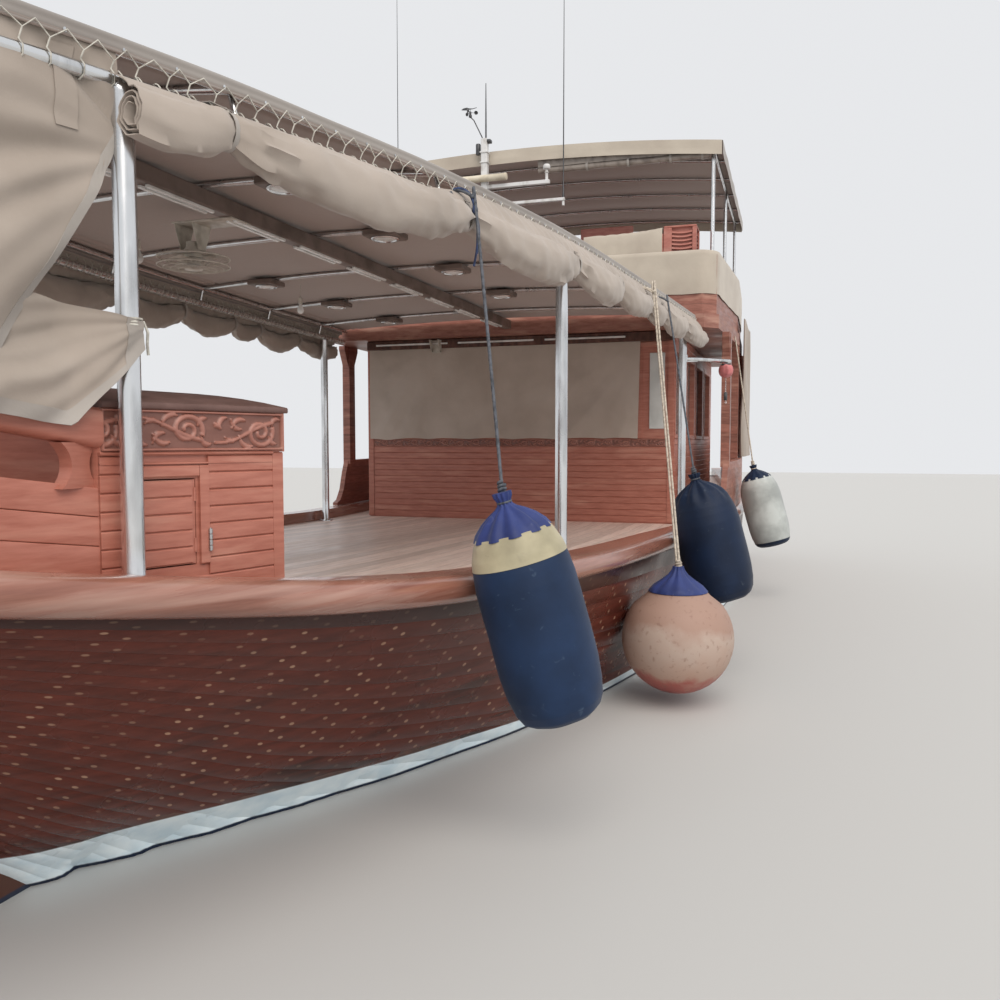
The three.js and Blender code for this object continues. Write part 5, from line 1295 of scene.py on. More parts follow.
webbing = woven_canvas("webbing", (0.40, 0.37, 0.34), (0.28, 0.25, 0.225))
for side, side_name in SIDES:
    tie_parts = []
    for x in CURTAIN_TIES[1:-1]:
        outer = (ROLL_CORE + ROLL_PITCH * ROLL_TURNS) * 0.52 + 0.010
        middle = Vector((
            x, side * (rail_y(x) + POST_RADIUS + outer), RAIL_Z - ROLL_DROP - ROLL_TALL * (outer - 0.010),
        ))
        loop = [
            middle + Vector((0, side * outer * sin(turn), ROLL_TALL * outer * cos(turn)))
            for turn in (pi * (0.05 + 1.75 * k / 16) for k in range(17))
        ]
        loop.append(Vector((x, side * (rail_y(x) - RAIL_RADIUS - 0.006), RAIL_Z - 0.01)))
        loop.append(Vector((x, side * (rail_y(x) - 0.5 * RAIL_RADIUS), RAIL_Z + RAIL_RADIUS + 0.004)))
        loop.append(Vector((x, side * (rail_y(x) + RAIL_RADIUS), RAIL_Z + RAIL_RADIUS + 0.002)))
        loop.append(middle + Vector((0, side * outer * 0.45, ROLL_TALL * outer)))
        outs = [heading_at(loop, i).cross(Vector((1, 0, 0))).normalized() for i in range(len(loop))]
        tie_parts.append(webbing_loop(loop, outs, Vector((TIE_WIDTH / 2, 0, 0)), TIE_THICK / 2))
    outward_faces(mesh_piece(f"curtain_ties_{side_name}", *solid_of(tie_parts), webbing, smooth_angle=50))

# Curtain lacing: short loops of white rope through the canvas's top edge
# that hang each curtain from its rail
LOOP_PITCH = 0.075
loop_parts = []
for side in (1, -1):
    for x in even_xs(CURTAIN_X[0] + 0.05, CURTAIN_X[1] - 0.05, LOOP_PITCH):
        middle = Vector((x, side * rail_y(x), RAIL_Z))
        loop_parts.append(tube([
            middle + Vector(
                (0.010 * sin(2 * turn), side * 0.037 * cos(turn), 0.037 * sin(turn))
            ) for turn in turns(14)
        ], 0.0028, 6))
mesh_piece("curtain_loops", *solid_of(loop_parts), white_rope, smooth_angle=60)

# Bow curtain: canvas hung from the forward rail, its aft corner hauled up so that the hem runs
# down and forward, with a webbing hem and a sewn strap
BOW_SHEET_X = (6.43, 7.28)
BOW_SHEET_TOP = 3.655
PULLED_CORNER = Vector((6.43, 0, 3.28))
LOW_CORNER = (6.82, 2.46)
HEM_WIDTH = 0.05
HEM_PROUD = 0.004


def bow_hem_z(x):
    """Height of the diagonal hem, from the hauled corner down and forward."""
    fall = min(1, max(0, (x - PULLED_CORNER.x) / (LOW_CORNER[0] - PULLED_CORNER.x)))
    return PULLED_CORNER.z + (LOW_CORNER[1] - PULLED_CORNER.z) * fall - max(0, x - LOW_CORNER[0]) * 0.08


def bow_sheet_point(share_x, share_z, outward=0.0):
    x = BOW_SHEET_X[0] + (BOW_SHEET_X[1] - BOW_SHEET_X[0]) * share_x
    z = BOW_SHEET_TOP + (bow_hem_z(x) - BOW_SHEET_TOP) * share_z
    dx, dz = x - PULLED_CORNER.x, z - PULLED_CORNER.z
    away = hypot(dx, dz)
    fan = atan2(dz, dx + 0.10) * 6.5
    depth = 0.042 * min(1, away / 0.40) * min(1, (BOW_SHEET_TOP - z) / 0.22)
    bend = 1.6 * flutter(x * 2.0, z * 1.6, 2)
    fold = depth * (sin(fan + bend) ** 3 + 0.40 * sin(2.1 * fan + 1.1 + bend)
                    + 0.8 * flutter(x * 3.0, z * 3.6, 0))
    return Vector((x, rail_y(x, EDGE_PIPE_INSET) + 0.048 + fold + outward, z))


def sheet_grid(point_at, low_x, high_x, low_z, high_z, columns, rows, outward=0.0):
    return [
        [
            point_at(low_x + (high_x - low_x) * i / columns, low_z + (high_z - low_z) * j / rows, outward)
            for j in range(rows + 1)
        ]
        for i in range(columns + 1)
    ]


bow_sheet = cloth_piece("bow_sheet", sheet_grid(bow_sheet_point, 0, 1, 0, 1, 80, 90), curtain_cloth)
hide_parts("bow_curtain")


def bow_hem_point(share_x, share_z, outward):
    x = BOW_SHEET_X[0] + (BOW_SHEET_X[1] - BOW_SHEET_X[0]) * share_x
    height = BOW_SHEET_TOP - bow_hem_z(x)
    return bow_sheet_point(share_x, 1 - (1 - share_z) * HEM_WIDTH * 1.6 / height, outward)


bow_hem = cloth_piece(
    "bow_hem", sheet_grid(bow_hem_point, 0, 1, 0, 1, 56, 3, HEM_PROUD), webbing, thickness=0.003
)
BOW_STRAP_X = (6.58, 6.66)


def bow_strap_point(share_x, share_z, outward):
    x = BOW_STRAP_X[0] + (BOW_STRAP_X[1] - BOW_STRAP_X[0]) * share_x
    z = 3.60 - 0.30 * share_z
    column = (x - BOW_SHEET_X[0]) / (BOW_SHEET_X[1] - BOW_SHEET_X[0])
    return bow_sheet_point(column, (BOW_SHEET_TOP - z) / (BOW_SHEET_TOP - bow_hem_z(x)), outward)


bow_strap = cloth_piece(
    "bow_strap", sheet_grid(bow_strap_point, 0, 1, 0, 1, 4, 20, 0.007), curtain_cloth, thickness=0.003
)

# Lower flap of the bow curtain: the same canvas folded behind the first, hemmed with webbing
# and lashed to the forward post with white rope
FLAP_X = (6.385, 7.20)
FLAP_TIE = Vector((6.40, 0, 2.62))
FLAP_FOOT = ((6.385, 2.515), (6.60, 2.215), (6.90, 2.262), (7.20, 2.30))


def flap_point(share_x, share_z, outward):
    x = FLAP_X[0] + (FLAP_X[1] - FLAP_X[0]) * share_x
    top = FLAP_TIE.z + 0.20 * share_x
    foot = FLAP_FOOT[0][1]
    for (x0, z0), (x1, z1) in zip(FLAP_FOOT, FLAP_FOOT[1:]):
        if x0 <= x <= x1:
            foot = z0 + (z1 - z0) * (x - x0) / (x1 - x0)
    z = top + (foot - top) * share_z
    reach = min(1, hypot(x - FLAP_TIE.x, z - FLAP_TIE.z) / 0.30)
    fan = atan2(z - FLAP_TIE.z, x - FLAP_TIE.x + 0.04) * 8
    fold = 0.045 * reach * sin(fan + 1.2 * flutter(x * 3, z * 3, 7)) ** 3
    fold += 0.022 * reach * flutter(x * 5, z * 5, 4)
    tucked = min(1, max(0, (x - 6.46) / 0.16))
    inboard = 0.125 * tucked * tucked * (3 - 2 * tucked) * (1 - 0.55 * share_z)
    return Vector((x, rail_y(x) + 0.052 - inboard + fold * 0.6 + outward, z))


flap = cloth_piece("bow_flap", sheet_grid(flap_point, 0, 1, 0, 1, 70, 44), curtain_cloth)
flap_hem = cloth_piece(
    "bow_flap_hem", sheet_grid(flap_point, 0, 1, 0.88, 1, 44, 3, HEM_PROUD), webbing, thickness=0.003
)
flap_edge = cloth_piece(
    "bow_flap_edge", sheet_grid(flap_point, 0, 0.075, 0, 1, 3, 30, HEM_PROUD + 0.001),
    webbing, thickness=0.003
)
post_y = rail_y(POST_XS[0])
lash_parts = []
for turn_count, z in enumerate((2.605, 2.617, 2.629)):
    lash_parts.append(tube([
        Vector((POST_XS[0] + 0.052 * cos(turn), post_y + 0.052 * sin(turn), z + 0.006 * turn / pi))
        for turn in turns(20)
    ], 0.005, 8))
lash_tail = [
    Vector((6.35, post_y - 0.02, 2.62)), Vector((6.32, post_y + 0.01, 2.63)),
    Vector((6.31, post_y + 0.02, 2.59)), Vector((6.315, post_y + 0.02, 2.54)),
    Vector((6.31, post_y + 0.02, 2.50))
]
lash_parts.append(tube(lash_tail, 0.006, 8))
for strand in range(3):
    foot = bow_sheet_point(0.66, 0.97, 0.012)
    lash_parts.append(tube([
        foot + Vector((0.012 * strand, 0.004 * strand, 0)),
        foot + Vector((0.012 * strand - 0.01, 0.008, -0.05)),
        foot + Vector((0.016 * strand - 0.02, 0.006, -0.11)),
    ], 0.004, 6))
mesh_piece("bow_lashings", *solid_of(lash_parts), white_rope, smooth_angle=60)

# Piano hinge of the bow house door: four steel knuckles on a pin,
# on the trim at the leaf's aft edge
hinge_x = HOUSE_DOOR_X[0] - 0.048
hinge_parts = [
    turned([(0, 0.0075), (0.001, 0.009), (0.021, 0.009), (0.022, 0.0075)],
           (hinge_x, house_y(hinge_x) + 0.019, 1.682 + 0.0245 * k), UP, 16)
    for k in range(4)
]
hinge_parts.append(tube([Vector((hinge_x, house_y(hinge_x) + 0.019, z)) for z in (1.679, 1.781)], 0.004, 8))
mesh_piece("bow_door_hinge", *solid_of(hinge_parts), steel, smooth_angle=40)

# Strap: dark blue webbing knotted round the port roll and its rail in three turns,
# with two short tails
strap_blue = grimy_paint("strap_blue", (0.035, 0.060, 0.150), (0.018, 0.028, 0.070), 0.7, 30)
STRAP_X = 4.42
strap_y, strap_parts = rail_y(STRAP_X) + 0.062, []
for lean in (-0.020, 0.0, 0.022):
    strap_parts.append(tube([
        Vector((STRAP_X + lean * cos(turn), strap_y + 0.090 * sin(turn), RAIL_Z - 0.042 + 0.105 * cos(turn)))
        for turn in turns(28)
    ], 0.008, 8))
for reach, foot in ((0.03, 0.32), (-0.02, 0.24)):
    strap_parts.append(tube([
        Vector((STRAP_X + reach * t, strap_y + 0.096 + 0.020 * sin(3 * t), RAIL_Z - 0.06 - foot * t))
        for t in (k / 8 for k in range(9))
    ], 0.007, 8))
strap_parts.append(tube([
    Vector((STRAP_X + 0.02 * sin(turn), strap_y + 0.096, RAIL_Z - 0.06 + 0.02 * cos(turn)))
    for turn in turns(12)
], 0.010, 8))
mesh_piece("roll_strap", *solid_of(strap_parts), strap_blue, smooth_angle=60)

# Rail lashings: spaced turns of white rope that tie the bow curtain's top edge
# up to the edge pipe
tie_parts = []
for x in even_xs(6.48, 7.24, 0.11):
    middle = Vector((x, rail_y(x, EDGE_PIPE_INSET), EDGE_PIPE_Z))
    tie_parts.append(tube([
        middle + Vector((0.012 * turn / pi, 0.032 * cos(turn), 0.032 * sin(turn)))
        for turn in turns(14, 15)
    ], 0.004, 6))
mesh_piece("bow_curtain_ties", *solid_of(tie_parts), white_rope, smooth_angle=60)

# Aft house walls: narrow horizontal boards of reddish wood, square corner stiles and window trims,
# with a carved band under the front windows
CABIN_FRONT_X, CABIN_AFT_X, CABIN_HALF = -2.10, -7.20, 2.10
CABIN_BOARD = 0.079
CARVED_Z = (2.105, 2.205)
WINDOW_Z = (2.26, 3.30)
FRONT_WINDOWS = ((-1.65, -0.12), (0.12, 1.65))
SIDE_WINDOWS = (-3.12, -4.34, -5.56, -6.78)
SIDE_WINDOW_WIDTH = 0.90
FRAME_WIDTH, FRAME_PROUD = 0.055, 0.016
CABIN_TOP = 3.545


def window_trims(a, b, lift=0.0):
    """The four trims round an opening from a to b: start, end, foot and head of each."""
    foot, head = WINDOW_Z[0] - FRAME_WIDTH, WINDOW_Z[1] + FRAME_WIDTH
    return (
        (a - FRAME_WIDTH, a, foot, head), (b, b + FRAME_WIDTH, foot, head),
        (a, b, WINDOW_Z[1], head), (a, b, foot + lift, WINDOW_Z[0]),
    )


for name in ("cabin_front", "cabin_port", "cabin_stbd", "cabin_aft"):
    finish_node(name, house_wood)
front_face = CABIN_FRONT_X + 0.0003
front_path = [(front_face, CABIN_HALF - 0.07), (front_face, 0.07 - CABIN_HALF)]
front_rows = rows_between(deck_z(CABIN_FRONT_X) + 0.012, CARVED_Z[0] - 0.004, CABIN_BOARD)
front_rows += rows_between(WINDOW_Z[1] + FRAME_WIDTH, 3.42, CABIN_BOARD)
front_runs = [(front_path, (1, 0), low, high, 0.009) for low, high in front_rows]
for sign in (1, -1):
    y = sign * CABIN_HALF
    ys = sorted((y - sign * 0.068, y + sign * 0.010), reverse=True)
    foot = deck_z(CABIN_FRONT_X) + 0.012
    front_runs.append(([(front_face, ys[0]), (front_face, ys[1])], (1, 0), foot, CABIN_TOP, 0.016))
for y0, y1 in FRONT_WINDOWS:
    for a, b, low, high in window_trims(y0, y1, 0.004):
        front_runs.append(([(front_face, b), (front_face, a)], (1, 0), low, high, FRAME_PROUD - 0.006))
lay_boards("cabin_front_boards", front_runs, house_wood)
carved_band(
    "cabin_front_carving", [(x + 0.002, y) for x, y in front_path], *CARVED_Z, 0.009, carved_wood,
)
for side, side_name in SIDES:
    face = side * (CABIN_HALF + 0.0003)
    side_rows = rows_between(1.16, WINDOW_Z[0] - FRAME_WIDTH, CABIN_BOARD)
    side_rows += rows_between(WINDOW_Z[1] + FRAME_WIDTH, CABIN_TOP, CABIN_BOARD)
    wall_path = [(CABIN_AFT_X + 0.02, face), (CABIN_FRONT_X - 0.06, face)]
    runs = [(wall_path, (0, side), low, high, 0.009) for low, high in side_rows]
    edges = [CABIN_FRONT_X - 0.06]
    for x in SIDE_WINDOWS:
        edges += [x + SIDE_WINDOW_WIDTH + FRAME_WIDTH, x - FRAME_WIDTH]
        for a, b, low, high in window_trims(x, x + SIDE_WINDOW_WIDTH):
            runs.append(([(a, face), (b, face)], (0, side), low, high, FRAME_PROUD))
    edges.append(CABIN_AFT_X + 0.02)
    for low, high in rows_between(WINDOW_Z[0] - FRAME_WIDTH, WINDOW_Z[1] + FRAME_WIDTH, CABIN_BOARD):
        for x1, x0 in zip(edges[0::2], edges[1::2]):
            if x1 - x0 > 0.03:
                runs.append(([(x0, face), (x1, face)], (0, side), low, high, 0.009))
    lay_boards(f"cabin_{side_name}_boards", runs, house_wood)

# Aft wall and its door: boards nailed each side of the doorway, and a leaf with board panels
# that swings with its own body
AFT_FACE = CABIN_AFT_X - 0.0503
aft_runs = []
for low, high in rows_between(1.36, 3.54, 0.09):
    spans = [(CABIN_HALF - 0.01, 0.01 - CABIN_HALF)]
    if high > 1.50 and low < 3.31:
        spans = [(CABIN_HALF - 0.01, 0.47), (-0.47, 0.01 - CABIN_HALF)]
    aft_runs += [([(AFT_FACE, a), (AFT_FACE, b)], (-1, 0), low, high, 0.006) for a, b in spans]
lay_boards("cabin_aft_boards", aft_runs, house_wood)
finish_node("cabin_door", house_wood)
panel_runs = [
    (
        [(AFT_FACE, 0.30), (AFT_FACE, -0.30)], (-1, 0), low, high, 0.005
    ) for low, high in rows_between(1.62, 3.19, 0.105)
]
lay_boards("cabin_door_panels", panel_runs, carved_wood, "cabin_door_body")

# Window panes: tinted glass puttied into the openings, slightly hazy with salt,
# with pale blinds drawn behind them
def tinted_glass():
    material, tree, shader = node_material("tinted_glass")
    smear = noise_of(tree, object_place(tree), 3.5, 7)
    wire(tree, shader, {
        "Base Color": (0.75, 0.80, 0.80, 1), "Transmission Weight": 0.92, "IOR": 1.45,
        "Roughness": ranged(tree, smear, 0.35, 0.7, 0.04, 0.22),
    })
    return material


pane_glass = tinted_glass()
for name in ("glass_front", "glass_port", "glass_stbd"):
    finish_node(name, pane_glass, bevel=0.001)
blind_paint = grimy_paint("blind_paint", (0.66, 0.68, 0.66), (0.50, 0.52, 0.50), 0.7, 2.5)
BLIND_WIDTH, BLIND_THICK, BLIND_BEHIND = 0.41, 0.008, 0.075
blind_parts = []
for side in (1, -1):
    for x in SIDE_WINDOWS:
        for share in (0.02, 0.53):
            x0 = x + SIDE_WINDOW_WIDTH * share
            y0 = side * (CABIN_HALF - BLIND_BEHIND) - BLIND_THICK / 2
            blind_parts.append(eased_box(
                (x0, y0, WINDOW_Z[0] + 0.01), (x0 + BLIND_WIDTH, y0 + BLIND_THICK, WINDOW_Z[1] - 0.02), 0.002
            ))
mesh_piece("window_blinds", *solid_of(blind_parts), blind_paint)
mesh_piece("front_side_light", *solid_of([
    eased_box((CABIN_FRONT_X + 0.001, 1.80, 2.33), (CABIN_FRONT_X + 0.014, 1.99, 3.28), 0.004)
]), blind_paint)

# Head beam: a dark oiled timber fixed across the head of the front windows,
# with three light strips on its fore face
BEAM_X, BEAM_Z = (-2.0995, -2.035), (3.425, 3.545)
beam_parts = [eased_box((BEAM_X[0], -CABIN_HALF, BEAM_Z[0]), (BEAM_X[1], CABIN_HALF, BEAM_Z[1]), 0.008)]
head_beam = mesh_piece("head_beam", *solid_of(beam_parts), dark_wood)
strip_parts = []
for y in (-1.95, -0.75, 0.45):
    strip_parts.append(eased_box((BEAM_X[1] - 0.001, y, 3.475), (BEAM_X[1] + 0.022, y + 1.05, 3.498), 0.004))
mesh_piece("head_beam_lights", *solid_of(strip_parts), lamp_glass)

# Canvas let down over the front windows: two overlapping sheets, nailed along the head beam
# and slack below, creased from their upper corner
FRONT_SHEETS = ((-2.08, -1.16, 0.007), (-1.22, 1.68, 0.012))
FRONT_SHEET_Z = (2.20, 3.425)
front_cloth = woven_canvas("front_cloth", (0.52, 0.445, 0.385), (0.43, 0.36, 0.305))
for number, (y0, y1, off) in enumerate(FRONT_SHEETS):
    grid = []
    for y in even_xs(y0, y1, 0.030):
        row = []
        for k in range(41):
            share = k / 40
            edge = min(y - y0, y1 - y)
            scallop = 0.016 * abs(sin(y * 5.2)) + 0.02 * flutter(y * 1.3, 2, 0)
            z = FRONT_SHEET_Z[1] + (FRONT_SHEET_Z[0] + scallop - FRONT_SHEET_Z[1]) * share
            pull = flutter(y * 1.6 + share * 2.2, share * 1.2, number)
            crease = flutter(y * 5.5 - share * 3.5, share * 2.4, number + 4)
            fan = atan2(1.25 * share + 0.02, y1 - y + 0.05)
            folds = sin(15 * fan + 2 * pull) ** 3 * min(1, 1.6 * hypot(y1 - y, share))
            slack = 0.024 * pull + 0.010 * crease + 0.011 * folds
            slack = slack * min(1, 0.15 + edge * 3) * (0.25 + 0.75 * share)
            row.append(
                Vector(
                    (
                        CABIN_FRONT_X + off + 0.012 + max(slack, -0.008),
                        y - 0.05 * share * (y > 1.2) * (y - 1.2), z
                    )
                )
            )
        grid.append(row)
    sheet = cloth_piece(f"front_canvas_{number + 1}", grid, front_cloth, thickness=0.003)
    if number == 0:
        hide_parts("front_window_canvas")

# Ceiling fan: a white cage of bent and welded wire with a motor above it,
# between two pressed steel cheeks fixed under the ridge beam
FAN_AT = Vector((4.10, -0.33, 3.37))
FAN_WIRES = 44
FAN_WIRE = ((0.058, 0.046), (0.110, 0.052), (0.170, 0.047), (0.215, 0.034), (0.233, 0.022))
FAN_RINGS = (
    (0.236, 0.026, 0.005), (0.236, -0.026, 0.005), (0.15, -0.049, 0.0025), (0.10, -0.051, 0.0025),
    (0.195, -0.041, 0.0025), (0.15, 0.049, 0.0025),
)
fan_white = grimy_paint("fan_white", (0.60, 0.565, 0.50), (0.42, 0.385, 0.33), 0.4, 12)
cage_parts = []
for k in range(FAN_WIRES):
    turn = 2 * pi * k / FAN_WIRES
    spoke = Vector((cos(turn), sin(turn), 0))
    for sign in (-1, 1):
        cage_parts.append(tube([
            FAN_AT + spoke * radius + Vector((0, 0, sign * rise)) for radius, rise in FAN_WIRE
        ], 0.0016, 5))
for radius, rise, thick in FAN_RINGS:
    circle = [FAN_AT + Vector((radius * cos(turn), radius * sin(turn), rise)) for turn in turns(48)]
    cage_parts.append(tube(circle, thick, 8))
cage_parts.append(
    turned(
        [(0, 0.001), (0.002, 0.045), (0.008, 0.060), (0.016, 0.062)], FAN_AT - Vector((0, 0, 0.056)), UP, 36
    )
)
cage_parts.append(turned(
    [(0, 0.040), (0.004, 0.062), (0.060, 0.062), (0.075, 0.050), (0.110, 0.046), (0.112, 0.001)],
    FAN_AT + Vector((0, 0, 0.022)), UP, 36,
))
for y in (FAN_AT.y - 0.072, FAN_AT.y + 0.068):
    cheek = [(-0.105, 0.252), (-0.070, 0.150), (-0.046, 0.105), (-0.046, 0.075), (0.046, 0.075),
        (0.046, 0.105),
             (0.070, 0.150), (0.105, 0.252)]
    rings = [
        [FAN_AT + Vector((dx, y + dy - FAN_AT.y, dz)) for dx, dz in cheek] for dy in (-0.002, 0.002)
    ]
    cage_parts.append(skin(rings))
cage_parts.append(
    eased_box((FAN_AT.x - 0.11, FAN_AT.y - 0.09, 3.611), (FAN_AT.x + 0.11, 0.05, 3.6196), 0.002)
)
fan_cage = outward_faces(mesh_piece("ceiling_fan_cage", *solid_of(cage_parts), fan_white, smooth_angle=50))
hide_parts("fan_cage")
finish_node("fan_blades", fan_white, bevel=0.001)

# Spare bracket and bulbs: a second fan's pressed cheeks screwed to the head beam,
# and two glass bulbs in white holders on short stems from the ribs
bracket_parts = []
for y in (-1.115, -0.995):
    rings = [
        [
            Vector((-2.034 + dx, y + dy, 3.53 + dz))
            for dx, dz in ((0, 0), (0, -0.16), (0.05, -0.16), (0.11, -0.05), (0.13, 0))
        ]
        for dy in (-0.002, 0.002)
    ]
    bracket_parts.append(skin(rings))
bracket_parts.append(eased_box((-2.036, -1.12, 3.36), (-2.030, -0.99, 3.53), 0.002))
outward_faces(mesh_piece("spare_fan_bracket", *solid_of(bracket_parts), fan_white))
bulb_parts, stem_parts = [], []
for x, y in ((3.93, -0.92), (1.36, -1.13)):
    top = rib_z(x, y) + 0.010
    stem_parts.append(
        turned(
            [(0, 0.003), (0.14, 0.003), (0.141, 0.018), (0.20, 0.020), (0.205, 0.014)], (x, y, top), DOWN,
            18
        )
    )
    bulb_parts.append(turned(
        [
            (0, 0.013), (0.015, 0.016), (0.040, 0.029), (0.062, 0.034), (0.082, 0.029), (0.096, 0.014),
            (0.099, 0.001)
        ],
        (x, y, top - 0.203), DOWN, 24,
    ))
mesh_piece("bulb_holders", *solid_of(stem_parts), fan_white, smooth_angle=50)
mesh_piece("bulbs", *solid_of(bulb_parts), lamp_glass, smooth_angle=60)

# Upper deck and its bulwark: boards on the aft house's beams with a rounded edge,
# and planked sides round it, weathered red brown
deck_slab_wood = dull_timber(
    "deck_slab_wood", (0.20, 0.075, 0.052), (0.36, 0.165, 0.125), 0.45, (2, 2, 10), wear=(0.44, 0.25, 0.19)
)
finish_node("upper_deck", deck_slab_wood, bevel=0.02, segments=3)
bulwark_wood = dull_timber(
    "bulwark_wood", (0.19, 0.065, 0.044), (0.35, 0.145, 0.105), 0.45, (2, 2, 12), ("Z", 0.12),
    (0.44, 0.23, 0.17)
)
finish_node("upper_bulwark", bulwark_wood, bevel=0.008)

# Dodger: a band of pale canvas laced round the upper bulwark, lapped over its rail
# and eased at the corners
UPPER_EDGE = ((-1.90, 2.48), (-2.06, 2.64), (-4.20, 2.76), (-6.00, 2.70), (-6.20, 2.669))
DODGER_OFF = 0.022  # inboard of the deck's edge, at the middle of the cloth
DODGER_Z = (3.96, 4.475)
DODGER_LAP = 0.05


def dodger_path():
    """Points round the bulwark from the port quarter forward, across and back, with rounded corners."""
    port = [
        Vector((x - (DODGER_OFF if i == 0 else 0), y - DODGER_OFF, 0))
        for i, (x, y) in enumerate(UPPER_EDGE)
    ]
    corners = list(reversed(port)) + [Vector((p.x, -p.y, 0)) for p in port]
    points = [corners[0]]
    for a, b, c in zip(corners, corners[1:], corners[2:]):
        cut = min(0.09, (b - a).length / 2.2, (c - b).length / 2.2)
        start, end = b + (a - b).normalized() * cut, b + (c - b).normalized() * cut
        for k in range(5):
            t = k / 4
            points.append(start.lerp(b, t).lerp(b.lerp(end, t), t))
    points.append(corners[-1])
    fine = [points[0]]
    for a, b in zip(points, points[1:]):
        count = max(1, round((b - a).length / 0.08))
        fine += [a.lerp(b, k / count) for k in range(1, count + 1)]
    return fine


dodger_line = dodger_path()
dodger_cloth = woven_canvas("dodger_cloth", (0.50, 0.445, 0.37), (0.41, 0.355, 0.295))
grid = []
for i, at in enumerate(dodger_line):
    heading = heading_at(dodger_line, i)
    outward = Vector((heading.y, -heading.x, 0))
    if outward.dot(at - Vector((-4, 0, 0))) < 0:
        outward = -outward
    row = []
    for k in range(13):
        z = DODGER_Z[0] + (DODGER_Z[1] - DODGER_Z[0]) * k / 12
        sway = 0.006 + 0.007 * flutter(at.x * 2.2, at.y * 2.2, z * 4)
        wave = 0.012 * flutter(at.x * 3, at.y * 3, 8) if k == 0 else 0
        row.append(at + outward * sway + Vector((0, 0, z + wave)))
    row.append(at - outward * 0.012 + Vector((0, 0, DODGER_Z[1] + 0.010)))
    row.append(at - outward * 0.052 + Vector((0, 0, DODGER_Z[1] + 0.004)))
    row.append(at - outward * 0.060 + Vector((0, 0, DODGER_Z[1] - DODGER_LAP)))
    grid.append(row)
dodger = cloth_piece("dodger_sheet", grid, dodger_cloth)
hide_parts("dodger")

# Aft bulwarks: planked sides beside the aft house, with square pillars that carry
# the upper deck, each faced with a carved panel
finish_node("aft_bulwark_port", bulwark_wood, bevel=0.012)
finish_node("aft_bulwark_stbd", bulwark_wood, bevel=0.012)
PILLAR_XS = (-2.64, -4.30, -5.96, -7.54)
PILLAR_HALF = (0.085, 0.055)
for side, side_name in SIDES:
    for i, x in enumerate(PILLAR_XS):
        y = side * (min(sheer_y(x) - 0.06, 2.70) + PILLAR_HALF[1] + 0.001)
        ends = [(x + side * 0.078, y), (x - side * 0.078, y)]
        carved_band(
            f"pillar_carving_{side_name}_{i + 1}", ends, 2.12, 3.20, 0.008, carved_wood, upright=True
        )

# Side curtain of the aft deck: canvas hung from under the dodger
# and drawn together in upright folds
AFT_SHEET_X, AFT_SHEET_Z = (-6.0, -4.35), (1.95, 3.955)
grid = []
for k in range(97):
    share = k / 96
    x = AFT_SHEET_X[0] + (AFT_SHEET_X[1] - AFT_SHEET_X[0]) * share
    row = []
    for j in range(31):
        fall = j / 30
        z = AFT_SHEET_Z[1] + (AFT_SHEET_Z[0] - AFT_SHEET_Z[1]) * fall
        deep = 0.030 * (0.35 + 0.65 * fall)
        fold = deep * sin(2 * pi * 11 * share + 1.5 * flutter(share * 5, fall, 1))
        y = 2.815 + fold + 0.03 * flutter(x, z, 3)
        row.append(Vector((x - 0.10 * fall * (1 - share), y, z)))
    grid.append(row)
aft_sheet = cloth_piece("aft_side_canvas", grid, curtain_cloth)

# Ladder to the upper deck: two polished pipe rails against the deck's edge,
# with wooden treads between them
LADDER_Y = (-1.62, -1.13)
LADDER_FOOT, LADDER_HEAD = (-8.25, 1.43), (-7.76, 3.90)
ladder_rails, ladder_treads = [], []
for y in LADDER_Y:
    foot, head = Vector((LADDER_FOOT[0], y, LADDER_FOOT[1])), Vector((LADDER_HEAD[0], y, LADDER_HEAD[1]))
    ladder_rails.append(tube([foot.lerp(head, k / 6) for k in range(7)], 0.0275, 20))
for i in range(7):
    share = (i + 1) / 8
    x = LADDER_FOOT[0] + (LADDER_HEAD[0] - LADDER_FOOT[0]) * share
    z = 1.47 + (3.75 - 1.47) * share
    ladder_treads.append(
        eased_box(
            (x - 0.06, LADDER_Y[0] + 0.01, z - 0.014), (x + 0.06, LADDER_Y[1] - 0.01, z + 0.014), 0.006
        )
    )
rails = mesh_piece("ladder_rails", *solid_of(ladder_rails), steel)
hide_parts("ladder")
# the treads take the deck's colour, which is partly painted sheen
treads = mesh_piece("ladder_treads", *solid_of(ladder_treads), deck_wood)

# Upper awning frame: polished pipe posts with a slim stay beside each, side rails,
# and bent ribs welded across them
UPPER_X, UPPER_HALF, UPPER_Z, UPPER_CAMBER = (-6.42, -2.15), 2.64, 5.80, 0.15
UPPER_POST_XS, UPPER_POST_Y = (-2.27, -4.25, -6.30), 2.53
UPPER_RIB_XS = (-2.18, -2.95, -3.80, -4.65, -5.50, -6.37)


def upper_z(y):
    return UPPER_Z + UPPER_CAMBER * (1 - (y / UPPER_HALF) ** 2)


upper_parts = []
for side in (1, -1):
    rail_line = [
        Vector((x, side * UPPER_POST_Y, upper_z(UPPER_POST_Y) - 0.026)) for x in even_xs(-6.40, -2.16, 0.6)
    ]
    upper_parts.append(tube(rail_line, 0.022))
    for x in UPPER_POST_XS:
        post = [(0, 0.05), (0.006, 0.05), (0.010, 0.026), (0.02, 0.025), (2.06, 0.025)]
        upper_parts.append(turned(post, (x, side * UPPER_POST_Y, 3.7203), UP, 24))
        upper_parts.append(turned(
            [(0, 0.016), (2.02, 0.016)], (x - 0.085, side * (UPPER_POST_Y - 0.01), 3.7203), (0.01, 0, 1), 18
        ))
for x in UPPER_RIB_XS:
    upper_parts.append(
        tube(
            [
                Vector((x, UPPER_HALF * (k / 12 - 1), upper_z(UPPER_HALF * (k / 12 - 1)) - 0.001))
                for k in range(25)
            ],
            0.018
        )
    )
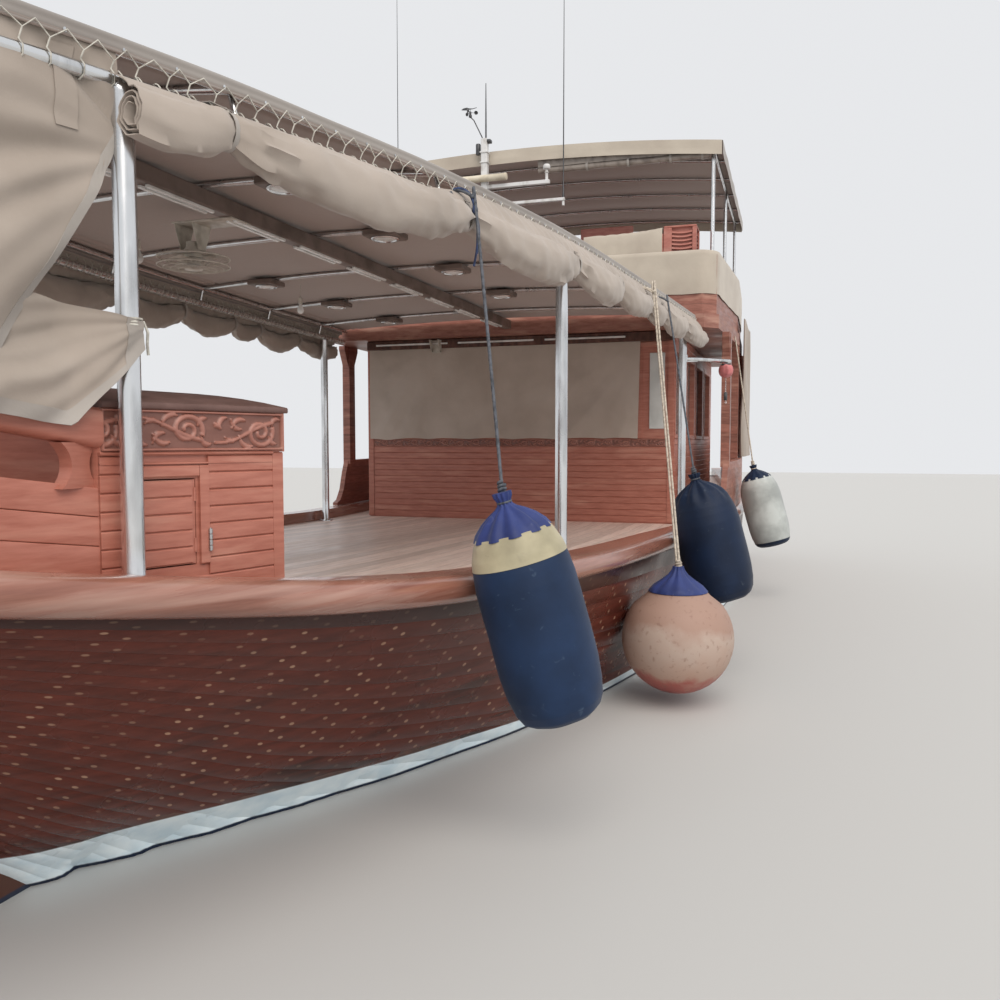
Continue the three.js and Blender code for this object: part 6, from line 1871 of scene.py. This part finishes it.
upper_pipes = mesh_piece("upper_awning_pipes", *solid_of(upper_parts), steel, smooth_angle=45)
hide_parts("upper_awning_frame")

# Upper awning canvas: a cambered sheet stretched over the ribs, in the awning's cloth with its painted shade
# on top and beneath, with a valance all round that hangs from its edge
VALANCE = 0.15
grid = []
for x in even_xs(*UPPER_X, 0.11):
    row = []
    ordered = sorted(UPPER_RIB_XS)
    gaps = [(a, b) for a, b in zip(ordered, ordered[1:]) if a <= x <= b]
    share = (x - gaps[0][0]) / (gaps[0][1] - gaps[0][0]) if gaps else 0
    for j in range(7):
        drop = VALANCE * (1 - j / 6)
        flare = 0.006 * flutter(x * 2.5, drop * 9, 1)
        row.append(Vector((x, -(UPPER_HALF + 0.010 + flare), UPPER_Z + 0.022 - drop)))
    for k in range(1, 36):
        y = UPPER_HALF * (k / 18 - 1)
        sag = 0.018 * sin(pi * share) ** 2 * (1 - (abs(y) / UPPER_HALF) ** 3)
        row.append(Vector((x, y, upper_z(y) + 0.024 - sag)))
    for j in range(7):
        drop = VALANCE * j / 6
        flare = 0.006 * flutter(x * 2.5, drop * 9, 5)
        row.append(Vector((x, UPPER_HALF + 0.010 + flare, UPPER_Z + 0.022 - drop)))
    grid.append(row)
upper_sheet = cloth_piece("upper_awning_sheet", grid, awning_cloth)
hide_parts("upper_awning_canvas")
for x, valance_name in ((UPPER_X[1] + 0.006, "front"), (UPPER_X[0] - 0.006, "aft")):
    grid = []
    for k in range(61):
        y = UPPER_HALF * (k / 30 - 1)
        top = upper_z(y) + 0.026
        grid.append([
            Vector((x + 0.008 * flutter(y * 2.4, j * 0.4, 2) * j / 6, y, top - (VALANCE + 0.02) * j / 6))
            for j in range(7)
        ])
    valance = cloth_piece(f"upper_valance_{valance_name}", grid, dodger_cloth)

# Rolled clear side panel: clear vinyl, yellowed, rolled up behind the front valance
# and held in webbing ties
VINYL_Y, VINYL_AT = (0.30, 2.48), (-2.25, 5.70)
vinyl = grimy_paint("clear_vinyl", (0.33, 0.285, 0.25), (0.20, 0.165, 0.145), 0.18, 9)
grid = []
for y in even_xs(*VINYL_Y, 0.05):
    row = []
    for k in range(45):
        turn = 2 * pi * k / 14
        radius = 0.014 + 0.0105 * turn / (2 * pi)
        radius *= 1 + 0.14 * flutter(y * 4, cos(turn), sin(turn))
        row.append(Vector((VINYL_AT[0] + radius * sin(turn), y, VINYL_AT[1] + radius * cos(turn))))
    for share in (0.5, 1.0):
        row.append(row[44].lerp(Vector((VINYL_AT[0] + 0.06, y, upper_z(y) - 0.021)), share))
    grid.append(row)
vinyl_roll = cloth_piece("rolled_vinyl_panel", grid, vinyl, thickness=0.002)
strap_parts = []
for y in (0.42, 0.95, 1.48, 2.01, 2.40):
    loop = [Vector((VINYL_AT[0] + 0.055 * sin(turn), y, VINYL_AT[1] + 0.055 * cos(turn)))
            for turn in turns(20)]
    outs = [(point - Vector((VINYL_AT[0], y, VINYL_AT[1]))).normalized() for point in loop]
    strap_parts.append(webbing_loop(loop, outs, Vector((0, 0.014, 0)), 0.0015))
outward_faces(mesh_piece("vinyl_ties", *solid_of(strap_parts), webbing, smooth_angle=50))

# Steering station: a planked dash beside a locker with sagging louvres and corner posts,
# at the fore edge of the upper deck, and a wooden bench aft of it
STATION_X, DASH_Y, DASH_TOP = (-2.42, -2.04), (0.98, 1.955), 4.735
LOCKER_Y, LOCKER_TOP, LOCKER_POST = (1.96, 2.36), 4.82, 0.05
UPPER_FLOOR = 3.7203
LOUVRE = ((0, 0), (0.022, -0.008), (0.034, -0.030), (0.030, -0.033), (0.018, -0.014), (0, -0.008))
locker_wood = dull_timber(
    "locker_wood", (0.33, 0.105, 0.080), (0.46, 0.185, 0.145), 0.5, (3, 3, 10), wear=(0.50, 0.27, 0.22)
)
station_parts = [
    eased_box((STATION_X[0], DASH_Y[0], UPPER_FLOOR), (STATION_X[1], DASH_Y[1], DASH_TOP), 0.006)
]
x0, x1, y0, y1 = *STATION_X, *LOCKER_Y
station_parts.append(eased_box(
    (x0 + 0.04, y0 + 0.04, UPPER_FLOOR), (x1 - 0.04, y1 - 0.04, LOCKER_TOP - 0.01), 0.004
))
for x in (x0, x1 - LOCKER_POST):
    for y in (y0, y1 - LOCKER_POST):
        wide = 0.05 if y == y0 and x > x0 else 0
        station_parts.append(eased_box(
            (x, y, UPPER_FLOOR), (x + LOCKER_POST, y + LOCKER_POST + wide, LOCKER_TOP - 0.025), 0.004
        ))
station_parts.append(eased_box((x0, y0, LOCKER_TOP - 0.025), (x1, y1, LOCKER_TOP), 0.006))
for i in range(8):
    z = LOCKER_TOP - 0.055 - 0.048 * i
    for corner, run, out in (
        (Vector((x1 - 0.045, y0 + 0.10, z)), Vector((0, y1 - y0 - 0.15, 0)), Vector((1, 0, 0))),
        (Vector((x0 + 0.05, y1 - 0.045, z)), Vector((x1 - x0 - 0.10, 0, 0)), Vector((0, 1, 0))),
    ):
        rings = []
        for k in range(9):
            droop = Vector((0, 0, -0.014 * sin(pi * k / 8)))
            rings.append([corner + run * (k / 8) + out * a + Vector((0, 0, b)) + droop for a, b in LOUVRE])
        station_parts.append(skin(rings))
station = outward_faces(
    mesh_piece("steering_station_boards", *solid_of(station_parts), locker_wood, smooth_angle=40)
)
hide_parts("steering_station")
bench_parts = [
    eased_box((-3.34, 0.62, 4.86), (-3.31, 1.36, 5.16), 0.005),
    eased_box((-3.34, 0.62, 4.10), (-2.98, 1.36, 4.14), 0.006),
]
for x, y in ((-3.33, 0.66), (-3.33, 1.28), (-3.03, 0.66), (-3.03, 1.28)):
    bench_parts.append(
        eased_box((x, y, UPPER_FLOOR), (x + 0.04, y + 0.04, 4.11 if x > -3.2 else 4.87), 0.004)
    )
bench = mesh_piece("helm_bench", *solid_of(bench_parts), locker_wood)

# Dash cover: pale canvas pulled over the dash in radiating creases up to the locker's side,
# and notched at the wheel
COVER_TOP, COVER_FEET, HELM_AT = 4.752, (4.50, 4.32), Vector((-2.54, 1.46, 4.48))
grid = []
for y in even_xs(0.955, 1.945, 0.025):
    share = (y - 0.955) / 0.99
    crease = 0.010 * abs(sin(7 * share ** 1.5 * pi)) * (1 - share) ** 0.5
    rise = 0.05 * share ** 3 + crease
    notch = 0.25 * exp(-((y - HELM_AT.y) / 0.10) ** 2)
    aft, fore = STATION_X[0] - 0.010, STATION_X[1] + 0.010
    row = [Vector((fore + crease, y, COVER_FEET[0])), Vector((fore + crease * 0.7, y,
        (COVER_FEET[0] + COVER_TOP) / 2)),
           Vector((fore, y, COVER_TOP - 0.02)), Vector((fore - 0.015, y, COVER_TOP + rise))]
    row += [Vector((fore - 0.36 * k / 6, y, COVER_TOP + rise + 0.006 * flutter(k, y * 6, 1)))
            for k in range(1, 6)]
    row += [Vector((aft + 0.012, y, COVER_TOP + rise)), Vector((aft, y, COVER_TOP - 0.02))]
    foot = COVER_FEET[1] + notch
    row += [
        Vector((aft - crease * share, y, COVER_TOP - 0.02 + (foot - COVER_TOP + 0.02) * k / 5))
        for k in range(1, 6)
    ]
    grid.append(row)
cover = cloth_piece("dash_canvas", grid, dodger_cloth)
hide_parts("dash_cover")

# Helm: a turned wooden wheel with six spokes and handles on a hub,
# on a shaft through the dash
HELM_RADIUS, HELM_REACH = 0.23, 0.30
wheel_parts = [tube(
    [HELM_AT + Vector((0, HELM_RADIUS * cos(turn), HELM_RADIUS * sin(turn)))
     for turn in turns(64)], 0.0135, 14,
)]
spoke_turning = [(0.03, 0.009), (0.08, 0.008), (0.13, 0.0105), (0.17, 0.0075), (0.21, 0.009), (0.245, 0.008),
                 (0.262, 0.0108), (0.285, 0.0095), (HELM_REACH - 0.002, 0.006), (HELM_REACH, 0.001)]
for k in range(6):
    turn = pi * k / 3
    wheel_parts.append(turned(spoke_turning, HELM_AT, (0, cos(turn), sin(turn)), 14))
wheel_parts.append(turned(
    [(0, 0.001), (0.002, 0.022), (0.010, 0.037), (0.060, 0.037), (0.072, 0.030), (0.154, 0.028)],
    (-2.575, HELM_AT.y, HELM_AT.z), (1, 0, 0), 32,
))
wheel = mesh_piece("helm_wheel_turned", *solid_of(wheel_parts), dark_wood, "helm_body", smooth_angle=50)
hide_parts("helm_wheel")

# Instrument mast: a white painted square post bolted to the upper deck, with crossarms,
# a cream tube aerial, a mushroom aerial and a dark wind arm
MAST_AT, MAST_TOP = Vector((-2.06, -0.38, 0)), 6.12
mast_white = grimy_paint("mast_white", (0.66, 0.66, 0.66), (0.45, 0.43, 0.41), 0.35, 9)
mast_parts = [
    eased_box((-2.103, -0.423, UPPER_FLOOR), (-2.017, -0.337, MAST_TOP), 0.010),
    eased_box((-2.135, -0.455, UPPER_FLOOR), (-1.985, -0.305, UPPER_FLOOR + 0.018), 0.004),
    eased_box((-2.085, -0.64, 5.47), (-2.035, 0.50, 5.52), 0.005),
    eased_box((-2.080, -0.38, 5.24), (-2.040, 0.70, 5.28), 0.005),
    eased_box((-2.085, -0.405, 5.562), (-1.992, -0.355, 5.618), 0.004),
    eased_box((-2.115, -0.435, 5.93), (-2.005, -0.325, 5.952), 0.004),
    eased_box((-2.115, -0.435, 5.80), (-2.005, -0.325, 5.818), 0.004),
    turned([(0, 0.020), (0.10, 0.018), (0.112, 0.030), (0.125, 0.020), (0.15, 0.018), (0.155, 0.040),
        (0.165, 0.0475),
            (0.195, 0.0465), (0.213, 0.036), (0.220, 0.001)], (-2.06, 0.46, 5.50)),
    turned([(0, 0.017), (0.05, 0.017), (0.052, 0.011), (0.10, 0.011)], (-2.06, 0.68, 5.18), UP, 18),
]
mast = mesh_piece("mast_post", *solid_of(mast_parts), mast_white, smooth_angle=40)
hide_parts("instrument_mast")
tube_cream = grimy_paint("tube_cream", (0.66, 0.60, 0.48), (0.48, 0.42, 0.32), 0.4, 6)
mesh_piece("tube_aerial", *turned(
    [(0, 0.001), (0.002, 0.036), (0.012, 0.0475), (0.040, 0.048), (0.044, 0.045), (0.616, 0.045),
        (0.620, 0.048),
     (0.648, 0.0475), (0.658, 0.036), (0.660, 0.001)], (-1.985, -0.71, 5.59), (0, 1, 0), 36,
), tube_cream, smooth_angle=40)
dark_fitting = grimy_paint("dark_fitting", (0.060, 0.062, 0.068), (0.030, 0.030, 0.032), 0.4, 20)
wind_arm = [MAST_AT + Vector((0, dy, z)) for dy, z in (
    (-0.02, 6.06), (-0.035, 6.14), (-0.075, 6.22), (-0.115, 6.30), (-0.150, 6.37), (
        -0.185, 6.405
    ), (-0.20, 6.415)
)]
gear_parts = [
    tube(wind_arm, 0.0075, 12),
    tube(
        [MAST_AT + Vector((0.01, 0.02, z)) for z in (6.04, 6.3, 6.55, 6.82)], [0.011, 0.010, 0.008, 0.005],
        12
    ),
    turned([(0, 0.010), (0.008, 0.022), (0.034, 0.020), (0.0395, 0.012)], (-2.06, -0.58, 6.41), UP, 20),
    turned([(0, 0.028), (0.01, 0.032), (0.13, 0.032), (0.14, 0.026)], (-2.06, -0.47, 5.92), UP, 24),
    eased_box((-2.10, -0.34, 6.06), (-2.02, -0.29, 6.10), 0.004),
]
mesh_piece("mast_fittings", *solid_of(gear_parts), dark_fitting, smooth_angle=50)

# Wind cups: three open moulded hemispheres on thin arms round a hub,
# turning under a fixed vane
CUPS_AT = Vector((-2.06, -0.58, 6.476))
CUP = [(0, 0.001), (0.003, 0.013), (0.011, 0.022), (0.022, 0.0255), (0.023, 0.0245), (0.012, 0.0205),
    (0.005, 0.012),
       (0.002, 0.001)]
cup_parts = [turned([(0, 0.010), (0.004, 0.015), (0.034, 0.015), (0.039, 0.009)],
    CUPS_AT - Vector((0, 0, 0.0255)),
                    (0, 0, 1), 20)]
for k in range(3):
    turn = 2 * pi * k / 3
    out, ahead = Vector((cos(turn), sin(turn), 0)), Vector((-sin(turn), cos(turn), 0))
    cup_parts.append(tube([CUPS_AT + out * 0.012, CUPS_AT + out * 0.060], 0.0028, 10))
    cup_parts.append(turned(CUP, CUPS_AT + out * 0.075 + ahead * 0.011, -ahead, 20))
cups = mesh_piece("wind_cups_spun", *solid_of(cup_parts), dark_fitting, "wind_body", smooth_angle=50)
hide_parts("wind_cups")
vane_outline = [(-0.125, 0.0), (-0.10, 0.018), (-0.05, 0.024), (-0.01, 0.010), (0.03, 0.004), (0.09, 0.012),
                (0.09, 0.006), (0.03, -0.004), (-0.01, -0.006), (-0.05, -0.012), (-0.10, -0.006)]
rings = [[CUPS_AT + Vector((dx, a, 0.045 + b)) for a, b in vane_outline] for dx in (-0.0025, 0.0025)]
vane_parts = [skin(rings)]
vane_parts.append(tube([CUPS_AT + Vector((0, 0, z)) for z in (-0.02, 0.02, 0.048)], 0.003, 10))
outward_faces(mesh_piece("wind_vane", *solid_of(vane_parts), dark_fitting))

# Whip aerials: tapered dark rods in stepped sockets, one on the mast's lower arm
# and one on the deck
whip_black = grimy_paint("whip_black", (0.045, 0.045, 0.050), (0.022, 0.022, 0.024), 0.35, 30)
for node, x, y, foot, top, socket in (
    ("whip_mast", -2.06, 0.68, 5.281, 8.30, 0.016), ("whip_deck", -2.06, -1.62, UPPER_FLOOR, 8.10, 0.030)
):
    rod_line = [(0, socket), (0.05, socket), (0.055, 0.013), (0.16, 0.012), (0.165, 0.0085)]
    rod_line += [(0.165 + (top - foot - 0.165) * k / 6, 0.0085 - 0.0055 * k / 6) for k in range(1, 7)]
    whip = mesh_piece(node + "_rod", *turned(rod_line, (x, y, foot), UP, 14), whip_black, smooth_angle=50)
    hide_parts(node)

# Ropes: three-strand laid rope, each strand twisted round the others,
# bent over rails and knotted in a few tight turns
def laid_rope(points, radius, lay=0.055):
    """Vertices and faces of a rope along points, its three strands standing out in a slow twist."""
    fine = [points[0]]
    for a, b in zip(points, points[1:]):
        count = max(1, ceil((b - a).length / (lay / 7)))
        fine += [a.lerp(b, k / count) for k in range(1, count + 1)]
    heading = (fine[-1] - fine[0]).normalized()
    across = heading.orthogonal().normalized()
    rings, run = [], 0
    for i, point in enumerate(fine):
        if i:
            run += (point - fine[i - 1]).length
        heading = heading_at(fine, i)
        across = (across - heading * across.dot(heading)).normalized()
        other = heading.cross(across)
        rings.append([
            point + (across * cos(turn) + other * sin(turn))
            * radius * (0.90 + 0.17 * abs(cos(1.5 * turn - pi * run / lay)))
            for turn in turns(12)[:-1]
        ])
    return skin(rings)


def bend_through(points, steps=7):
    """A smooth line through points."""
    padded = [points[0] * 2 - points[1]] + list(points) + [points[-1] * 2 - points[-2]]
    line = []
    for a, b, c, d in zip(padded, padded[1:], padded[2:], padded[3:]):
        for k in range(steps):
            t = k / steps
            line.append(
                0.5 * (
                    2 * b + (c - a) * t + (
                        2 * a - 5 * b + 4 * c - d
                    ) * t ** 2 + (3 * b - a - 3 * c + d) * t ** 3
                )
            )
    return line + [points[-1]]


def knot(at, heading, radius, laps=3):
    """Vertices and faces of a few turns of rope pulled tight round at."""
    across = heading.orthogonal().normalized()
    other = heading.cross(across)
    return tube([
        at + heading * (radius * 0.9 * (turn / pi - laps)) + (
            across * cos(turn) + other * sin(turn)
        ) * radius * 1.5
        for turn in turns(14, 14 * laps)
    ], radius * 0.85, 8)


# Fenders: inflated buoys in knitted navy covers or bare white vinyl, drawn together in pleats
# at the head, each slung from a rope that is hitched to a rail
ROPE_RADIUS = 0.009
SLEEVE = ((-1.0, 0.001), (-0.995, 0.45), (-0.975, 0.66), (-0.93, 0.80), (-0.85, 0.89), (-0.70, 0.955),
    (-0.50, 0.99),
          (-0.2, 1.0), (0.1, 1.0), (0.3, 0.99), (
              0.45, 0.955
          ), (0.58, 0.90), (0.70, 0.80), (0.80, 0.67), (0.88, 0.50),
          (0.94, 0.33), (0.98, 0.19), (1.01, 0.13), (1.04, 0.12), (1.08, 0.16), (1.12, 0.17), (1.125, 0.001))


def fender_skin(at, up, radius, half, low, high, pleats, proud=0.0):
    """Vertices and faces of a fender's cover between two shares of its length."""
    across = up.orthogonal().normalized()
    other = up.cross(across)
    shares = sorted({low, high, *(t for t, r in SLEEVE if low < t < high), *even_xs(low, high, 0.03)})
    rings = []
    for share in shares:
        for (a, ra), (b, rb) in zip(SLEEVE, SLEEVE[1:]):
            if a <= share <= b:
                wide = ra + (rb - ra) * (share - a) / (b - a)
        gather = min(1, max(0, (share - 0.60) / 0.3)) * pleats
        pucker = min(1, max(0, (-0.72 - share) / 0.2)) * pleats
        ring = []
        for turn in turns(72)[:-1]:
            slack = flutter(cos(turn) * 1.2, sin(turn) * 1.2, share * 2.0 + at.x)
            wave = 1 + 0.014 * slack + 0.10 * gather * sin(11 * turn + slack) + 0.02 * pucker * sin(7 * turn)
            ring.append(at + up * (share * half) + (across * cos(turn) + other * sin(turn)) * (
                radius * wide * wave + proud
            ))
        rings.append(ring)
    return skin(rings)


def cover_cloth(name, colour, rubbed, roughness=0.6):
    """Knitted fender cover: a fine rib, faded patches and pale scuffs."""
    material, tree, shader = node_material(name)
    place = object_place(tree)
    cloth = ramp_of(tree, noise_of(tree, place, 3.2, 8), (0.35, [c * 0.62 for c in colour]), (0.62, colour))
    scuffs = noise_of(tree, place, 19, 10, Distortion=0.8)
    height = maths(tree, "MULTIPLY_ADD", noise_of(tree, place, 340, 2), 0.3, scuffs)
    wire(tree, shader, {
        "Base Color": blend(tree, ranged(tree, scuffs, 0.66, 0.76, 0, 0.55), cloth, (*rubbed, 1)),
        "Roughness": roughness, "Sheen Weight": 0.05, "Specular IOR Level": 0.25,
        "Normal": bump_of(tree, height, 0.22, 0.003),
    })
    return material


navy_cloth = cover_cloth("navy_cloth", (0.012, 0.032, 0.085), (0.07, 0.11, 0.17))
deep_navy_cloth = cover_cloth("deep_navy_cloth", (0.006, 0.017, 0.048), (0.06, 0.08, 0.11), 0.55)
blue_cap = cover_cloth("blue_cap", (0.036, 0.056, 0.200), (0.16, 0.18, 0.30), 0.5)
cream_vinyl = cover_cloth("cream_vinyl", (0.50, 0.53, 0.515), (0.28, 0.28, 0.26), 0.4)
band_vinyl = cover_cloth("band_vinyl", (0.52, 0.47, 0.32), (0.30, 0.27, 0.19), 0.5)
dark_rope = grimy_paint("dark_rope", (0.10, 0.11, 0.13), (0.045, 0.05, 0.06), 0.8, 40)
pale_rope = grimy_paint("pale_rope", (0.55, 0.49, 0.41), (0.34, 0.29, 0.24), 0.8, 40)


def leaning(inward, fore):
    """A fender's own axis, from how far its head leans inboard and forward, in degrees."""
    a, b = radians(inward), radians(fore)
    return Vector((cos(a) * sin(b), -sin(a), cos(a) * cos(b)))


def rail_tie(x):
    """Points of a rope from outside the curtain's roll, over the rail, to its hitch."""
    y = rail_y(x)
    return [Vector((x, y + 0.176, 3.455)), Vector((x, y + 0.152, 3.540)), Vector((x, y + 0.06, 3.586)),
            Vector((x, y - 0.012, 3.574))]


FENDERS = (
    ("fender_1", Vector((4.82, 2.274, 1.262)), leaning(14, 6), 0.270, 0.585, rail_tie(4.44), dark_rope),
    ("fender_3", Vector((0.98, 2.845, 1.266)), leaning(14.5, 2), 0.300, 0.560, rail_tie(0.34), dark_rope),
    (
        "fender_4", Vector((-3.60, 3.162, 1.260)), leaning(15, 0), 0.270, 0.540,
        [Vector((-3.60, 2.738, 3.62))], pale_rope
    ),
)
for node, at, up, radius, half, tie, rope_look in FENDERS:
    form, ends = (at, up, radius, half), []
    if node == "fender_1":
        body = mesh_piece(node + "_cover", *fender_skin(*form, -1.0, 0.64, 1), navy_cloth, smooth_angle=60)
        band = mesh_piece(
            node + "_band", *fender_skin(*form, 0.50, 0.76, 0.3, 0.003), band_vinyl, smooth_angle=60
        )
        ends = [fender_skin(*form, 0.74, 1.125, 1, 0.004)]
    elif node == "fender_3":
        body = mesh_piece(
            node + "_cover", *fender_skin(*form, -1.0, 1.125, 1), deep_navy_cloth, smooth_angle=60
        )
    else:
        body = mesh_piece(node + "_skin", *fender_skin(*form, -1.0, 0.80, 0), cream_vinyl, smooth_angle=60)
        ends = [fender_skin(*form, 0.76, 1.125, 0.4, 0.003), fender_skin(*form, -1.0, -0.86, 0, 0.004)]
    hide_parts(node)
    if ends:
        caps = mesh_piece(
            node + "_ends", *solid_of(ends), blue_cap if node == "fender_1" else deep_navy_cloth,
            smooth_angle=60
        )
    eye = at + up * (half * 1.08)
    rope_parts = [laid_rope(bend_through([eye, *tie]), ROPE_RADIUS)]
    rope_parts.append(knot(eye + (tie[0] - eye).normalized() * 0.05, (tie[0] - eye).normalized(), 0.011))
    across = up.orthogonal().normalized()
    rope_parts.append(tube([
        at + up * (half * 1.03) + (across * cos(turn) + up.cross(across) * sin(turn)) * radius * 0.135
        for turn in turns(24, 48)
    ], 0.006, 8))
    if len(tie) > 1:
        rope_parts.append(knot(Vector((tie[-1].x, rail_y(tie[-1].x), RAIL_Z)), Vector((1, 0, 0)), 0.026, 2))
    mesh_piece(node + "_rope", *solid_of(rope_parts), rope_look, smooth_angle=60)

# Ball fender: faded orange vinyl, chalky above and still red below, under a blue moulded cap,
# slung from a doubled rope
BALL_AT, BALL_RADIUS = Vector((1.89, 2.665, 0.55)), 0.455


def faded_vinyl():
    material, tree, shader = node_material("faded_vinyl")
    place = object_place(tree)
    level = maths(tree, "MULTIPLY_ADD", noise_of(tree, place, 3.4, 10), 0.55, axis_of(tree, place, "Z"))
    vinyl_colour = ramp_of(
        tree, level, (0.34, (0.28, 0.040, 0.034)), (0.50, (0.36, 0.095, 0.075)), (0.58, (0.43, 0.28, 0.215)),
        (0.88, (0.44, 0.34, 0.285)), (1.0, (0.36, 0.23, 0.18)),
    )
    specks = noise_of(tree, place, 24, 12)
    wire(tree, shader, {
        "Base Color": blend(
            tree, ranged(tree, specks, 0.58, 0.72, 0, 0.5), vinyl_colour, (0.20, 0.10, 0.07, 1)
        ),
        "Roughness": ranged(tree, level, 0.4, 0.7, 0.30, 0.62),
        "Normal": bump_of(tree, specks, 0.12, 0.002),
    })
    return material


ball_profile = [(-cos(pi * k / 24) * BALL_RADIUS, max(0.001, sin(pi * k / 24) * BALL_RADIUS))
                for k in range(18)]
ball_profile += [(0.355, 0.262), (0.400, 0.220), (0.430, 0.195)]
ball = mesh_piece("ball_fender", *turned(ball_profile, BALL_AT, UP, 96), faded_vinyl(), smooth_angle=60)
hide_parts("fender_2")
cap_profile = [(0.385, 0.2405), (0.390, 0.242), (0.430, 0.204), (0.480, 0.130), (0.520, 0.082),
    (0.555, 0.056),
               (0.575, 0.047), (0.592, 0.044), (0.594, 0.001)]
rings = []
for along_axis, radius in cap_profile:
    rings.append([
        BALL_AT + Vector((cos(turn), sin(turn), 0)) * radius
        * (
            1 + 0.07 * sin(10 * turn) * min(1, max(0, (along_axis - 0.40) / 0.06))
        ) + Vector((0, 0, along_axis))
        for turn in turns(80)[:-1]
    ])
ball_cap = mesh_piece(
    "ball_fender_cap", *skin(rings), blue_cap, smooth_angle=60
)
eye = BALL_AT + Vector((0, 0, 0.585))
ball_tie = rail_tie(0.90)
sling_parts = [knot(eye + Vector((0, 0, 0.02)), Vector((0, 0, 1)), 0.013, 3)]
for shift in (-0.011, 0.011):
    off = Vector((0, shift, 0))
    sling_parts.append(
        laid_rope(bend_through([eye + off, *(point + off for point in ball_tie)]), ROPE_RADIUS)
    )
sling_parts.append(knot(Vector((0.90, rail_y(0.90), RAIL_Z)), Vector((1, 0, 0)), 0.026, 2))
mesh_piece("ball_fender_sling", *solid_of(sling_parts), pale_rope, smooth_angle=60)

# Davit: a slim steel pillar clamped to the aft port post, and an arm that swings on it
# with an electric hoist, its chain and its hook
DAVIT_AT, ARM_Z, ARM_REACH, ARM_HEADING = Vector((-1.37, rail_y(-1.37) - 0.01, 0)), 3.13, 0.72, radians(138)
finish_node("davit_pillar", steel, bevel=0.003)
ARM_WAY = Vector((cos(ARM_HEADING), sin(ARM_HEADING), 0))


def arm_point(reach, z):
    return DAVIT_AT + ARM_WAY * reach + Vector((0, 0, z))


sleeve = [(0, 0.017), (0.0005, 0.033), (0.004, 0.034), (0.080, 0.034), (0.0845, 0.031), (0.0845, 0.017)]
arm_parts = [
    turned(sleeve, DAVIT_AT + Vector((0, 0, 3.0903))),
    turned([(0.026, 0.001), (0.0265, 0.022), (0.06, 0.022), (0.712, 0.022), (0.72, 0.018), (0.7205, 0.001)],
           arm_point(0, ARM_Z), ARM_WAY, 28),
    tube([arm_point(0.03, 3.098), arm_point(0.20, 3.108)], 0.008, 10),
]
arm = mesh_piece("davit_arm_pipe", *solid_of(arm_parts), steel, "davit_body", smooth_angle=45)
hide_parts("davit_arm")
HOIST_REACH, HOIST_Z = 0.65, 3.02
faded_red_paint = grimy_paint("faded_red_paint", (0.60, 0.19, 0.19), (0.40, 0.12, 0.12), 0.4, 14)
housing = [(-0.060, 0.001), (-0.0595, 0.030), (-0.058, 0.034), (-0.050, 0.072), (-0.040, 0.082),
    (-0.030, 0.0845),
           (0.030, 0.0845), (0.045, 0.078), (0.058, 0.060), (0.060, 0.001)]
hoist_body = mesh_piece(
    "hoist_housing", *turned(
        housing, arm_point(HOIST_REACH, HOIST_Z), ARM_WAY, 40
    ), faded_red_paint, "davit_body",
    smooth_angle=40,
)
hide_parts("hoist")
dark_parts = [
    turned([(0, 0.030), (0.020, 0.052), (0.036, 0.060), (0.046, 0.050), (0.052, 0.028)],
           arm_point(HOIST_REACH, 3.052)),
    turned(
        [(0, 0.001), (0.0005, 0.012), (0.004, 0.013), (0.006, 0.001)],
        arm_point(HOIST_REACH + 0.0595, HOIST_Z), ARM_WAY, 20
    ),
    eased_box(tuple(arm_point(HOIST_REACH, 2.66) - Vector((0.019, 0.019, 0))),
              tuple(arm_point(HOIST_REACH, 2.76) + Vector((0.019, 0.019, 0))), 0.006),
]
hoist_dark = mesh_piece("hoist_fittings", *solid_of(dark_parts), dark_fitting, "davit_body", smooth_angle=45)
hook_line = [arm_point(HOIST_REACH + d, z) for d, z in (
    (0, 2.665), (0, 2.655), (0.010, 2.648), (0.016, 2.640), (0.012, 2.632), (0.002, 2.6295),
    (-0.008, 2.634), (-0.012, 2.643)
)]
chain_parts = [tube(hook_line, 0.0042, 10)]
for k in range(13):
    link_at = arm_point(HOIST_REACH, 2.94 - 0.0145 * k)
    side_way = ARM_WAY if k % 2 else Vector((-ARM_WAY.y, ARM_WAY.x, 0))
    chain_parts.append(tube([
        link_at + side_way * 0.0055 * sin(turn) + Vector((0, 0, 0.0095 * cos(turn)))
        for turn in turns(12)
    ], 0.0017, 6))
hoist_chain = mesh_piece(
    "hoist_chain_and_hook", *solid_of(chain_parts), steel, "davit_body", smooth_angle=60
)

# Engine: a plain dark painted block on its bed under the deck, out of sight,
# at the head of the propeller's shaft
finish_node("engine_block", dark_fitting, bevel=0.01)
